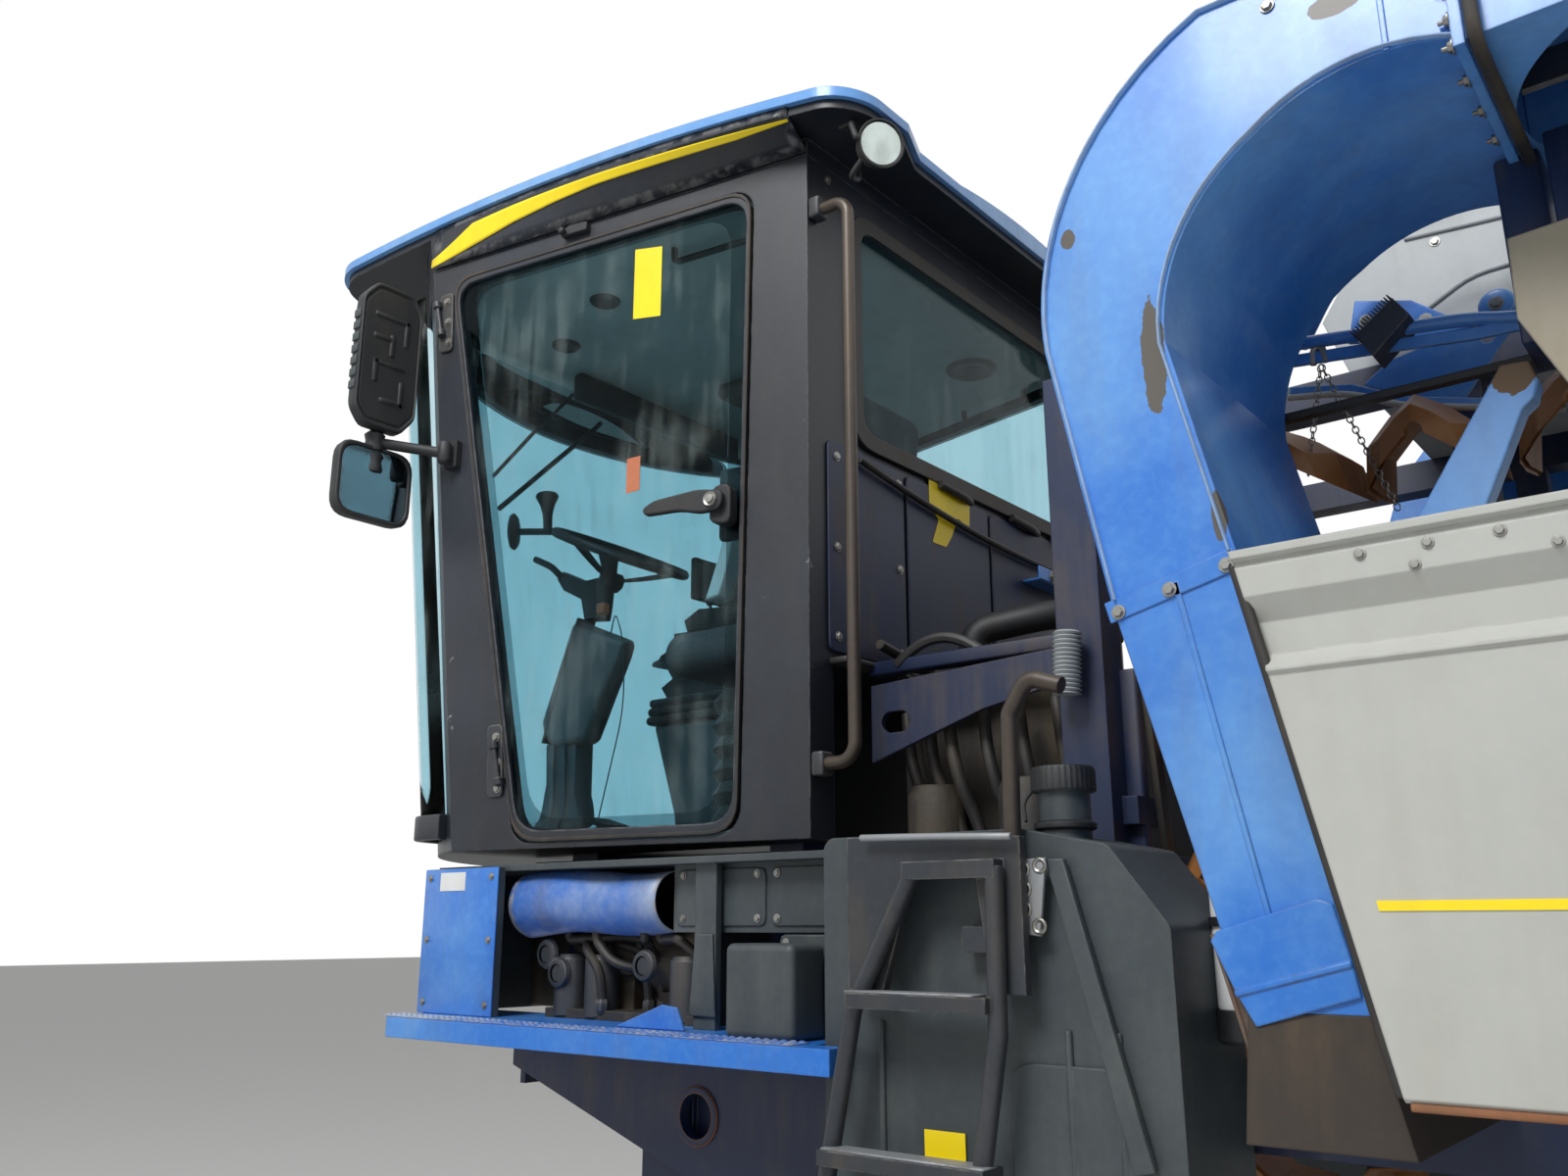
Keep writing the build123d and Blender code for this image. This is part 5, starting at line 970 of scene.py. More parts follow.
        piece("door_inner_plate", self.sheet(inside, -0.03, -0.016), SOOT_PLASTIC, "door",
              bevel=0.003)
        catch = self.sheet([(0.62, 3.303), (0.7, 3.303), (0.7, 3.318), (0.675, 3.329), (0.62, 3.325)], 0.0,
                           0.018)
        knob = lathe([(0, 0.02), (0.008, 0.018), (0.01, 0.008), (0.006, 0), (0, 0)],
                     self.at(0.69, 3.312, 0.016), (-sin(self.flare), cos(self.flare), 0), 14)
        piece("door_catch", joined([catch, knob]).both(), SOOT_PLASTIC, bevel=0.002)

    def hinges(self) -> None:
        """Bolted backing plates beside the hinges."""
        plates = [self.sheet(rounded([(s, z), (s + 0.045, z), (s + 0.035, z - 0.17), (s - 0.01, z - 0.17)],
                                     0.012, 4, True), 0.0003, 0.007)
                  for s, z in ((1.068, 3.245), (0.812, 2.06))]
        piece("hinge_plates", joined(plates).both(), DARK_STEEL, bevel=0.002)
        heads = [bolt(0.008, 0.006).placed(self.at(s, z, 0.007), (0, 0, 1),
                                           (-sin(self.flare), cos(self.flare), 0))
                 for s, z in ((1.086, 3.22), (1.078, 3.16), (1.07, 3.1), (0.828, 2.03), (0.82, 1.97),
                              (0.815, 1.91))]
        piece("hinge_bolts", joined(heads).both(), ZINC)

    def labels(self) -> None:
        """Blank films where the door's glass and the rear wall carry signs."""
        film = (-0.0062, -0.0052)
        yellow = self.sheet([(0.402, 3.02), (0.482, 3.03), (0.482, 3.218), (0.402, 3.206)], *film)
        piece("door_film_yellow", yellow, YELLOW, "door")
        orange = self.sheet([(0.448, 2.585), (0.486, 2.582), (0.486, 2.668), (0.448, 2.67)], *film)
        piece("door_film_orange", orange, ORANGE, "door")
        generator = np.random.default_rng(3)
        edge = np.array([(0.301, 2.665), (0.25, 2.672), (0.2, 2.66), (0.109, 2.683), (0.112, 2.6),
                         (0.116, 2.576), (0.17, 2.59), (0.2, 2.53), (0.23, 2.5), (0.288, 2.502),
                         (0.262, 2.56), (0.3, 2.6)])
        torn = rounded(edge + generator.uniform(-0.004, 0.004, edge.shape), 0.006, 3, closed=True)
        piece("wall_film_yellow", cross_slab(torn, (self.rear_x - 0.0085, self.rear_x - 0.0075)), YELLOW)

    def lining(self) -> None:
        """Headliner with its rounded edge, speakers, vents, blind, radio and grab handles."""
        half_rear, half_front = 0.69, 0.9
        outline = rounded([(1.12, -half_rear), (2.12, -half_front), (2.6, -0.5), (2.68, 0), (2.6, 0.5),
                           (2.12, half_front), (1.12, half_rear)], 0.12, 5, closed=True)
        drop = np.array([0.0, 0.006, 0.02, 0.04])
        shrink = np.array([0.9, 0.985, 1.0, 1.0])
        middle = outline.mean(0)
        rings = np.stack([np.column_stack([middle + (outline - middle) * size,
                                           np.full(len(outline), 3.292 + up)])
                          for size, up in zip(shrink, drop)])
        piece("headliner", grid(rings, wrap_v=True, caps=True), HEADLINER, smooth=50)
        cones = [lathe([(0, -0.004), (0.02, -0.012), (0.03, -0.004), (0.055, -0.01), (0.07, -0.014),
                        (0.078, -0.006), (0.08, 0.0), (0, 0.0)], (x, y, 3.292), (0, 0, 1), 28)
                 for x, y in ((1.35, 0.42), (1.35, -0.42))]
        vents = [lathe([(0, -0.01), (0.034, -0.012), (0.042, -0.006), (0.044, 0), (0, 0)], (x, y, 3.292),
                       (0, 0, 1), 20)
                 for x, y in ((2.2, 0.5), (2.2, -0.5), (1.9, 0.62), (1.9, -0.62))]
        blind = soft_box((2.3, -0.4, 3.2), (2.34, 0.35, 3.29), 0.012)
        radio = soft_box((1.75, -0.3, 3.24), (2.05, 0.0, 3.294), 0.02)
        piece("ceiling_fittings", joined([*cones, *vents, blind, radio]), SOOT_PLASTIC,
              bevel=0.002)
        bars = tube([(1.3, 0.66, 3.29), (1.3, 0.66, 3.25), (1.55, 0.7, 3.25), (1.55, 0.7, 3.29)], 0.009,
                    0.03)
        piece("grab_handles", bars.both(), SOOT_PLASTIC)

    def windscreen(self) -> None:
        """Wrap-round windscreen bowed forward of the flat pane, with its black sill and a parked wiper.

        At each height the section is |y/h|^6 + (x/d)^6 = 1, where h follows the side walls' front edges.
        """
        turn = np.linspace(0, pi, 41)[None]
        z = np.linspace(1.85, 3.27, 15)[:, None]
        start = 2.04 + (z - 1.85) * 0.195 / 1.42
        half = self.rear_half + (start - self.rear_x) * 0.1944 - 0.014
        x, y = start + 0.17 * np.cbrt(np.sin(turn)), half * np.cbrt(np.cos(turn))
        pane = grid(np.stack(np.broadcast_arrays(x, y, z), -1))
        piece("windscreen", pane, CAB_GLASS, thickness=0.004)
        foot = np.stack([x[0] + 0.004, y[0] * 1.002, np.full(41, 1.83)], -1)
        flat = rounded([(-0.012, -0.03), (0.012, -0.03), (0.012, 0.03), (-0.012, 0.03)], 0.006, 3, True)
        piece("windscreen_sill", sweep(foot, flat, up=(0, 0, 1)), CAB_BLACK)
        arm = tube([(2.42, 0.28, 3.26), (2.42, 0.42, 3.1), (2.41, 0.58, 2.9)], 0.006)
        blade = tube([(2.415, 0.16, 3.2), (2.41, 0.36, 3.0), (2.4, 0.56, 2.8)], 0.008)
        piece("windscreen_wiper", joined([arm, blade]), SOOT_PLASTIC)

    def rear_wall(self) -> None:
        """Rubber frame of the rear window, wall panels with grooves between, bolts, bracket and wiring."""
        x = self.rear_x
        outer = rounded([(-0.61, 2.66), (0.61, 2.66), (0.61, 3.26), (-0.61, 3.26)], 0.08, 6, closed=True)
        inner = rounded([(-0.57, 2.7), (0.57, 2.7), (0.57, 3.22), (-0.57, 3.22)], 0.05, 6, closed=True)
        loops = [np.column_stack([np.full(len(line), place), line])
                 for line, place in ((outer, x), (outer, x - 0.012), (inner, x - 0.012), (inner, x))]
        piece("rear_window_rubber", grid(np.stack(loops), wrap_u=True, wrap_v=True), HOSE_RUBBER)
        panels = []
        for y0, y1 in ((0.408, 0.7), (0.02, 0.394), (-0.394, 0.006), (-0.7, -0.408)):
            line = rounded([(y0, 2.165), (y1, 2.165), (y1, 2.645), (y0, 2.645)], 0.02, 4, closed=True)
            panels.append(cross_slab(line, (x - 0.0072, x - 0.0004)))
        piece("rear_panels", joined(panels), NAVY, bevel=0.003)
        places = [(x - 0.0072, y, z) for y in (0.67, 0.43, -0.43, -0.67) for z in (2.2, 2.4, 2.61)]
        places += [(x - 0.0002, y, 3.3) for y in (0.685, -0.685)]
        piece("rear_wall_bolts", bolts(places, (-1, 0, 0), 0.008, 0.006), ZINC)
        bracket = joined([soft_box((x - 0.06, -0.46, 2.49), (x - 0.0072, -0.15, 2.498), 0.003),
                          soft_box((x - 0.06, -0.46, 2.49), (x - 0.053, -0.15, 2.53), 0.003)])
        piece("rear_bracket", bracket, BRIGHT_BLUE)
        heads = bolts([(x - 0.06, -0.38, 2.51), (x - 0.06, -0.22, 2.51)], (-1, 0, 0), 0.013, 0.01)
        piece("rear_bracket_bolts", heads, ZINC)
        foam = [tube([(x - 0.004, y, 2.652), (x - 0.022, y + 0.05, 2.646), (x - 0.016, y + 0.16, 2.655)],
                     0.011, 0.04)
                for y in (0.1, -0.25, -0.5)]
        wires = [hanging((x - 0.02, 0.6, 2.62), (x - 0.02, -0.5, 2.56), 0.03, 0.008, steps=24),
                 hanging((x - 0.03, 0.55, 2.2), (x - 0.03, -0.6, 2.18), 0.05, 0.012, steps=24)]
        ledge = soft_box((x - 0.05, -0.7, 2.135), (x - 0.001, 0.7, 2.15), 0.005)
        piece("rear_wiring", joined([*foam, *wires, ledge]), HOSE_RUBBER)

    def rail_clips(self) -> None:
        """Bolted feet of the tall handrail beside the door."""
        feet = [soft_box((x, 0.722, z), (x + 0.03, 0.762, z + 0.05), 0.006)
                for x, z in ((1.034, 3.165), (1.034, 1.895))]
        piece("rail_feet", joined(feet).both(), DARK_STEEL)


# Mirrors and lamps


@dataclass
class Mirrors:
    """Moulded mirror shells with their glass and arms."""

    y: float = 1.12

    def build(self) -> None:
        """Builds both mirrors of each side in place of the plain ones."""
        tall, wide = self.tall(), self.wide()
        foot = CAB.sheet([(1.004, 2.735), (1.044, 2.735), (1.044, 2.805), (1.004, 2.805)], 0.0003, 0.02)
        lug = lathe([(0, 0.03), (0.014, 0.028), (0.018, 0.02), (0.018, -0.02), (0.014, -0.028), (0, -0.03)],
                    CAB.at(1.03, 2.77, 0.034), (0, 0, 1), 20)
        stem = tube([CAB.at(1.032, 2.77, 0.03), (2.145, 1.05, 2.785), (2.19, self.y, 2.79)], 0.014, 0.03,
                    12)
        post = tube([(2.19, self.y, 2.6), (2.19, self.y, 3.05)], 0.014)
        sleeves = [lathe([(0, 0.0), (0.024, 0.002), (0.026, 0.012), (0.022, 0.03), (0.026, 0.046),
                          (0.018, 0.054), (0, 0.056)], (2.19, self.y, z), (0, 0, 1), 20)
                   for z in (2.762, 2.705)]
        piece("mirror_arms", joined([foot, lug, stem, post, *sleeves]).both(), SOOT_PLASTIC,
              replaces=["mirrors"])
        piece("mirror_shells", joined([tall[0], wide[0]]).both(), SOOT_PLASTIC, bevel=0.004)
        piece("mirror_glass", wide[1].both(), MIRROR_GLASS, bevel=0.001)
        piece("mirror_faces", joined([tall[1], self.marks()]).both(), SOOT_PLASTIC,
              bevel=0.0015)
        piece("mirror_slots", tall[2].both(), GREY_PLASTIC, bevel=0.0015)

    def tall(self) -> tuple[Skin, Skin, Skin]:
        """Tall mirror: a chamfered face, a shell whose rings shrink towards its back, and edge ribs.

        Returns:
            The shell, its face and the ribs.
        """
        x, low, half, height = 2.15, 2.815, 0.0875, 0.395
        y, top = self.y, low + height
        line = rounded([(y - half, low + 0.05), (y - half + 0.04, low), (y + half - 0.03, low),
                        (y + half, low + 0.04), (y + half, top - 0.05), (y + half - 0.04, top),
                        (y - half + 0.03, top), (y - half, top - 0.04)],
                       0.012, 3, closed=True)
        middle = np.array([y, low + height / 2])
        rings = [np.column_stack([np.full(len(line), x + back), middle + (line - middle) * size])
                 for back, size in ((0.004, 0.93), (0.0, 0.95), (0.0, 0.985), (0.006, 1.0), (0.03, 1.0),
                                    (0.052, 0.88), (0.062, 0.6))]
        glass = cross_slab(middle + (line - middle) * 0.9, (x + 0.0015, x + 0.0055))
        ribs = [soft_box((x + 0.01, y + half - 0.002, z), (x + 0.036, y + half + 0.0035, z + 0.022), 0.002)
                for z in np.linspace(low + 0.09, top - 0.11, 7)]
        return grid(np.stack(rings), wrap_v=True, caps=True), glass, joined(ribs)

    def marks(self) -> Skin:
        """Raised bars and hooks on the tall mirror's dark face."""
        x, y, low = 2.1485, self.y, 2.815
        bars = [((-0.05, 0.3), (0.05, 0.312)), ((-0.05, 0.24), (-0.038, 0.312)),
                ((0.0, 0.24), (0.05, 0.252)), ((-0.045, 0.17), (0.045, 0.182)),
                ((0.033, 0.12), (0.045, 0.182)), ((-0.045, 0.07), (0.02, 0.082)),
                ((-0.045, 0.07), (-0.033, 0.14)), ((-0.01, 0.2), (0.002, 0.26))]
        return joined(soft_box((x, y + a, low + b), (x + 0.006, y + c, low + d), 0.002, 3)
                      for (a, b), (c, d) in bars)

    def wide(self) -> tuple[Skin, Skin]:
        """Wide mirror: a rounded frame standing proud of its glass.

        Returns:
            The frame and the glass.
        """
        x, low, half, height = 2.17, 2.575, 0.1075, 0.2
        y, top = self.y, low + height
        line = rounded([(y - half, low), (y + half, low), (y + half, top), (y - half, top)], 0.05, 6,
                       closed=True)
        middle = np.array([y, low + height / 2])
        rings = [np.column_stack([np.full(len(line), x + back), middle + (line - middle) * size])
                 for back, size in ((0.008, 0.86), (0.0, 0.89), (0.0, 0.97), (0.008, 1.0), (0.03, 0.98),
                                    (0.05, 0.75))]
        shell = grid(np.stack(rings), wrap_v=True, caps=True)
        return shell, cross_slab(middle + (line - middle) * 0.87, (x + 0.004, x + 0.0085))


@dataclass
class Lamps:
    """Round work lamps at the roof's rear corners, facing back."""

    place: tuple = (0.866, 0.745, 3.284)
    radius: float = 0.056

    def build(self) -> None:
        """Builds the housings with their fins, reflectors and lenses in place of the plain lamps."""
        back = unit(np.array([-0.84, 0.5, -0.2]))
        r, (x, y, z) = self.radius, self.place
        fins = [point for k in range(5) for point in ((0.93 * r - 0.002 * k, -0.012 - 0.008 * k),
                                                      (0.8 * r - 0.002 * k, -0.014 - 0.008 * k))]
        body = lathe([(0, -0.06), (0.5 * r, -0.058), (0.62 * r, -0.052), *fins[::-1], (r, -0.006), (r, 0.0),
                      (r - 0.005, 0.0), (r - 0.007, -0.006), (0, -0.006)], (x, y, z), back, 36)
        arms = [tube([(x + 0.03, y + 0.046 * side, z), (x + 0.03, y + 0.056 * side, z - 0.002),
                      (x + 0.05, y + 0.05 * side, z + 0.05), (x + 0.07, y, z + 0.072)], 0.007, 0.02)
                for side in (-1, 1)]
        foot = soft_box((x + 0.05, y - 0.03, z + 0.062), (x + 0.1, y + 0.03, z + 0.076), 0.004)
        plug = tube([(x + 0.055, y, z - 0.02), (x + 0.09, y, z - 0.05), (x + 0.1, y - 0.05, z - 0.03),
                     (x + 0.14, y - 0.1, z + 0.06)], 0.007, 0.03)
        lens = lathe([(0, 0.002), (0.5 * r, 0.0), (r - 0.007, -0.002), (r - 0.007, -0.004), (0, -0.003)],
                     (x, y, z), back, 32)
        glow = lathe([(0, -0.0058), (0.2 * r, -0.0055), (0.6 * r, -0.005), (r - 0.008, -0.004),
                      (r - 0.008, -0.0059), (0, -0.006)], (x, y, z), back, 32)
        piece("lamp_bodies", joined([body, *arms, foot, plug]).both(), SOOT_PLASTIC,
              replaces=["work_lamps"])
        piece("lamp_reflectors", glow.both(), REFLECTOR)
        piece("lamp_lenses", lens.both(), LENS_GLASS)


@dataclass
class DriverPlace:
    """Steering wheel on its column, console with its levers, pedals and the seat."""

    centre: tuple = (2.243, 0.21, 2.711)
    lean: tuple = (-0.42, 0.0, 0.9)
    radius: float = 0.208

    def build(self) -> None:
        """Builds the controls and the seat in place of the plain ones."""
        self.wheel()
        self.column()
        self.console()
        self.seat()

    def lozenge(self, outline: Sequence[Point], y: tuple[float, float], rim: float = 0.02) -> Skin:
        """A plate of an X, Z outline whose edges are drawn in towards both sides.

        Args:
            outline: the outline's corners.
            y: the plate's two faces.
            rim: how far the edges are drawn in.

        Returns:
            The closed surface.
        """
        line = np.asarray(outline, float)
        middle = line.mean(0)
        small = middle + (line - middle) * (1 - rim / np.abs(line - middle).max(0).max())
        edge = min(rim, (y[1] - y[0]) / 3)
        rings = [np.column_stack([ring[:, 0], np.full(len(line), place), ring[:, 1]])
                 for ring, place in ((small, y[0]), (line, y[0] + edge), (line, y[1] - edge),
                                     (small, y[1]))]
        return grid(np.stack(rings), wrap_v=True, caps=True)

    def wheel(self) -> None:
        """Rim, three flat spokes that fall to the hub, and the two knobs at its far side."""
        turn = 2 * pi * np.arange(56) / 56
        ring = np.stack([self.radius * np.cos(turn), self.radius * np.sin(turn), np.zeros(56)], -1)
        section = circle(0.0145, 10)
        outward, upward = section[None, :, :1], section[None, :, 1:]
        points = ring[:, None] + outward * unit(ring)[:, None] + upward * np.array([0.0, 0.0, 1.0])
        shapes = [grid(points, wrap_u=True, wrap_v=True)]
        flat = rounded([(-0.026, -0.003), (0.026, -0.003), (0.026, 0.003), (-0.026, 0.003)], 0.003, 3, True)
        for angle in (radians(40), radians(160), radians(280)):
            t = np.linspace(0, 1, 7)
            reach = 0.02 + (self.radius - 0.02) * t
            path = np.stack([reach * cos(angle), reach * sin(angle), -0.082 + 0.08 * t**1.2], -1)
            shapes.append(sweep(path, flat, up=(0, 0, 1), scale=0.75 + 0.5 * t))
        shapes.append(lathe([(0, -0.06), (0.03, -0.062), (0.04, -0.075), (0.04, -0.1), (0.028, -0.12),
                             (0, -0.12)],
                            (0, 0, 0), (0, 0, 1), 24))
        whole = joined(shapes).placed(self.centre, (0, 1, 0), self.lean)
        rest = np.array([2.387, 0.344, 2.778])
        out = np.array([0.77, 0.64, 0.0])
        bar = tube([rest - out * 0.02, rest + out * 0.13], 0.011)
        mushroom = lathe([(0, 0.014), (0.03, 0.014), (0.052, 0.008), (0.058, -0.002), (0.046, -0.012),
                          (0.016, -0.018), (0, -0.018)], rest + out * 0.135, out, 24)
        trumpet = lathe([(0, 0.115), (0.033, 0.115), (0.036, 0.108), (0.023, 0.08), (0.015, 0.045),
                         (0.014, 0.0), (0, 0)],
                        rest + out * 0.03 + (0, 0, 0.008), (0.1, 0, 1), 20)
        piece("steering_wheel", joined([whole, bar, mushroom, trumpet]), SOOT_PLASTIC,
              replaces=["cab_controls"])

    def column(self) -> None:
        """Upper joint with its stalk, moulded cover with a seam, ribbed post, cable and pedal."""
        y = (0.21, 0.28)
        cover = [(2.376, 2.512), (2.146, 2.418), (2.16, 2.38), (2.296, 2.125), (2.45, 2.122),
                 (2.496, 2.15), (2.508, 2.2)]
        seam = side_slab([(2.345, 2.51), (2.352, 2.512), (2.492, 2.14), (2.485, 2.138)],
                         (y[0] - 0.001, y[1] + 0.001))
        screw = lathe([(0.006, 0.0), (0.011, 0.003), (0.014, 0.0), (0.006, 0.0)],
                      (2.33, y[1] + 0.0005, 2.465), (0, 1, 0), 16)
        piece("column_cover", self.lozenge(cover, y, 0.022), GREY_PLASTIC, bevel=0.008)
        post = self.lozenge([(2.352, 2.15), (2.5, 2.15), (2.492, 2.02), (2.53, 1.86), (2.56, 1.802),
                             (2.22, 1.802), (2.29, 1.87), (2.35, 1.98)], (0.19, 0.26), 0.018)
        ribs = [tube([(x, 0.268, 2.13), (x - 0.012, 0.27, 2.0), (x - 0.02, 0.272, 1.88)], 0.006)
                for x in (2.4, 2.45)]
        piece("column_post", joined([post, *ribs]), GREY_PLASTIC, bevel=0.004)
        upper = self.lozenge([(2.275, 2.5), (2.36, 2.51), (2.38, 2.58), (2.47, 2.625), (2.505, 2.67),
                              (2.48, 2.69), (2.37, 2.64), (2.29, 2.64), (2.262, 2.6), (2.268, 2.54)],
                             (0.205, 0.245), 0.01)
        stalk = tube([(2.48, 0.24, 2.67), (2.52, 0.25, 2.71), (2.59, 0.26, 2.745)], 0.011, 0.02)
        cable = tube([(2.2, 0.278, 2.44), (2.16, 0.3, 2.5), (2.12, 0.3, 2.4), (2.1, 0.31, 2.2),
                      (2.2, 0.3, 1.9), (2.24, 0.29, 1.81)], 0.0022, 0.08, 6)
        pedals = joined([self.lozenge([(2.13, 1.875), (2.22, 1.9), (2.23, 1.888), (2.14, 1.862)],
                                      (0.24, 0.33), 0.004),
                         tube([(2.2, 0.28, 1.88), (2.3, 0.27, 1.84)], 0.009)])
        piece("column_fittings", joined([upper, stalk, cable, pedals, seam, screw]), SOOT_PLASTIC,
              bevel=0.002)
        piece("column_switch", soft_box((2.255, 0.235, 2.515), (2.29, 0.262, 2.55), 0.006), ORANGE)

    def console(self) -> None:
        """Stand with a ribbed boot, and an armrest of stacked boxes with its levers and the red switch."""
        stand = self.lozenge([(2.325, 2.215), (2.226, 1.924), (2.21, 1.802), (1.72, 1.802), (1.74, 2.215)],
                             (-0.2, -0.02), 0.02)
        piece("console_stand", stand, GREY_PLASTIC, bevel=0.008)
        ridges = [soft_box((1.73, -0.212, 2.212 + 0.027 * k),
                           (2.342 - 0.006 * k, -0.008, 2.24 + 0.027 * k), 0.013, 5)
                  for k in range(3)]
        jumble = [self.lozenge([(1.76, 2.29), (2.27, 2.29), (2.3, 2.33), (2.25, 2.355), (2.27, 2.385),
                                (2.2, 2.4), (1.8, 2.4)], (-0.19, -0.03), 0.012),
                  self.lozenge([(1.78, 2.4), (2.25, 2.4), (2.31, 2.42), (2.3, 2.435), (2.24, 2.455),
                                (2.24, 2.5), (1.8, 2.48)], (-0.17, -0.025), 0.01),
                  self.lozenge([(1.8, 2.48), (2.2, 2.5), (2.215, 2.54), (2.15, 2.57), (1.84, 2.54)],
                               (-0.18, -0.04), 0.01),
                  self.lozenge([(1.78, 2.53), (2.08, 2.57), (2.06, 2.63), (1.98, 2.68), (1.84, 2.66)],
                               (-0.15, -0.05), 0.01)]
        generator = np.random.default_rng(11)
        levers = []
        for x, z, reach in ((2.16, 2.56, 0.05), (2.1, 2.59, 0.06), (2.02, 2.66, 0.05), (2.22, 2.5, 0.03),
                            (1.95, 2.68, 0.05), (2.26, 2.4, 0.03), (1.9, 2.67, 0.06)):
            y = float(generator.uniform(-0.14, -0.05))
            tip = np.array([x + 0.02, y, z + reach])
            levers += [tube([(x, y, z - 0.03), tip], 0.005, sides=8),
                       lathe([(0, 0.012), (0.01, 0.011), (0.014, 0.004), (0.01, -0.008), (0, -0.01)], tip,
                             (0.2, 0, 1), 16)]
        pointer = self.lozenge([(2.25, 2.4), (2.3, 2.395), (2.365, 2.412), (2.362, 2.425), (2.3, 2.44),
                                (2.26, 2.45)],
                               (-0.09, -0.05), 0.006)
        plates = [soft_box((1.9, -0.028, 2.342 + 0.055 * k), (2.2, -0.02, 2.348 + 0.055 * k), 0.002)
                  for k in range(3)]
        piece("console", joined([*ridges, *jumble, *levers, *plates]), SOOT_PLASTIC,
              bevel=0.003)
        piece("console_pointer", pointer, GREY_PLASTIC, bevel=0.003)
        piece("console_switch", soft_box((2.075, -0.05, 2.385), (2.165, -0.012, 2.415), 0.01), ORANGE)
        screen = soft_box((2.2, -0.26, 2.62), (2.225, -0.08, 2.76), 0.008)
        arm = tube([(2.1, -0.17, 2.56), (2.215, -0.17, 2.66)], 0.01)
        piece("console_screen", joined([screen, arm]), SOOT_PLASTIC, bevel=0.002)

    def seat(self) -> None:
        """Cushion, backrest with rolled sides and its pale shell, on a bellows, replacing the plain seat."""
        for label, low, high, lean in (("seat_cushion", (1.38, -0.02, 2.24), (1.84, 0.44, 2.36), 0.0),
                                       ("seat_back", (1.34, -0.01, 2.365), (1.48, 0.43, 2.96), -0.09)):
            skin = soft_box(low, high, 0.055, 7)
            points, size = skin.points, np.array(high) - np.array(low)
            share = (points - low) / size
            across = np.abs(share[:, 1] - 0.5) * 2
            thin = 2 if size[2] < size[0] else 0
            points[:, thin] -= 0.018 * (1 - np.clip(across / 0.6, 0, 1) ** 2) * (share[:, thin] > 0.5)
            points[:, 0] += lean * share[:, 2]
            thing = piece(label, Skin(points, skin.faces), SEAT_CLOTH, subdivide=1,
                          replaces=["seat"] if label == "seat_cushion" else [])
        bellows = lathe([(0.0, 0.0), (0.16, 0.0)]
                        + [(0.16 - 0.02 * (k % 2), 0.03 * k + 0.01) for k in range(12)]
                        + [(0.0, 0.36)], (1.62, 0.22, 1.86), (0, 0, 1), 28)
        piece("seat_base", joined([soft_box((1.42, 0.06, 1.801), (1.82, 0.38, 1.86), 0.02), bellows]),
              SOOT_PLASTIC)
        shell = self.lozenge([(1.905, 2.752), (1.872, 2.756), (1.9, 2.64), (1.935, 2.548), (1.99, 2.542),
                              (1.965, 2.6)],
                             (0.03, 0.1), 0.008)
        piece("seat_shell", shell, WHITE_FILM, bevel=0.004)


# Walkway, ladder, tank


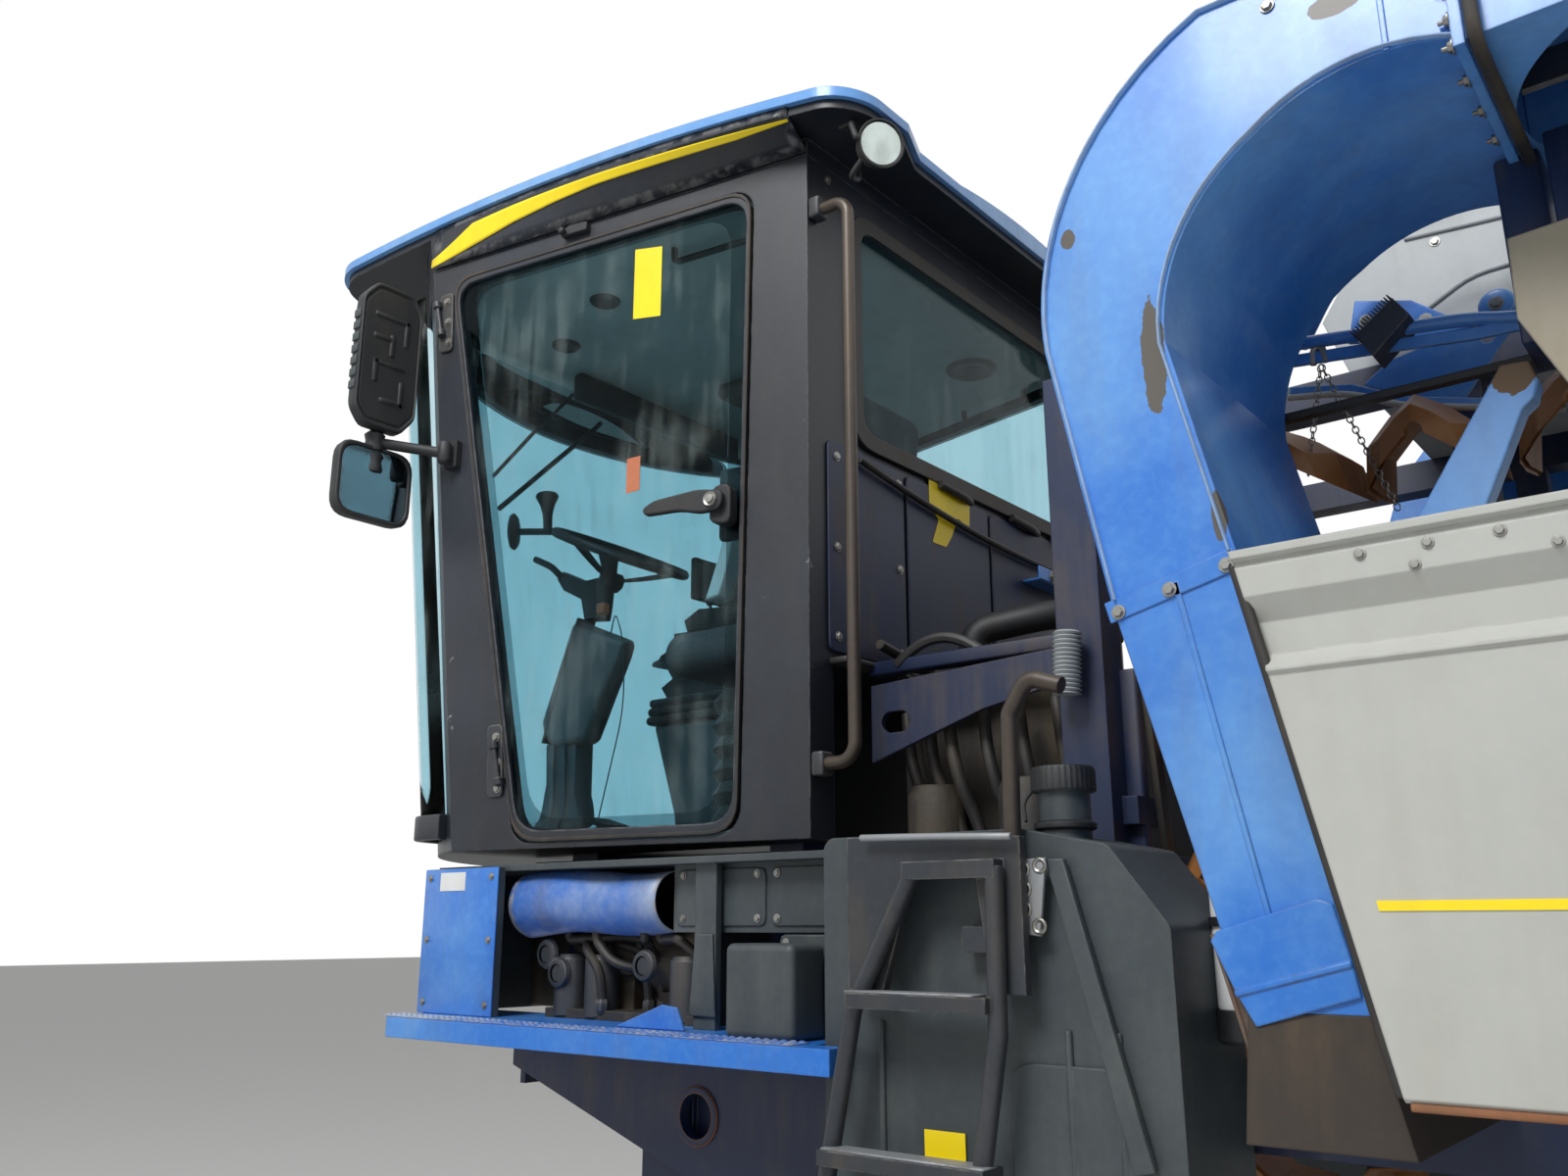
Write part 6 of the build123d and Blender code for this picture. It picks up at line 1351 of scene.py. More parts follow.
@dataclass
class Walkway:
    """Fittings of the platforms, ladder, tanks and the open bay under the cab."""

    rung_top: float = 1.4975
    rung_pitch: float = 0.24
    top: float = 1.405

    def build(self) -> None:
        """Builds the fittings."""
        self.neck()
        self.cover()
        self.panels()
        self.signs()
        self.bay()
        self.treads()
        self.tank_trim()
        self.beam_eye()

    def neck(self) -> None:
        """Ribbed cap of each tank with its tether."""
        turn = 2 * pi * np.arange(72) / 72
        wave = 0.0525 - 0.0018 * (np.arange(72) % 2)
        rows = [np.stack([size * wave * np.cos(turn), size * wave * np.sin(turn), np.full(72, height)], -1)
                for size, height in ((1.0, 0.0), (1.0, 0.032), (0.94, 0.039), (0.5, 0.04))]
        cap = grid(np.stack(rows), wrap_v=True, caps=True).moved((0.43, 0.9, 1.8115))
        collar = lathe([(0.0425, 0.0), (0.05, 0.004), (0.05, 0.012), (0.0425, 0.016)], (0.43, 0.9, 1.748),
                       (0, 0, 1), 32, closed=True)
        tether = tube([(0.475, 0.9, 1.825), (0.5, 0.91, 1.8), (0.49, 0.92, 1.765)], 0.003, 0.02, 6)
        piece("tank_caps", joined([cap, collar, tether]).both(), SOOT_PLASTIC)

    def cover(self) -> None:
        """Curled sheet below the door sill, rolled by 195 degrees about X, with wavy edges."""
        u = np.linspace(0, 1, 22)
        v = np.linspace(0, 1, 18)
        along, down = np.meshgrid(u, v, indexing="ij")
        angle = down * radians(195)
        radius = 0.06 + 0.01 * along
        x = 1.368 + 0.466 * along
        y = 0.83 + radius * np.sin(angle) + 0.004 * np.sin(9 * along + 3 * down)
        z = 1.652 + radius * np.cos(angle) - 0.006 * np.sin(7 * along) - 0.02 * np.clip(down - 0.8, 0, 1)
        z = np.minimum(z, 1.7215)
        piece("curled_sheet", grid(np.stack([x, y, z], -1)), SHEET_BLUE, thickness=0.0025,
              replaces=["curled_cover"])

    def panels(self) -> None:
        """Blue corner panels with rounded edges, sill panel overlays, strut and the screws on them."""
        corner = joined([soft_box((1.838, 0.924, 1.4055), (2.112, 0.929, 1.731), 0.0024, 3),
                         soft_box((2.109, 0.52, 1.4055), (2.114, 0.926, 1.731), 0.0024, 3)])
        piece("corner_panels", corner.both(), BRIGHT_BLUE)
        overlay = [side_slab(rounded(line, 0.015, 3, closed=True), (0.856, 0.86)) for line in (
            [(0.88, 1.6), (1.085, 1.6), (1.085, 1.712), (0.88, 1.712)],
            [(1.1, 1.6), (1.34, 1.6), (1.34, 1.712), (1.1, 1.712)])]
        lower = side_slab(rounded([(0.91, 1.41), (1.04, 1.41), (1.04, 1.585), (0.91, 1.585)], 0.012, 3,
                                  closed=True),
                          (0.882, 0.888))
        piece("sill_overlays", joined([*overlay, lower]).both(), GREY_PLASTIC, bevel=0.002)
        places = [(x, 0.9295, z) for x in (1.86, 2.09) for z in (1.43, 1.57, 1.71)]
        places += [(x, 0.8605, z) for x in (0.9, 1.07, 1.12, 1.32) for z in (1.615, 1.7)]
        places += [(x, 0.8885, z) for x in (0.925, 1.025) for z in (1.425, 1.57)]
        piece("panel_screws", bolts(places, (0, 1, 0), 0.006, 0.004).both(), ZINC)
        gusset = side_slab([(1.24, 1.406), (1.43, 1.406), (1.3, 1.452), (1.26, 1.448)], (0.93, 0.936))
        piece("platform_gussets", gusset.both(), BRIGHT_BLUE, bevel=0.001)
        strut = side_slab([(1.2, 1.43), (1.27, 1.43), (1.255, 1.585), (1.21, 1.585)], (0.886, 0.892))
        piece("sill_struts", strut.both(), GREY_PLASTIC, bevel=0.002)

    def signs(self) -> None:
        """Blank label on the corner panel and blank yellow sign on the tank."""
        label = side_slab([(1.955, 1.68), (2.05, 1.68), (2.05, 1.722), (1.955, 1.722)], (0.929, 0.9302))
        piece("corner_label", label, WHITE_FILM)
        sign = side_slab([(0.585, 1.215), (0.66, 1.215), (0.66, 1.29), (0.585, 1.29)], (0.9855, 0.9872))
        piece("tank_sign", sign, YELLOW)

    def bay(self) -> None:
        """Hydraulic hoses, fittings, filters, valve rings and back plates of the open bay."""
        runs, fittings = [], []
        generator = np.random.default_rng(7)
        for number in range(14):
            x0, x1 = 1.3 + 0.032 * number, 1.42 + 0.03 * ((number * 5) % 12)
            y0, y1 = (float(value) for value in generator.uniform(0.68, 0.84, 2))
            start, end = np.array([x0, y0, 1.44]), np.array([x1, y1, 1.6])
            middle = (start + end) / 2 + (0.0, 0.03, float(generator.uniform(-0.02, 0.08)))
            runs.append(tube([start, start + (0, 0.01, 0.07), middle, end - (0, 0, 0.03), end], 0.0105,
                             0.05, 8))
            fittings.append(lathe([(0, 0.03), (0.011, 0.03), (0.015, 0.024), (0.015, 0.008), (0.011, 0),
                                   (0, 0)],
                                  start - (0, 0, 0.02), (0, 0, 1), 6))
        piece("bay_hoses", joined(runs).both(), HOSE_RUBBER)
        filters = [lathe([(0, 0.13), (0.03, 0.13), (0.038, 0.12), (0.038, 0.0), (0, 0.0)], (x, 0.8, 1.41),
                         (0, 0, 1), 20)
                   for x in (1.36, 1.62, 1.72)]
        rings = [lathe([(0.02, 0.012), (0.03, 0.01), (0.034, 0.0), (0.0, 0.0), (0.0, 0.008),
                        (0.018, 0.008)],
                       (x, 0.835, z), (0, 1, 0), 20) for x, z in ((1.76, 1.54), (1.72, 1.5), (1.45, 1.52))]
        back = soft_box((1.27, 0.6, 1.408), (2.1, 0.606, 1.76), 0.002, 2)
        cheek = soft_box((1.27, 0.606, 1.408), (1.276, 0.84, 1.6), 0.002, 2)
        piece("bay_backs", joined([back, cheek]).both(), IRON)
        piece("bay_fittings", joined([*fittings, *filters, *rings]).both(), DARK_STEEL,
              bevel=0.001)

    def treads(self) -> None:
        """Edge strip of the platform with its studs, and the ladder's treads, strut and pale upper edge."""
        x = np.linspace(0.9, 2.06, 59)
        knob = lathe([(0, 0.0055), (0.0045, 0.0048), (0.0075, 0.002), (0.008, 0.0), (0, 0)], (0, 0, 0),
                     (0, 0, 1), 8)
        places = np.concatenate([np.stack([x + dx, np.full(len(x), y), np.full(len(x), self.top)], -1)
                                 for dx, y in ((0.0, 1.036), (0.01, 1.016), (0.0, 0.996))])
        strip = soft_box((0.89, 0.985, self.top), (2.075, 1.046, self.top + 0.002), 0.0009, 2)
        piece("platform_studs", joined([copies(knob, places), strip]).both(), SHEET_BLUE)
        cap = tube([(0.444, 1.052, 1.733), (0.6, 1.052, 1.739), (0.728, 1.052, 1.742)], 0.006)
        holes = [lathe([(0.006, 0.0), (0.01, 0.0025), (0.013, 0.0), (0.006, 0.0)], (x, 1.012, z),
                       (0, 1, 0), 12)
                 for x, z in ((0.449, 1.685), (0.448, 1.655), (0.449, 1.625), (0.42, 1.69), (0.425, 1.6))]
        ear = side_slab([(0.41, 1.702), (0.462, 1.7), (0.465, 1.59), (0.425, 1.585)], (1.004, 1.0115))
        piece("ladder_trim", joined([cap, ear]), PALE_STEEL, bevel=0.001)
        piece("ladder_holes", joined(holes), ZINC)
        treads = [soft_box((0.5 + 0.008 * (k == 0), 1.036, z - 0.002),
                           (0.8 - 0.05 * (k == 0), 1.078, z + 0.003), 0.002, 2)
                  for k, z in enumerate(self.rung_top - self.rung_pitch * np.arange(5))]
        strut = side_slab([(0.415, 1.7), (0.385, 1.7), (0.27, 1.27), (0.3, 1.262)], (0.99, 1.004))
        piece("ladder_struts", strut, GREY_PLASTIC, bevel=0.002)
        piece("rung_treads", joined(treads), PALE_STEEL)

    def tank_trim(self) -> None:
        """Moulded ribs, drain plug and raised panel of each tank."""
        ribs = [tube([(x, 0.9855, 1.0), (x, 0.9855, 1.45)], 0.006, sides=8) for x in (0.32, 0.4, 0.74)]
        plug = lathe([(0, 0.02), (0.018, 0.02), (0.022, 0.014), (0.022, 0), (0, 0)], (0.36, 0.9855, 0.95),
                     (0, 1, 0), 6)
        lip = side_slab(rounded([(0.3, 1.05), (0.5, 1.05), (0.5, 1.4), (0.3, 1.4)], 0.04, 5, closed=True),
                        (0.985, 0.9885))
        piece("tank_mouldings", joined([*ribs, plug, lip]).both(), GREY_PLASTIC,
              bevel=0.002)

    def beam_eye(self) -> None:
        """Rust-brown ring welded round the hole in the beam's plate."""
        ring = lathe([(0.0425, 0.0), (0.056, 0.0), (0.056, 0.004), (0.0425, 0.006)], (1.29, 0.8402, 1.24),
                     (0, 1, 0), 40, closed=True)
        piece("beam_rings", ring.both(), RUST)


@dataclass
class EngineRoom:
    """Pipes, hoses, posts and blocks in the dark space between the cab and the duct."""

    def build(self) -> None:
        """Builds the fittings; the bottles stand on both sides."""
        generator = np.random.default_rng(21)
        hoses = []
        for number in range(12):
            y = 0.1 + 0.045 * number
            start = np.array([1.0 - 0.02 * (number % 3), y, 2.1 + 0.012 * (number % 4)])
            end = np.array([0.66 + 0.03 * (number % 4), y + float(generator.uniform(-0.08, 0.06)), 2.13])
            hoses.append(hanging(start, end, float(generator.uniform(-0.05, 0.12)),
                                 0.012 + 0.004 * (number % 3 == 0)))
        for number in range(6):
            y = float(generator.uniform(0.5, 0.62))
            hoses.append(tube([(0.98 - 0.07 * number, y, 2.04), (0.95 - 0.07 * number, y + 0.03, 1.9),
                               (0.9 - 0.06 * number, y - 0.02, 1.78), (0.86 - 0.06 * number, y, 1.6)],
                              0.013, 0.09))
        piece("engine_hoses", joined(hoses), HOSE_RUBBER)
        ribs = [point for k in range(15) for point in ((0.027, 0.008 * k), (0.021, 0.008 * k + 0.004))]
        sleeve = lathe([(0, 0.0), *ribs, (0, 0.12)], (0.505, 0.72, 2.005), (-0.06, 0, 1), 22)
        piece("pale_bellows", sleeve, HOOD_GREY, smooth=30)
        posts = [soft_box((0.5, 0.58, 1.7), (0.56, 0.62, 2.2), 0.006),
                 soft_box((0.42, 0.585, 1.4), (0.46, 0.615, 2.06), 0.006),
                 soft_box((0.46, 0.56, 2.12), (1.03, 0.6, 2.15), 0.005)]
        piece("engine_posts", joined(posts).both(), NAVY)
        cover = [soft_box((0.64, -0.4, 2.08), (0.98, 0.4, 2.15), 0.02, 4)]
        cover += [soft_box((0.66, y, 2.148), (0.96, y + 0.02, 2.162), 0.006, 3)
                  for y in np.linspace(-0.36, 0.34, 12)]
        cover += [lathe([(0, 0.05), (0.03, 0.05), (0.036, 0.044), (0.036, 0.0), (0, 0)], (0.8, -0.2, 2.15),
                        (0, 0, 1), 8)]
        pots = [lathe([(0, 0.22), (0.05, 0.22), (0.06, 0.2), (0.06, 0.0), (0, 0.0)], (x, y, 1.66),
                      (0, 0, 1), 24)
                for x, y in ((0.68, 0.56), (0.9, 0.55))]
        piece("engine_covers", joined([*cover, *pots]), IRON, bevel=0.003)
        pipe = tube([(0.95, 0.3, 2.16), (0.95, 0.3, 2.26), (0.75, 0.2, 2.3), (0.62, -0.1, 2.3),
                     (0.62, -0.4, 2.14)], 0.034, 0.1, 14)
        clamps = [lathe([(0.034, 0.0), (0.038, 0.002), (0.038, 0.012), (0.034, 0.014)], (0.95, 0.3, z),
                        (0, 0, 1), 24, True)
                  for z in (2.17, 2.2)]
        piece("air_pipe", joined([pipe, *clamps]), SOOT_PLASTIC)
        flap = lathe([(0.0455, -0.004), (0.05, -0.004), (0.05, 0.006), (0.0455, 0.006)],
                     (0.8, -0.56, 3.14), (0, 0, 1), 28, closed=True)
        shield = [lathe([(0.0465, 0.0), (0.058, 0.004), (0.058, 0.07), (0.0465, 0.074)], (0.8, -0.56, z),
                        (0, 0, 1), 28, closed=True) for z in (2.35, 2.55, 2.75)]
        piece("exhaust_shields", joined([flap, *shield]), RUST)
        self.bottles()

    def bottles(self) -> None:
        """Pale bottle with a black base and a clip behind each tank."""
        body = lathe([(0, 0.0), (0.028, 0.0), (0.032, 0.008), (0.032, 0.19), (0.024, 0.205), (0, 0.205)],
                     (0.2, 0.82, 1.475), (0, 0, 1), 28)
        piece("pale_bottles", body.both(), WHITE_FILM)
        base = lathe([(0, 0.0), (0.03, 0.0), (0.036, 0.006), (0.036, 0.05), (0, 0.05)], (0.2, 0.82, 1.43),
                     (0, 0, 1), 28)
        clip = lathe([(0.0325, 0.0), (0.036, 0.0), (0.036, 0.014), (0.0325, 0.014)], (0.2, 0.82, 1.6),
                     (0, 0, 1), 28, True)
        bracket = soft_box((0.19, 0.7, 1.43), (0.22, 0.82, 1.445), 0.004, 3)
        piece("bottle_clips", joined([base, clip, bracket]).both(), SOOT_PLASTIC)


# Arch duct and the gear under it


def arc3(first: Point, middle: Point, last: Point, steps: int = 12) -> Array:
    """Circular arc through three points of one plane: centre + r (cos a, sin a).

    Args:
        first, middle, last: X and Z of the three points.
        steps: how many points the arc has.

    Returns:
        The arc's points from first to last.
    """
    a, b, c = (np.asarray(point, float) for point in (first, middle, last))
    rows = 2 * np.stack([b - a, c - a])
    centre = np.linalg.solve(rows, np.array([b @ b - a @ a, c @ c - a @ a]))
    turn = np.unwrap(np.array([atan2(*(point - centre)[::-1]) for point in (a, b, c)]))
    angles = np.linspace(turn[0], turn[2], steps)
    return centre + np.linalg.norm(a - centre) * np.stack([np.cos(angles), np.sin(angles)], -1)


def on_side(line: Array, y: float) -> Array:
    """Points of X and Z carried to a value of Y."""
    line = np.asarray(line, float)
    return np.column_stack([line[:, 0], np.full(len(line), y), line[:, 1]])


def holed_plate(outline: Sequence[Point], hole: tuple[float, float, float], y: tuple[float, float],
                steps: int = 40) -> Skin:
    """A plate with a round hole: rings run from the hole's edge to the outline along equal steps of angle.

    Args:
        outline: X, Z corners, seen whole from the hole's centre.
        hole: the hole's X, Z and radius.
        y: the plate's two faces.
        steps: rays round the hole.

    Returns:
        The plate; each ray's outer end is the outline's point where the ray crosses it.
    """
    corners = np.asarray(outline, float) - np.array(hole[:2])
    turn = 2 * pi * np.arange(steps) / steps
    rays = np.stack([np.cos(turn), np.sin(turn)], -1)
    start, end = corners, np.roll(corners, -1, 0)
    run = end - start
    cross = rays[:, None, 0] * run[None, :, 1] - rays[:, None, 1] * run[None, :, 0]
    cross = np.where(np.abs(cross) < 1e-9, 1e-9, cross)
    reach = (start[None, :, 0] * run[None, :, 1] - start[None, :, 1] * run[None, :, 0]) / cross
    share = (start[None, :, 0] * rays[:, None, 1] - start[None, :, 1] * rays[:, None, 0]) / cross
    reach = np.where((share >= -1e-9) & (share <= 1 + 1e-9) & (reach > 0), reach, np.inf).min(1)
    outer, inner = rays * reach[:, None] + hole[:2], rays * hole[2] + np.array(hole[:2])
    rings = [on_side(inner, y[0]), on_side(outer, y[0]), on_side(outer, y[1]), on_side(inner, y[1])]
    return grid(np.stack(rings), wrap_u=True, wrap_v=True)


def chain(start: Point, end: Point, pitch: float = 0.011, wire: float = 0.0013) -> Skin:
    """Links from start to end, every other one turned a quarter about the run.

    Each link is an oval (0.45 p cos a, 0.66 p sin a) of pitch p with a round wire along it.

    Args:
        start, end: the chain's two ends.
        pitch: length that one link adds.
        wire: radius of the wire.

    Returns:
        The chain's surface.
    """
    start, end = np.asarray(start, float), np.asarray(end, float)
    run = end - start
    count = max(2, int(np.linalg.norm(run) / pitch))
    turn = 2 * pi * np.arange(10) / 10
    long = pitch * 0.66
    loop = np.stack([0.45 * pitch * np.cos(turn), np.zeros(10), long * np.sin(turn)], -1)
    section = circle(wire, 4)
    outward, sideways = section[None, :, :1], section[None, :, 1:]
    ring = loop[:, None] + outward * unit(loop)[:, None] + sideways * np.array([0.0, 1.0, 0.0])
    link = grid(ring, wrap_u=True, wrap_v=True)
    across = np.eye(3)[np.argmin(np.abs(run))]
    other = np.cross(unit(run), across)
    places = line_of(start + run / count / 2, end - run / count / 2, count)
    return joined(link.placed(place, across if k % 2 else other, run) for k, place in enumerate(places))


@dataclass
class Ducts:
    """Pale lips, seams, studs and plates of the arch ducts, and the chute at their foot."""

    far_y: float = 1.18
    flange_x: float = -0.335
    inner: tuple = ((0.088, 2.400), (0.045, 2.565), (-0.065, 2.670), (-0.205, 2.718), (-0.321, 2.692))
    outer: tuple = ((-0.321, 2.9), (0.0, 2.908), (0.221, 2.712), (0.276, 2.440))

    def build(self) -> None:
        """Builds the fittings."""
        self.lips()
        self.seams()
        self.flange()
        self.chute()

    def contour(self, inside: bool) -> Array:
        """Edge line of the arch in X and Z, from arcs through its table.

        Args:
            inside: whether it is the inner line.

        Returns:
            The line's points, from the foot upwards.
        """
        if inside:
            first, second = arc3(*self.inner[:3]), arc3(*self.inner[2:])
            leg = line_of((0.017, 2.08), self.inner[0], 6)
            return np.concatenate([leg[:-1], first[:-1], second])
        leg = line_of((0.196, 2.036), self.outer[3], 5)
        return np.concatenate([leg[:-1], arc3(*self.outer[:0:-1]),
                               line_of(self.outer[1], self.outer[0], 6)[1:]])

    def lips(self) -> None:
        """Narrow turned edges along both contours of the outer cheek, pale partly from worn paint and partly
        as a painted highlight of the flange's lit edge.
        """
        shapes = []
        for inside in (True, False):
            line = self.contour(inside)
            path = on_side(line, self.far_y + 0.0018)
            flat = rounded([(-0.0065, -0.0018), (0.0065, -0.0018), (0.0065, 0.0018), (-0.0065, 0.0018)],
                           0.0012, 2, True)
            inward = 0.0075 if inside else -0.0075
            tangent = unit(np.gradient(line, axis=0))
            push = np.stack([tangent[:, 1], -tangent[:, 0]], -1) * inward
            path = path + on_side(push, 0.0)
            shapes.append(sweep(path, flat[:, ::-1], up=(0, 1, 0)))
        piece("duct_lips", joined(shapes).both(), PALE_EDGE)

    def seams(self) -> None:
        """Overlapping plates of the arch and the straight duct, with their screws."""
        y = (self.far_y, self.far_y + 0.0028)
        strips = [side_slab([(0.014, 2.052), (0.198, 2.006), (0.206, 2.036), (0.02, 2.083)], y),
                  side_slab([(-0.247, 2.8), (-0.239, 2.8), (-0.239, 2.717), (-0.247, 2.716)], y),
                  side_slab([(0.098, 2.05), (0.106, 2.048), (0.022, 1.612), (0.014, 1.612)], y)]
        piece("duct_overlap", joined(strips).both(), BRIGHT_BLUE, bevel=0.001)
        places = [(0.03, 1.183, 2.06), (0.11, 1.183, 2.04), (0.185, 1.183, 2.02), (-0.1, 1.181, 2.86)]
        heads = bolts(places, (0, 1, 0), 0.0075, 0.006)
        piece("duct_screws", heads.both(), ZINC)

    def flange(self) -> None:
        """Studs with nuts through the arch's end flange, and the fan throat's rubber joint."""
        x = self.flange_x + 0.014
        rows = [(x, y, z) for y in np.linspace(0.675, 1.185, 7) for z in (2.682, 2.908)]
        rows += [(x, y, z) for y in (0.673, 1.187) for z in np.linspace(2.72, 2.87, 4)]
        stems = [tube([(px, py, pz), (px + 0.014, py, pz)], 0.0035, sides=8) for px, py, pz in rows]
        piece("flange_studs", joined([bolts(rows, (1, 0, 0), 0.008, 0.007), *stems]).both(), ZINC)
        loop = rounded([(0.662, 2.672), (1.198, 2.672), (1.198, 2.918), (0.662, 2.918)], 0.03, 4,
                       closed=True)
        path = np.column_stack([np.full(len(loop), -0.347), loop])
        piece("flange_joint", sweep(path, circle(0.009, 8), up=(1, 0, 0), closed=True).both(), HOSE_RUBBER)

    def chute(self) -> None:
        """Brown sheet chute under each duct, with its cheek and the folded plate above."""
        y = np.linspace(0.7, 1.176, 12)
        line = rounded([(0.094, 1.59), (0.05, 1.42), (0.04, 1.382), (0.003, 1.368), (-0.058, 1.372),
                        (-0.108, 1.381)],
                       0.03, 4)
        along = line_of((0, 0), (1, 0), len(line))[:, 0]
        rows = np.stack([on_side(line, value) for value in y], 1)
        rows[..., 2] += 0.004 * np.sin(5 * along)[:, None] * np.sin(9 * y)[None]
        piece("chute_sheets", grid(rows).both(), CHUTE_BROWN, thickness=0.004)
        cheek = [(0.09, 1.585), (0.048, 1.42), (0.036, 1.386), (0.003, 1.374), (-0.058, 1.377),
                 (-0.1, 1.385), (-0.07, 1.5), (-0.06, 1.6)]
        piece("chute_cheeks", side_slab(cheek, (1.168, 1.173)).both(), CHUTE_BROWN,
              bevel=0.001)
        plate = [(0.093, 1.582), (0.085, 1.594), (-0.041, 1.632), (-0.059, 1.626), (-0.075, 1.556),
                 (-0.081, 1.52), (0.045, 1.482), (0.066, 1.52)]
        fold = side_slab([(0.066, 1.516), (0.068, 1.523), (-0.073, 1.561), (-0.075, 1.554)], (1.18, 1.1875))
        piece("duct_foot_plates", joined([side_slab(plate, (1.18, 1.1848)), fold]).both(), BRIGHT_BLUE,
              bevel=0.0015)


@dataclass
class ArchGear:
    """Pipes, rails, brackets, chains and lamps that hang inside the arch, and the hood's seams."""

    def build(self) -> None:
        """Builds the gear on both sides."""
        self.hood()
        self.pipes()
        self.plates()
        self.lamp()
        self.legs()

    def hood(self) -> None:
        """Pressed ridges, long groove, screws and roof bars of the top hood, and the cooler's slats."""
        y = 0.3302
        ridge = rounded([(-0.067, 2.885), (-0.18, 2.875), (-0.316, 2.865), (-1.24, 2.865)], 0.03, 4)
        groove = rounded([(-0.072, 2.721), (-0.168, 2.772), (-0.232, 2.774), (-1.24, 2.774)], 0.03, 4)
        shapes = [sweep(on_side(line, y), circle(0.0055, 8)) for line in (ridge, groove)]
        back = [sweep(on_side(np.array([(-0.3 - 0.24 * k, 2.66), (-0.3 - 0.24 * k, 2.76)]), y),
                      circle(0.004, 8))
                for k in range(4)]
        piece("hood_ridges", joined([*shapes, *back]).both(), HOOD_GREY)
        places = [(-0.118, y, 2.861), (-0.4, y, 2.82), (-0.8, y, 2.82), (-1.2, y, 2.82), (-0.25, y, 2.69)]
        screws = bolts(places, (0, 1, 0), 0.007, 0.005)
        piece("hood_screws", screws.both(), ZINC)
        bars = [soft_box((x, -0.3, 3.0098), (x + 0.014, 0.3, 3.0225), 0.005, 3)
                for x in np.linspace(-1.2, -0.24, 9)]
        piece("hood_roof_bars", joined(bars), HOOD_GREY)
        slats = [soft_box((-1.78 + 0.022 * k, y0, 2.72), (-1.77 + 0.022 * k, y0 + 0.006, 2.94), 0.002, 2)
                 for k in range(23) for y0 in (0.4195, -0.4255)]
        piece("cooler_slats", joined(slats), DARK_STEEL)

    def pipes(self) -> None:
        """Bent pipe, rails and bars at their depths under the arch."""
        pipe = tube([(0.1, 0.5, 2.645), (0.04, 0.5, 2.74), (-0.017, 0.5, 2.791), (-0.09, 0.5, 2.84),
                     (-0.17, 0.5, 2.852), (-0.34, 0.5, 2.836), (-0.58, 0.5, 2.84)], 0.014, 0.05)
        rail = tube([(0.087, 0.6, 2.609), (-0.048, 0.6, 2.59), (-0.199, 0.6, 2.569), (-0.268, 0.6, 2.547),
                     (-0.6, 0.6, 2.54)],
                    0.012, 0.04)
        bar = side_slab([(0.087, 2.588), (-0.048, 2.572), (-0.199, 2.551), (-0.6, 2.52), (-0.6, 2.505),
                         (-0.199, 2.53), (-0.048, 2.55), (0.087, 2.566)], (0.596, 0.604))
        piece("arch_pipes", joined([pipe, rail, bar]).both(), BRIGHT_BLUE, bevel=0.001)
        guide = side_slab([(0.124, 2.571), (0.018, 2.547), (-0.075, 2.497), (-0.3, 2.43), (-0.3, 2.41),
                           (-0.057, 2.483), (0.02, 2.528), (0.128, 2.549)], (0.49, 0.506))
        lip = tube([(0.128, 0.507, 2.549), (0.02, 0.507, 2.53), (-0.057, 0.507, 2.483),
                    (-0.3, 0.507, 2.412)], 0.006)
        piece("guide_rails", guide.both(), BRIGHT_BLUE, bevel=0.002)
        piece("guide_rail_edges", lip.both(), HOPPER_PAINT)

    def plates(self) -> None:
        """Bracket plates, the holed plate, the round ear with its bolt and the beige guard."""
        upper = side_slab([(0.016, 2.747), (0.036, 2.664), (-0.06, 2.64), (-0.176, 2.633), (-0.08, 2.717)],
                          (0.41, 0.416))
        lower = holed_plate([(-0.243, 2.615), (-0.133, 2.48), (0.046, 2.587), (-0.12, 2.62),
                             (-0.223, 2.63)],
                            (-0.196, 2.602, 0.012), (0.426, 0.432))
        ear = lathe([(0.0, 0.006), (0.01, 0.006), (0.026, 0.004), (0.03, 0.0), (0.03, -0.012), (0, -0.012)],
                    (-0.222, 0.462, 2.642), (0, 1, 0), 28)
        piece("arch_brackets", joined([upper, lower, ear]).both(), BRIGHT_BLUE, bevel=0.0015)
        heads = bolts([(-0.222, 0.468, 2.642), (0.0, 0.416, 2.7), (-0.1, 0.416, 2.67)], (0, 1, 0), 0.009,
                      0.008)
        piece("arch_bracket_bolts", heads.both(), ZINC)
        guard = side_slab([(-0.308, 2.542), (-0.382, 2.546), (-0.6, 2.55), (-0.6, 2.3), (-0.351, 2.309),
                           (-0.305, 2.418)],
                          (0.895, 0.9))
        piece("fan_guards", guard.both(), GUARD_BEIGE, bevel=0.0015)
        post = soft_box((-0.41, 0.88, 2.3), (-0.37, 0.894, 2.691), 0.004, 3)
        piece("guard_posts", post.both(), NAVY)

    def lamp(self) -> None:
        """Finned lamp under the arch, its shackle, and the two chains."""
        centre = np.array([-0.077, 2.579])
        corners = [(-0.03, 2.577), (-0.097, 2.627), (-0.121, 2.588), (-0.054, 2.529)]
        start, run, out = np.array(corners[0]), np.array([-0.067, 0.05]), np.array([0.6, 0.8]) * 0.014
        roots = [start + run * share for share in np.linspace(0.0, 0.955, 15)]
        fins = [side_slab([root, root + run * 0.025, root + run * 0.025 + out, root + out], (0.575, 0.635))
                for root in roots]
        body = side_slab(centre + (np.asarray(corners) - centre) * 0.97, (0.57, 0.64))
        piece("arch_lamps", joined([body, *fins]).both(), DARK_STEEL, bevel=0.001)
        links = [chain((0.04, 0.6, 2.556), (0.082, 0.6, 2.36)),
                 chain((0.04, 0.6, 2.556), (-0.055, 0.6, 2.268))]
        shackle = tube([(0.03, 0.6, 2.56), (0.035, 0.6, 2.59), (0.05, 0.6, 2.59), (0.052, 0.6, 2.56)],
                       0.006, 0.012, 8)
        piece("arch_chains", joined([*links, shackle]).both(), ZINC)

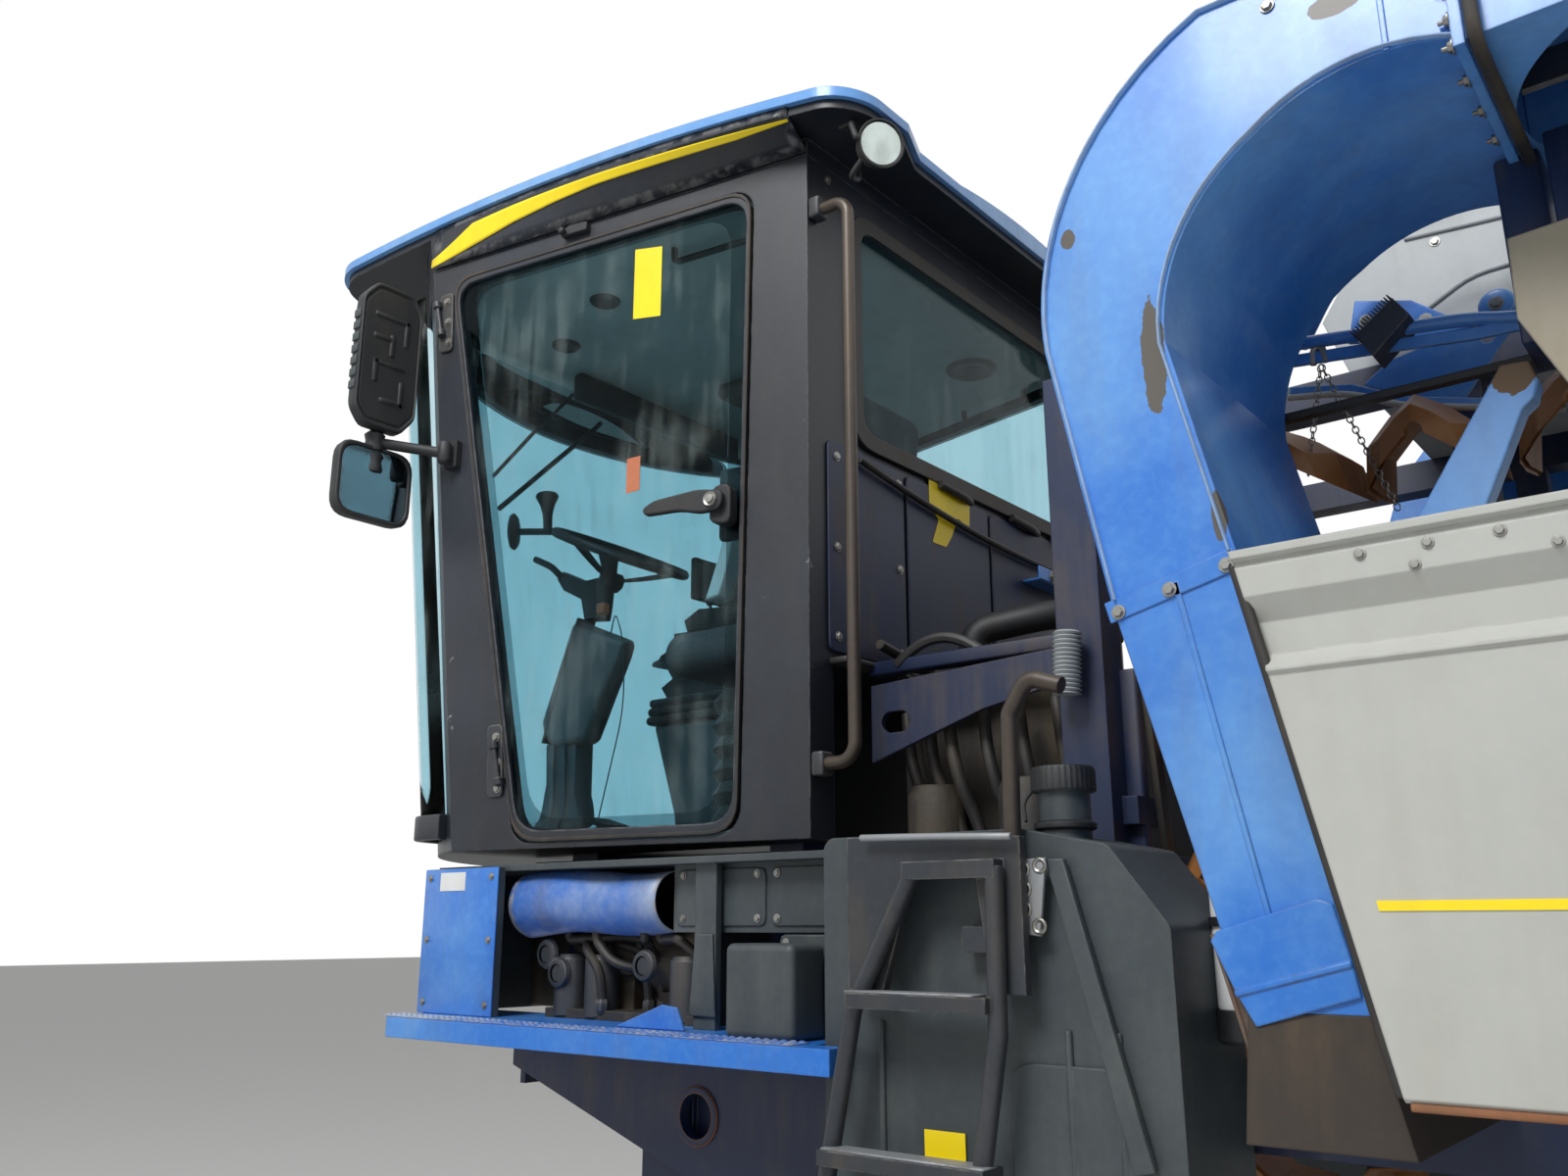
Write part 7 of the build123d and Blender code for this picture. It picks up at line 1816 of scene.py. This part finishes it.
    def legs(self) -> None:
        """Tapering leg, rusty at its top, from each duct's rear wall up to a box at the fan's throat."""
        line = [(-0.261, 2.397), (-0.126, 2.194), (0.004, 2.0), (-0.002, 1.93), (-0.088, 1.93),
                (-0.221, 2.196), (-0.282, 2.322), (-0.298, 2.335), (-0.306, 2.36), (-0.298, 2.394)]
        piece("worn_legs", side_slab(line, (0.76, 0.8)).both(), LEG_BLUE, bevel=0.003)
        box = soft_box((-0.36, 0.74, 2.395), (-0.3, 0.86, 2.69), 0.006, 3)
        piece("throat_boxes", box.both(), NAVY)


@dataclass
class Baskets:
    """Ring of moulded baskets on a chain band, one ring on each side, tilted outward at the top."""

    foot: tuple = (0.22, 0.38)
    tilt: float = radians(8)
    x_ends: tuple = (-1.7, 0.42)
    height: float = 2.12
    corner: float = 0.32
    pitch: float = 0.233
    width: float = 0.23
    depth: float = 0.15

    def build(self) -> None:
        """Builds both rings in place of the plain ones."""
        for side, sign in (("left", 1), ("right", -1)):
            for name, skin, finish in (("basket_cups_", self.cups(), BASKET_BROWN),
                                       ("basket_band_", self.band(), HOSE_RUBBER)):
                skin = self.tilted(skin)
                piece(name + side, skin if sign > 0 else skin.mirrored(), finish,
                      smooth=25, replaces=["basket_loop_" + side] if finish is BASKET_BROWN else [])

    def tilted(self, skin: Skin) -> Skin:
        """The ring leaned outward: y cos a + z sin a and z cos a - y sin a, from its foot line.

        Args:
            skin: the upright ring.

        Returns:
            The leaned ring.
        """
        x, y, z = skin.points.T
        turned = np.stack([x, y * cos(self.tilt) + z * sin(self.tilt) + self.foot[0],
                           z * cos(self.tilt) - y * sin(self.tilt) + self.foot[1]], -1)
        return Skin(turned, skin.faces)

    def line(self, inset: float, steps: int = 10) -> Array:
        """Rounded rectangle in X and Z.

        Args:
            inset: its distance inside the ring's outer edge.
            steps: points of each corner's arc.

        Returns:
            The rectangle's points.
        """
        turn = np.linspace(-pi / 2, 0, steps)
        arc = (self.corner - inset) * np.stack([np.cos(turn), np.sin(turn)], -1)
        low, high = self.corner, self.height - self.corner
        left, right = self.x_ends[0] + self.corner, self.x_ends[1] - self.corner
        return np.concatenate([arc + (right, low), arc[:, ::-1] * (-1, 1) + (right, high),
                               -arc + (left, high), arc[:, ::-1] * (1, -1) + (left, low)])

    def band(self) -> Skin:
        """Chain band: a rectangular section carried round the ring on its outer side."""
        y0, y1 = self.width / 2, self.width / 2 + 0.03
        corners = ((0.0, y0), (0.0, y1), (0.013, y1), (0.013, y0))
        rings = [on_side(self.line(inset), y) for inset, y in corners]
        return grid(np.stack(rings), wrap_u=True, wrap_v=True)

    def cups(self) -> Skin:
        """Baskets at equal steps along the ring.

        Each point (p, q, r) of a basket goes to place + p along + r inward in X and Z, with Y = q.

        Returns:
            The surface of all the baskets.
        """
        outline = self.line(0.0, 16)
        closed = np.concatenate([outline, outline[:1]])
        run = np.concatenate([[0], np.cumsum(np.linalg.norm(np.diff(closed, axis=0), axis=1))])
        count = round(run[-1] / self.pitch)
        at = (np.arange(count) + 0.5) * run[-1] / count
        place = np.stack([np.interp(at, run, closed[:, k]) for k in (0, 1)], -1)
        ahead = np.stack([np.interp((at + 0.01) % run[-1], run, closed[:, k]) for k in (0, 1)], -1)
        along = unit(ahead - place)
        inward = np.stack([-along[:, 1], along[:, 0]], -1)
        cup = self.cup()
        reach, rise = cup.points[None, :, :1], cup.points[None, :, 2:]
        points = place[:, None] + reach * along[:, None] + rise * inward[:, None]
        y = np.broadcast_to(cup.points[None, :, 1], points.shape[:2])
        whole = np.stack([points[..., 0], y, points[..., 1]], -1).reshape(-1, 3)
        faces = [[corner + k * len(cup.points) for corner in face] for k in range(count)
                 for face in cup.faces]
        return Skin(whole, faces)

    def cup(self) -> Skin:
        """One basket with walls: rings from its inner end out to the ridge, then back inside as the lining.

        Each ring is middle + (section - middle) size at its own Y.

        Returns:
            The basket, open towards the middle of the ring.
        """
        half, long, deep = self.width / 2, 0.098, self.depth
        section = np.array([(-long, deep), (-0.9 * long, 0.5 * deep), (-0.45 * long, 0.03), (0.0, 0.0),
                            (0.45 * long, 0.03), (0.9 * long, 0.5 * deep), (long, deep)])
        middle = np.array([0.0, 0.45 * deep])
        outer = [(-half, 1.0), (-0.2 * half, 1.04), (0.55 * half, 1.0), (0.98 * half, 0.62),
                 (half + 0.012, 0.16)]
        inner = [(half - 0.004, 0.12), (0.9 * half, 0.54), (0.5 * half, 0.92), (-0.2 * half, 0.96),
                 (-half, 0.93)]
        rings = [on_side(middle + (section - middle) * size, y) for y, size in outer + inner]
        return grid(np.stack(rings), wrap_u=True)


@dataclass
class Hoppers:
    """Sheet-metal tubs of the tipping hoppers, with rim folds, bolts, seal and flange."""

    outer: tuple = ((1.262, 2.047), (1.2875, 2.047), (1.2875, 2.036), (1.279, 2.033), (1.279, 2.028),
                    (1.281, 2.025), (1.281, 1.988), (1.262, 1.958), (1.262, 1.917), (1.284, 1.897),
                    (1.284, 1.893), (1.280, 1.889), (1.280, 1.424), (1.276, 1.42))
    sheet: float = 0.006

    def front(self, z: Array) -> Array:
        """X of the outer wall's slanted front edge at a height."""
        return -0.010 - (2.047 - z) * 0.130 / 0.627

    def rear(self, z: Array) -> Array:
        """X of the outer wall's rear edge: upright above 1.96, drawn forward below."""
        return np.where(z >= 1.96, -2.88, -2.88 + (1.96 - z) / 0.54 * 0.58)

    def build(self) -> None:
        """Builds each side's pieces on its own body."""
        for side, sign in (("left", 1), ("right", -1)):
            for name, skin, finish, bevel in self.shapes():
                if sign < 0:
                    skin = skin.mirrored()
                piece(name + "_" + side, skin, finish, "hopper_" + side, bevel=bevel,
                      smooth=30, replaces=["hopper_" + side] if name == "hopper_tub" else [])

    def wall(self) -> Skin:
        """The outer wall: its folded profile carried from the front edge to the rear edge.

        A point of the profile at height z runs along x = front(z) (1 - t) + rear(z) t.

        Returns:
            The wall, closed at both ends.
        """
        line = np.asarray(self.outer, float)
        tangent = unit(np.gradient(line, axis=0))
        inner = line + np.stack([tangent[:, 1], -tangent[:, 0]], -1) * self.sheet
        inner[:, 0] = np.minimum(inner[:, 0], line[:, 0] - 0.004)
        loop = np.concatenate([line, inner[::-1]])
        share = np.linspace(0, 1, 9)[:, None]
        front, rear = self.front(loop[:, 1])[None], self.rear(loop[:, 1])[None]
        x = front * (1 - share) + rear * share
        y, z = (np.broadcast_to(loop[:, k], x.shape) for k in (0, 1))
        return grid(np.stack([x, y, z], -1), wrap_v=True, caps=True)

    def tub(self) -> Skin:
        """Front wall, floor and sloped rear as one bent sheet, with the inner side wall, ears and lugs."""
        line = np.array([(-0.62, 2.047), (-0.62, 1.424), (-2.30, 1.424), (-2.872, 1.96), (-2.872, 2.047)])
        inner = np.array([(-0.628, 2.047), (-0.628, 1.432), (-2.297, 1.432), (-2.864, 1.963),
                          (-2.864, 2.047)])
        bent = side_slab(np.concatenate([line, inner[::-1]]), (0.704, 1.2745))
        side = side_slab([(-0.62, 2.04), (-0.62, 1.42), (-2.30, 1.42), (-2.88, 1.96), (-2.88, 2.04)],
                         (0.7, 0.708))
        rim = soft_box((-2.88, 0.7, 2.036), (-0.616, 0.722, 2.047), 0.003, 3)
        shapes = [bent, side, rim]
        pivot = np.array([-2.62, 1.4])
        for y in ((0.8, 0.83), (1.13, 1.16)):
            ear = pivot + np.array([(0.06, -0.02), (0.0, -0.048), (-0.045, -0.02), (-0.06, 0.265),
                                    (0.32, 0.04)])
            shapes.append(side_slab(ear, y))
            shapes.append(lathe([(0.03, 0.0), (0.048, 0.0), (0.048, y[1] - y[0] + 0.004),
                                 (0.03, y[1] - y[0] + 0.004)],
                                (pivot[0], y[0] - 0.002, pivot[1]), (0, 1, 0), 28, closed=True))
        for y in ((0.914, 0.928), (0.992, 1.006)):
            shapes.append(side_slab([(-2.31, 1.425), (-2.23, 1.425), (-2.235, 1.29), (-2.25, 1.27),
                                     (-2.29, 1.27), (-2.305, 1.29)], y))
        ribs = [side_slab([(x, 1.42), (x + 0.05, 1.42), (x + 0.045, 1.405), (x + 0.005, 1.405)],
                          (0.71, 1.27))
                for x in (-1.0, -1.4, -1.8, -2.15)]
        return joined([*shapes, *ribs])

    def shapes(self) -> list:
        """The left hopper's pieces.

        Returns:
            Name, surface, finish and edge width of each piece.
        """
        y = 1.2812
        heads = [bolts(line_of((front, y, z), (rear, y, z), count), (0, 1, 0), radius, 0.0045)
                 for front, rear, z, count, radius in ((-0.161, -2.78, 2.017, 37, 0.0052),
                                                       (-0.218, -2.76, 1.994, 19, 0.005))]
        z = np.linspace(2.03, 1.425, 24)
        seal = sweep(np.column_stack([self.front(z) + 0.002, np.full(24, 1.272), z]), circle(0.0075, 8))
        stripe = side_slab([(-0.137, 1.616), (-2.5, 1.616), (-2.5, 1.627), (-0.135, 1.627)],
                           (1.2798, 1.2812))
        flange = soft_box((-0.62, 1.245, 1.412), (-0.145, 1.281, 1.4205), 0.002, 3)
        z = np.linspace(1.44, 1.9, 10)
        apron = grid(np.stack([np.column_stack([self.front(z) * (1 - t) - 0.62 * t, np.full(10, 1.262), z])
                               for t in np.linspace(0, 1, 5)]))
        return [("hopper_wall", self.wall(), HOPPER_PAINT, 0.0),
                ("hopper_tub", self.tub(), HOPPER_PAINT, 0.001),
                ("hopper_bolts", joined(heads), ZINC, 0.0),
                ("hopper_seal", seal, HOSE_RUBBER, 0.0),
                ("hopper_stripe", stripe, YELLOW, 0.0),
                ("hopper_flange", flange, RUST, 0.0),
                ("hopper_inner_skin", apron, GREY_PLASTIC, 0.0)]


@dataclass
class Wheels:
    """Nuts, hub caps and valve stems of the four wheels, each on its own wheel's body."""

    def build(self) -> None:
        """Builds each wheel's fittings at its place."""
        for end, x, half, radius, ring, dish in (("front", 1.4, 1.0, 0.42, 0.075, 0.074),
                                                 ("rear", -1.6, 1.01, 0.63, 0.075, 0.104)):
            turn = 2 * pi * np.arange(8) / 8
            nuts = copies(bolt(0.013, 0.02).placed((0, 0, 0), (1, 0, 0), (0, 1, 0)),
                          np.stack([ring * np.cos(turn), np.full(8, dish), ring * np.sin(turn)], -1))
            cap = lathe([(0, 0.05), (0.03, 0.048), (0.042, 0.038), (0.045, 0.0), (0, 0)],
                        (0, dish + 0.004, 0), (0, 1, 0), 28)
            stem = tube([(0.0, dish + 0.004, ring * 1.9), (0.0, dish + 0.03, ring * 1.95)], 0.005, sides=8)
            for side, sign in (("left", 1), ("right", -1)):
                skin = joined([nuts, cap, stem]).moved((x, half, radius))
                piece(f"wheel_nuts_{end}_{side}", skin if sign > 0 else skin.mirrored(), ZINC,
                      f"wheel_{end}_{side}")


CAB = Cab()


@dataclass
class Studio:
    """Floor, light and the camera at the photograph's angle."""

    place: tuple = (-0.55, 2.80, 1.60)
    heading: tuple = (0.637, -0.771)
    pitch: float = radians(14.86)
    focal: float = 1301.0
    width: float = 1600.0

    def build(self) -> None:
        """Builds the floor, world, lamps and camera."""
        self.floor()
        self.world()
        self.lamp("key", (0.6, 6.6, 8.2), 3.0, 640)
        self.lamp("fill", (-6.5, 3.0, 4.5), 5.0, 70)
        self.camera()
        bpy.context.scene.view_settings.view_transform = "Standard"

    def floor(self) -> None:
        """A wide pale floor under the wheels."""
        mesh = bpy.data.meshes.new("floor")
        mesh.from_pydata([(-60, -60, 0), (60, -60, 0), (60, 60, 0), (-60, 60, 0)], [], [(0, 1, 2, 3)])
        ground = bpy.data.objects.new("floor", mesh)
        bpy.context.scene.collection.objects.link(ground)
        material = bpy.data.materials.new("pale_floor")
        material.use_nodes = True
        shader = material.node_tree.nodes["Principled BSDF"]
        shader.inputs["Base Color"].default_value = (0.8, 0.8, 0.79, 1)
        shader.inputs["Roughness"].default_value = 0.9
        mesh.materials.append(material)

    def world(self) -> None:
        """White for camera, reflections and glass; a softer level for the light on the machine."""
        world = bpy.data.worlds.new("studio")
        bpy.context.scene.world = world
        world.use_nodes = True
        world.node_tree.nodes.clear()
        tree = Tree(world.node_tree)
        rays = tree.add("LightPath")
        seen = tree.math("MAXIMUM", rays.outputs["Is Camera Ray"],
                         tree.math("MAXIMUM", rays.outputs["Is Glossy Ray"],
                                   rays.outputs["Is Transmission Ray"]))
        level = tree.add("MapRange", None, Value=seen, To_Min=0.32, To_Max=1.0).outputs["Result"]
        sky = tree.add("Background", None, Color=(1, 1, 1, 1), Strength=level)
        output = tree.add("OutputWorld")
        world.node_tree.links.new(sky.outputs[0], output.inputs["Surface"])

    def lamp(self, name: str, place: Point, size: float, power: float) -> None:
        """A square soft lamp aimed at the middle of the machine.

        Args:
            name: the lamp's name.
            place: where it stands.
            size: its width.
            power: its power in watts.
        """
        light = bpy.data.lights.new(name, "AREA")
        light.size = size
        light.energy = power
        thing = bpy.data.objects.new(name, light)
        bpy.context.scene.collection.objects.link(thing)
        thing.location = place
        thing.rotation_euler = (Vector((0.6, 0.3, 1.9)) - Vector(place)).to_track_quat("-Z", "Y").to_euler()

    def camera(self) -> None:
        """The camera, 1.6 m above the ground, looking up at the cab."""
        lens = bpy.data.cameras.new("camera")
        lens.sensor_width = 36.0
        lens.lens = 36.0 * self.focal / self.width
        lens.clip_start = 0.02
        lens.clip_end = 200
        thing = bpy.data.objects.new("camera", lens)
        bpy.context.scene.collection.objects.link(thing)
        thing.location = self.place
        thing.rotation_euler = (pi / 2 + self.pitch, 0, atan2(-self.heading[0], self.heading[1]))
        bpy.context.scene.camera = thing


def dress_frame(frame: dict) -> None:
    """Gives every CAD node its finish.

    Args:
        frame: the loaded frame.
    """
    for name, thing in frame["nodes"].items():
        finish = NODE_FINISHES[name].material()
        for slot in thing.material_slots:
            slot.material = finish
        if not thing.material_slots:
            thing.data.materials.append(finish)


def main() -> None:
    """Loads the frame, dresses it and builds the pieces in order."""
    logging.basicConfig(level=logging.INFO, format="%(message)s")
    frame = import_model()
    dress_frame(frame)
    for part in (CAB, Mirrors(), Lamps(), DriverPlace(), Walkway(), EngineRoom(), Ducts(), ArchGear(),
                 Baskets(), Hoppers(), Wheels(), Studio()):
        part.build()


if __name__ == "__main__":
    main()
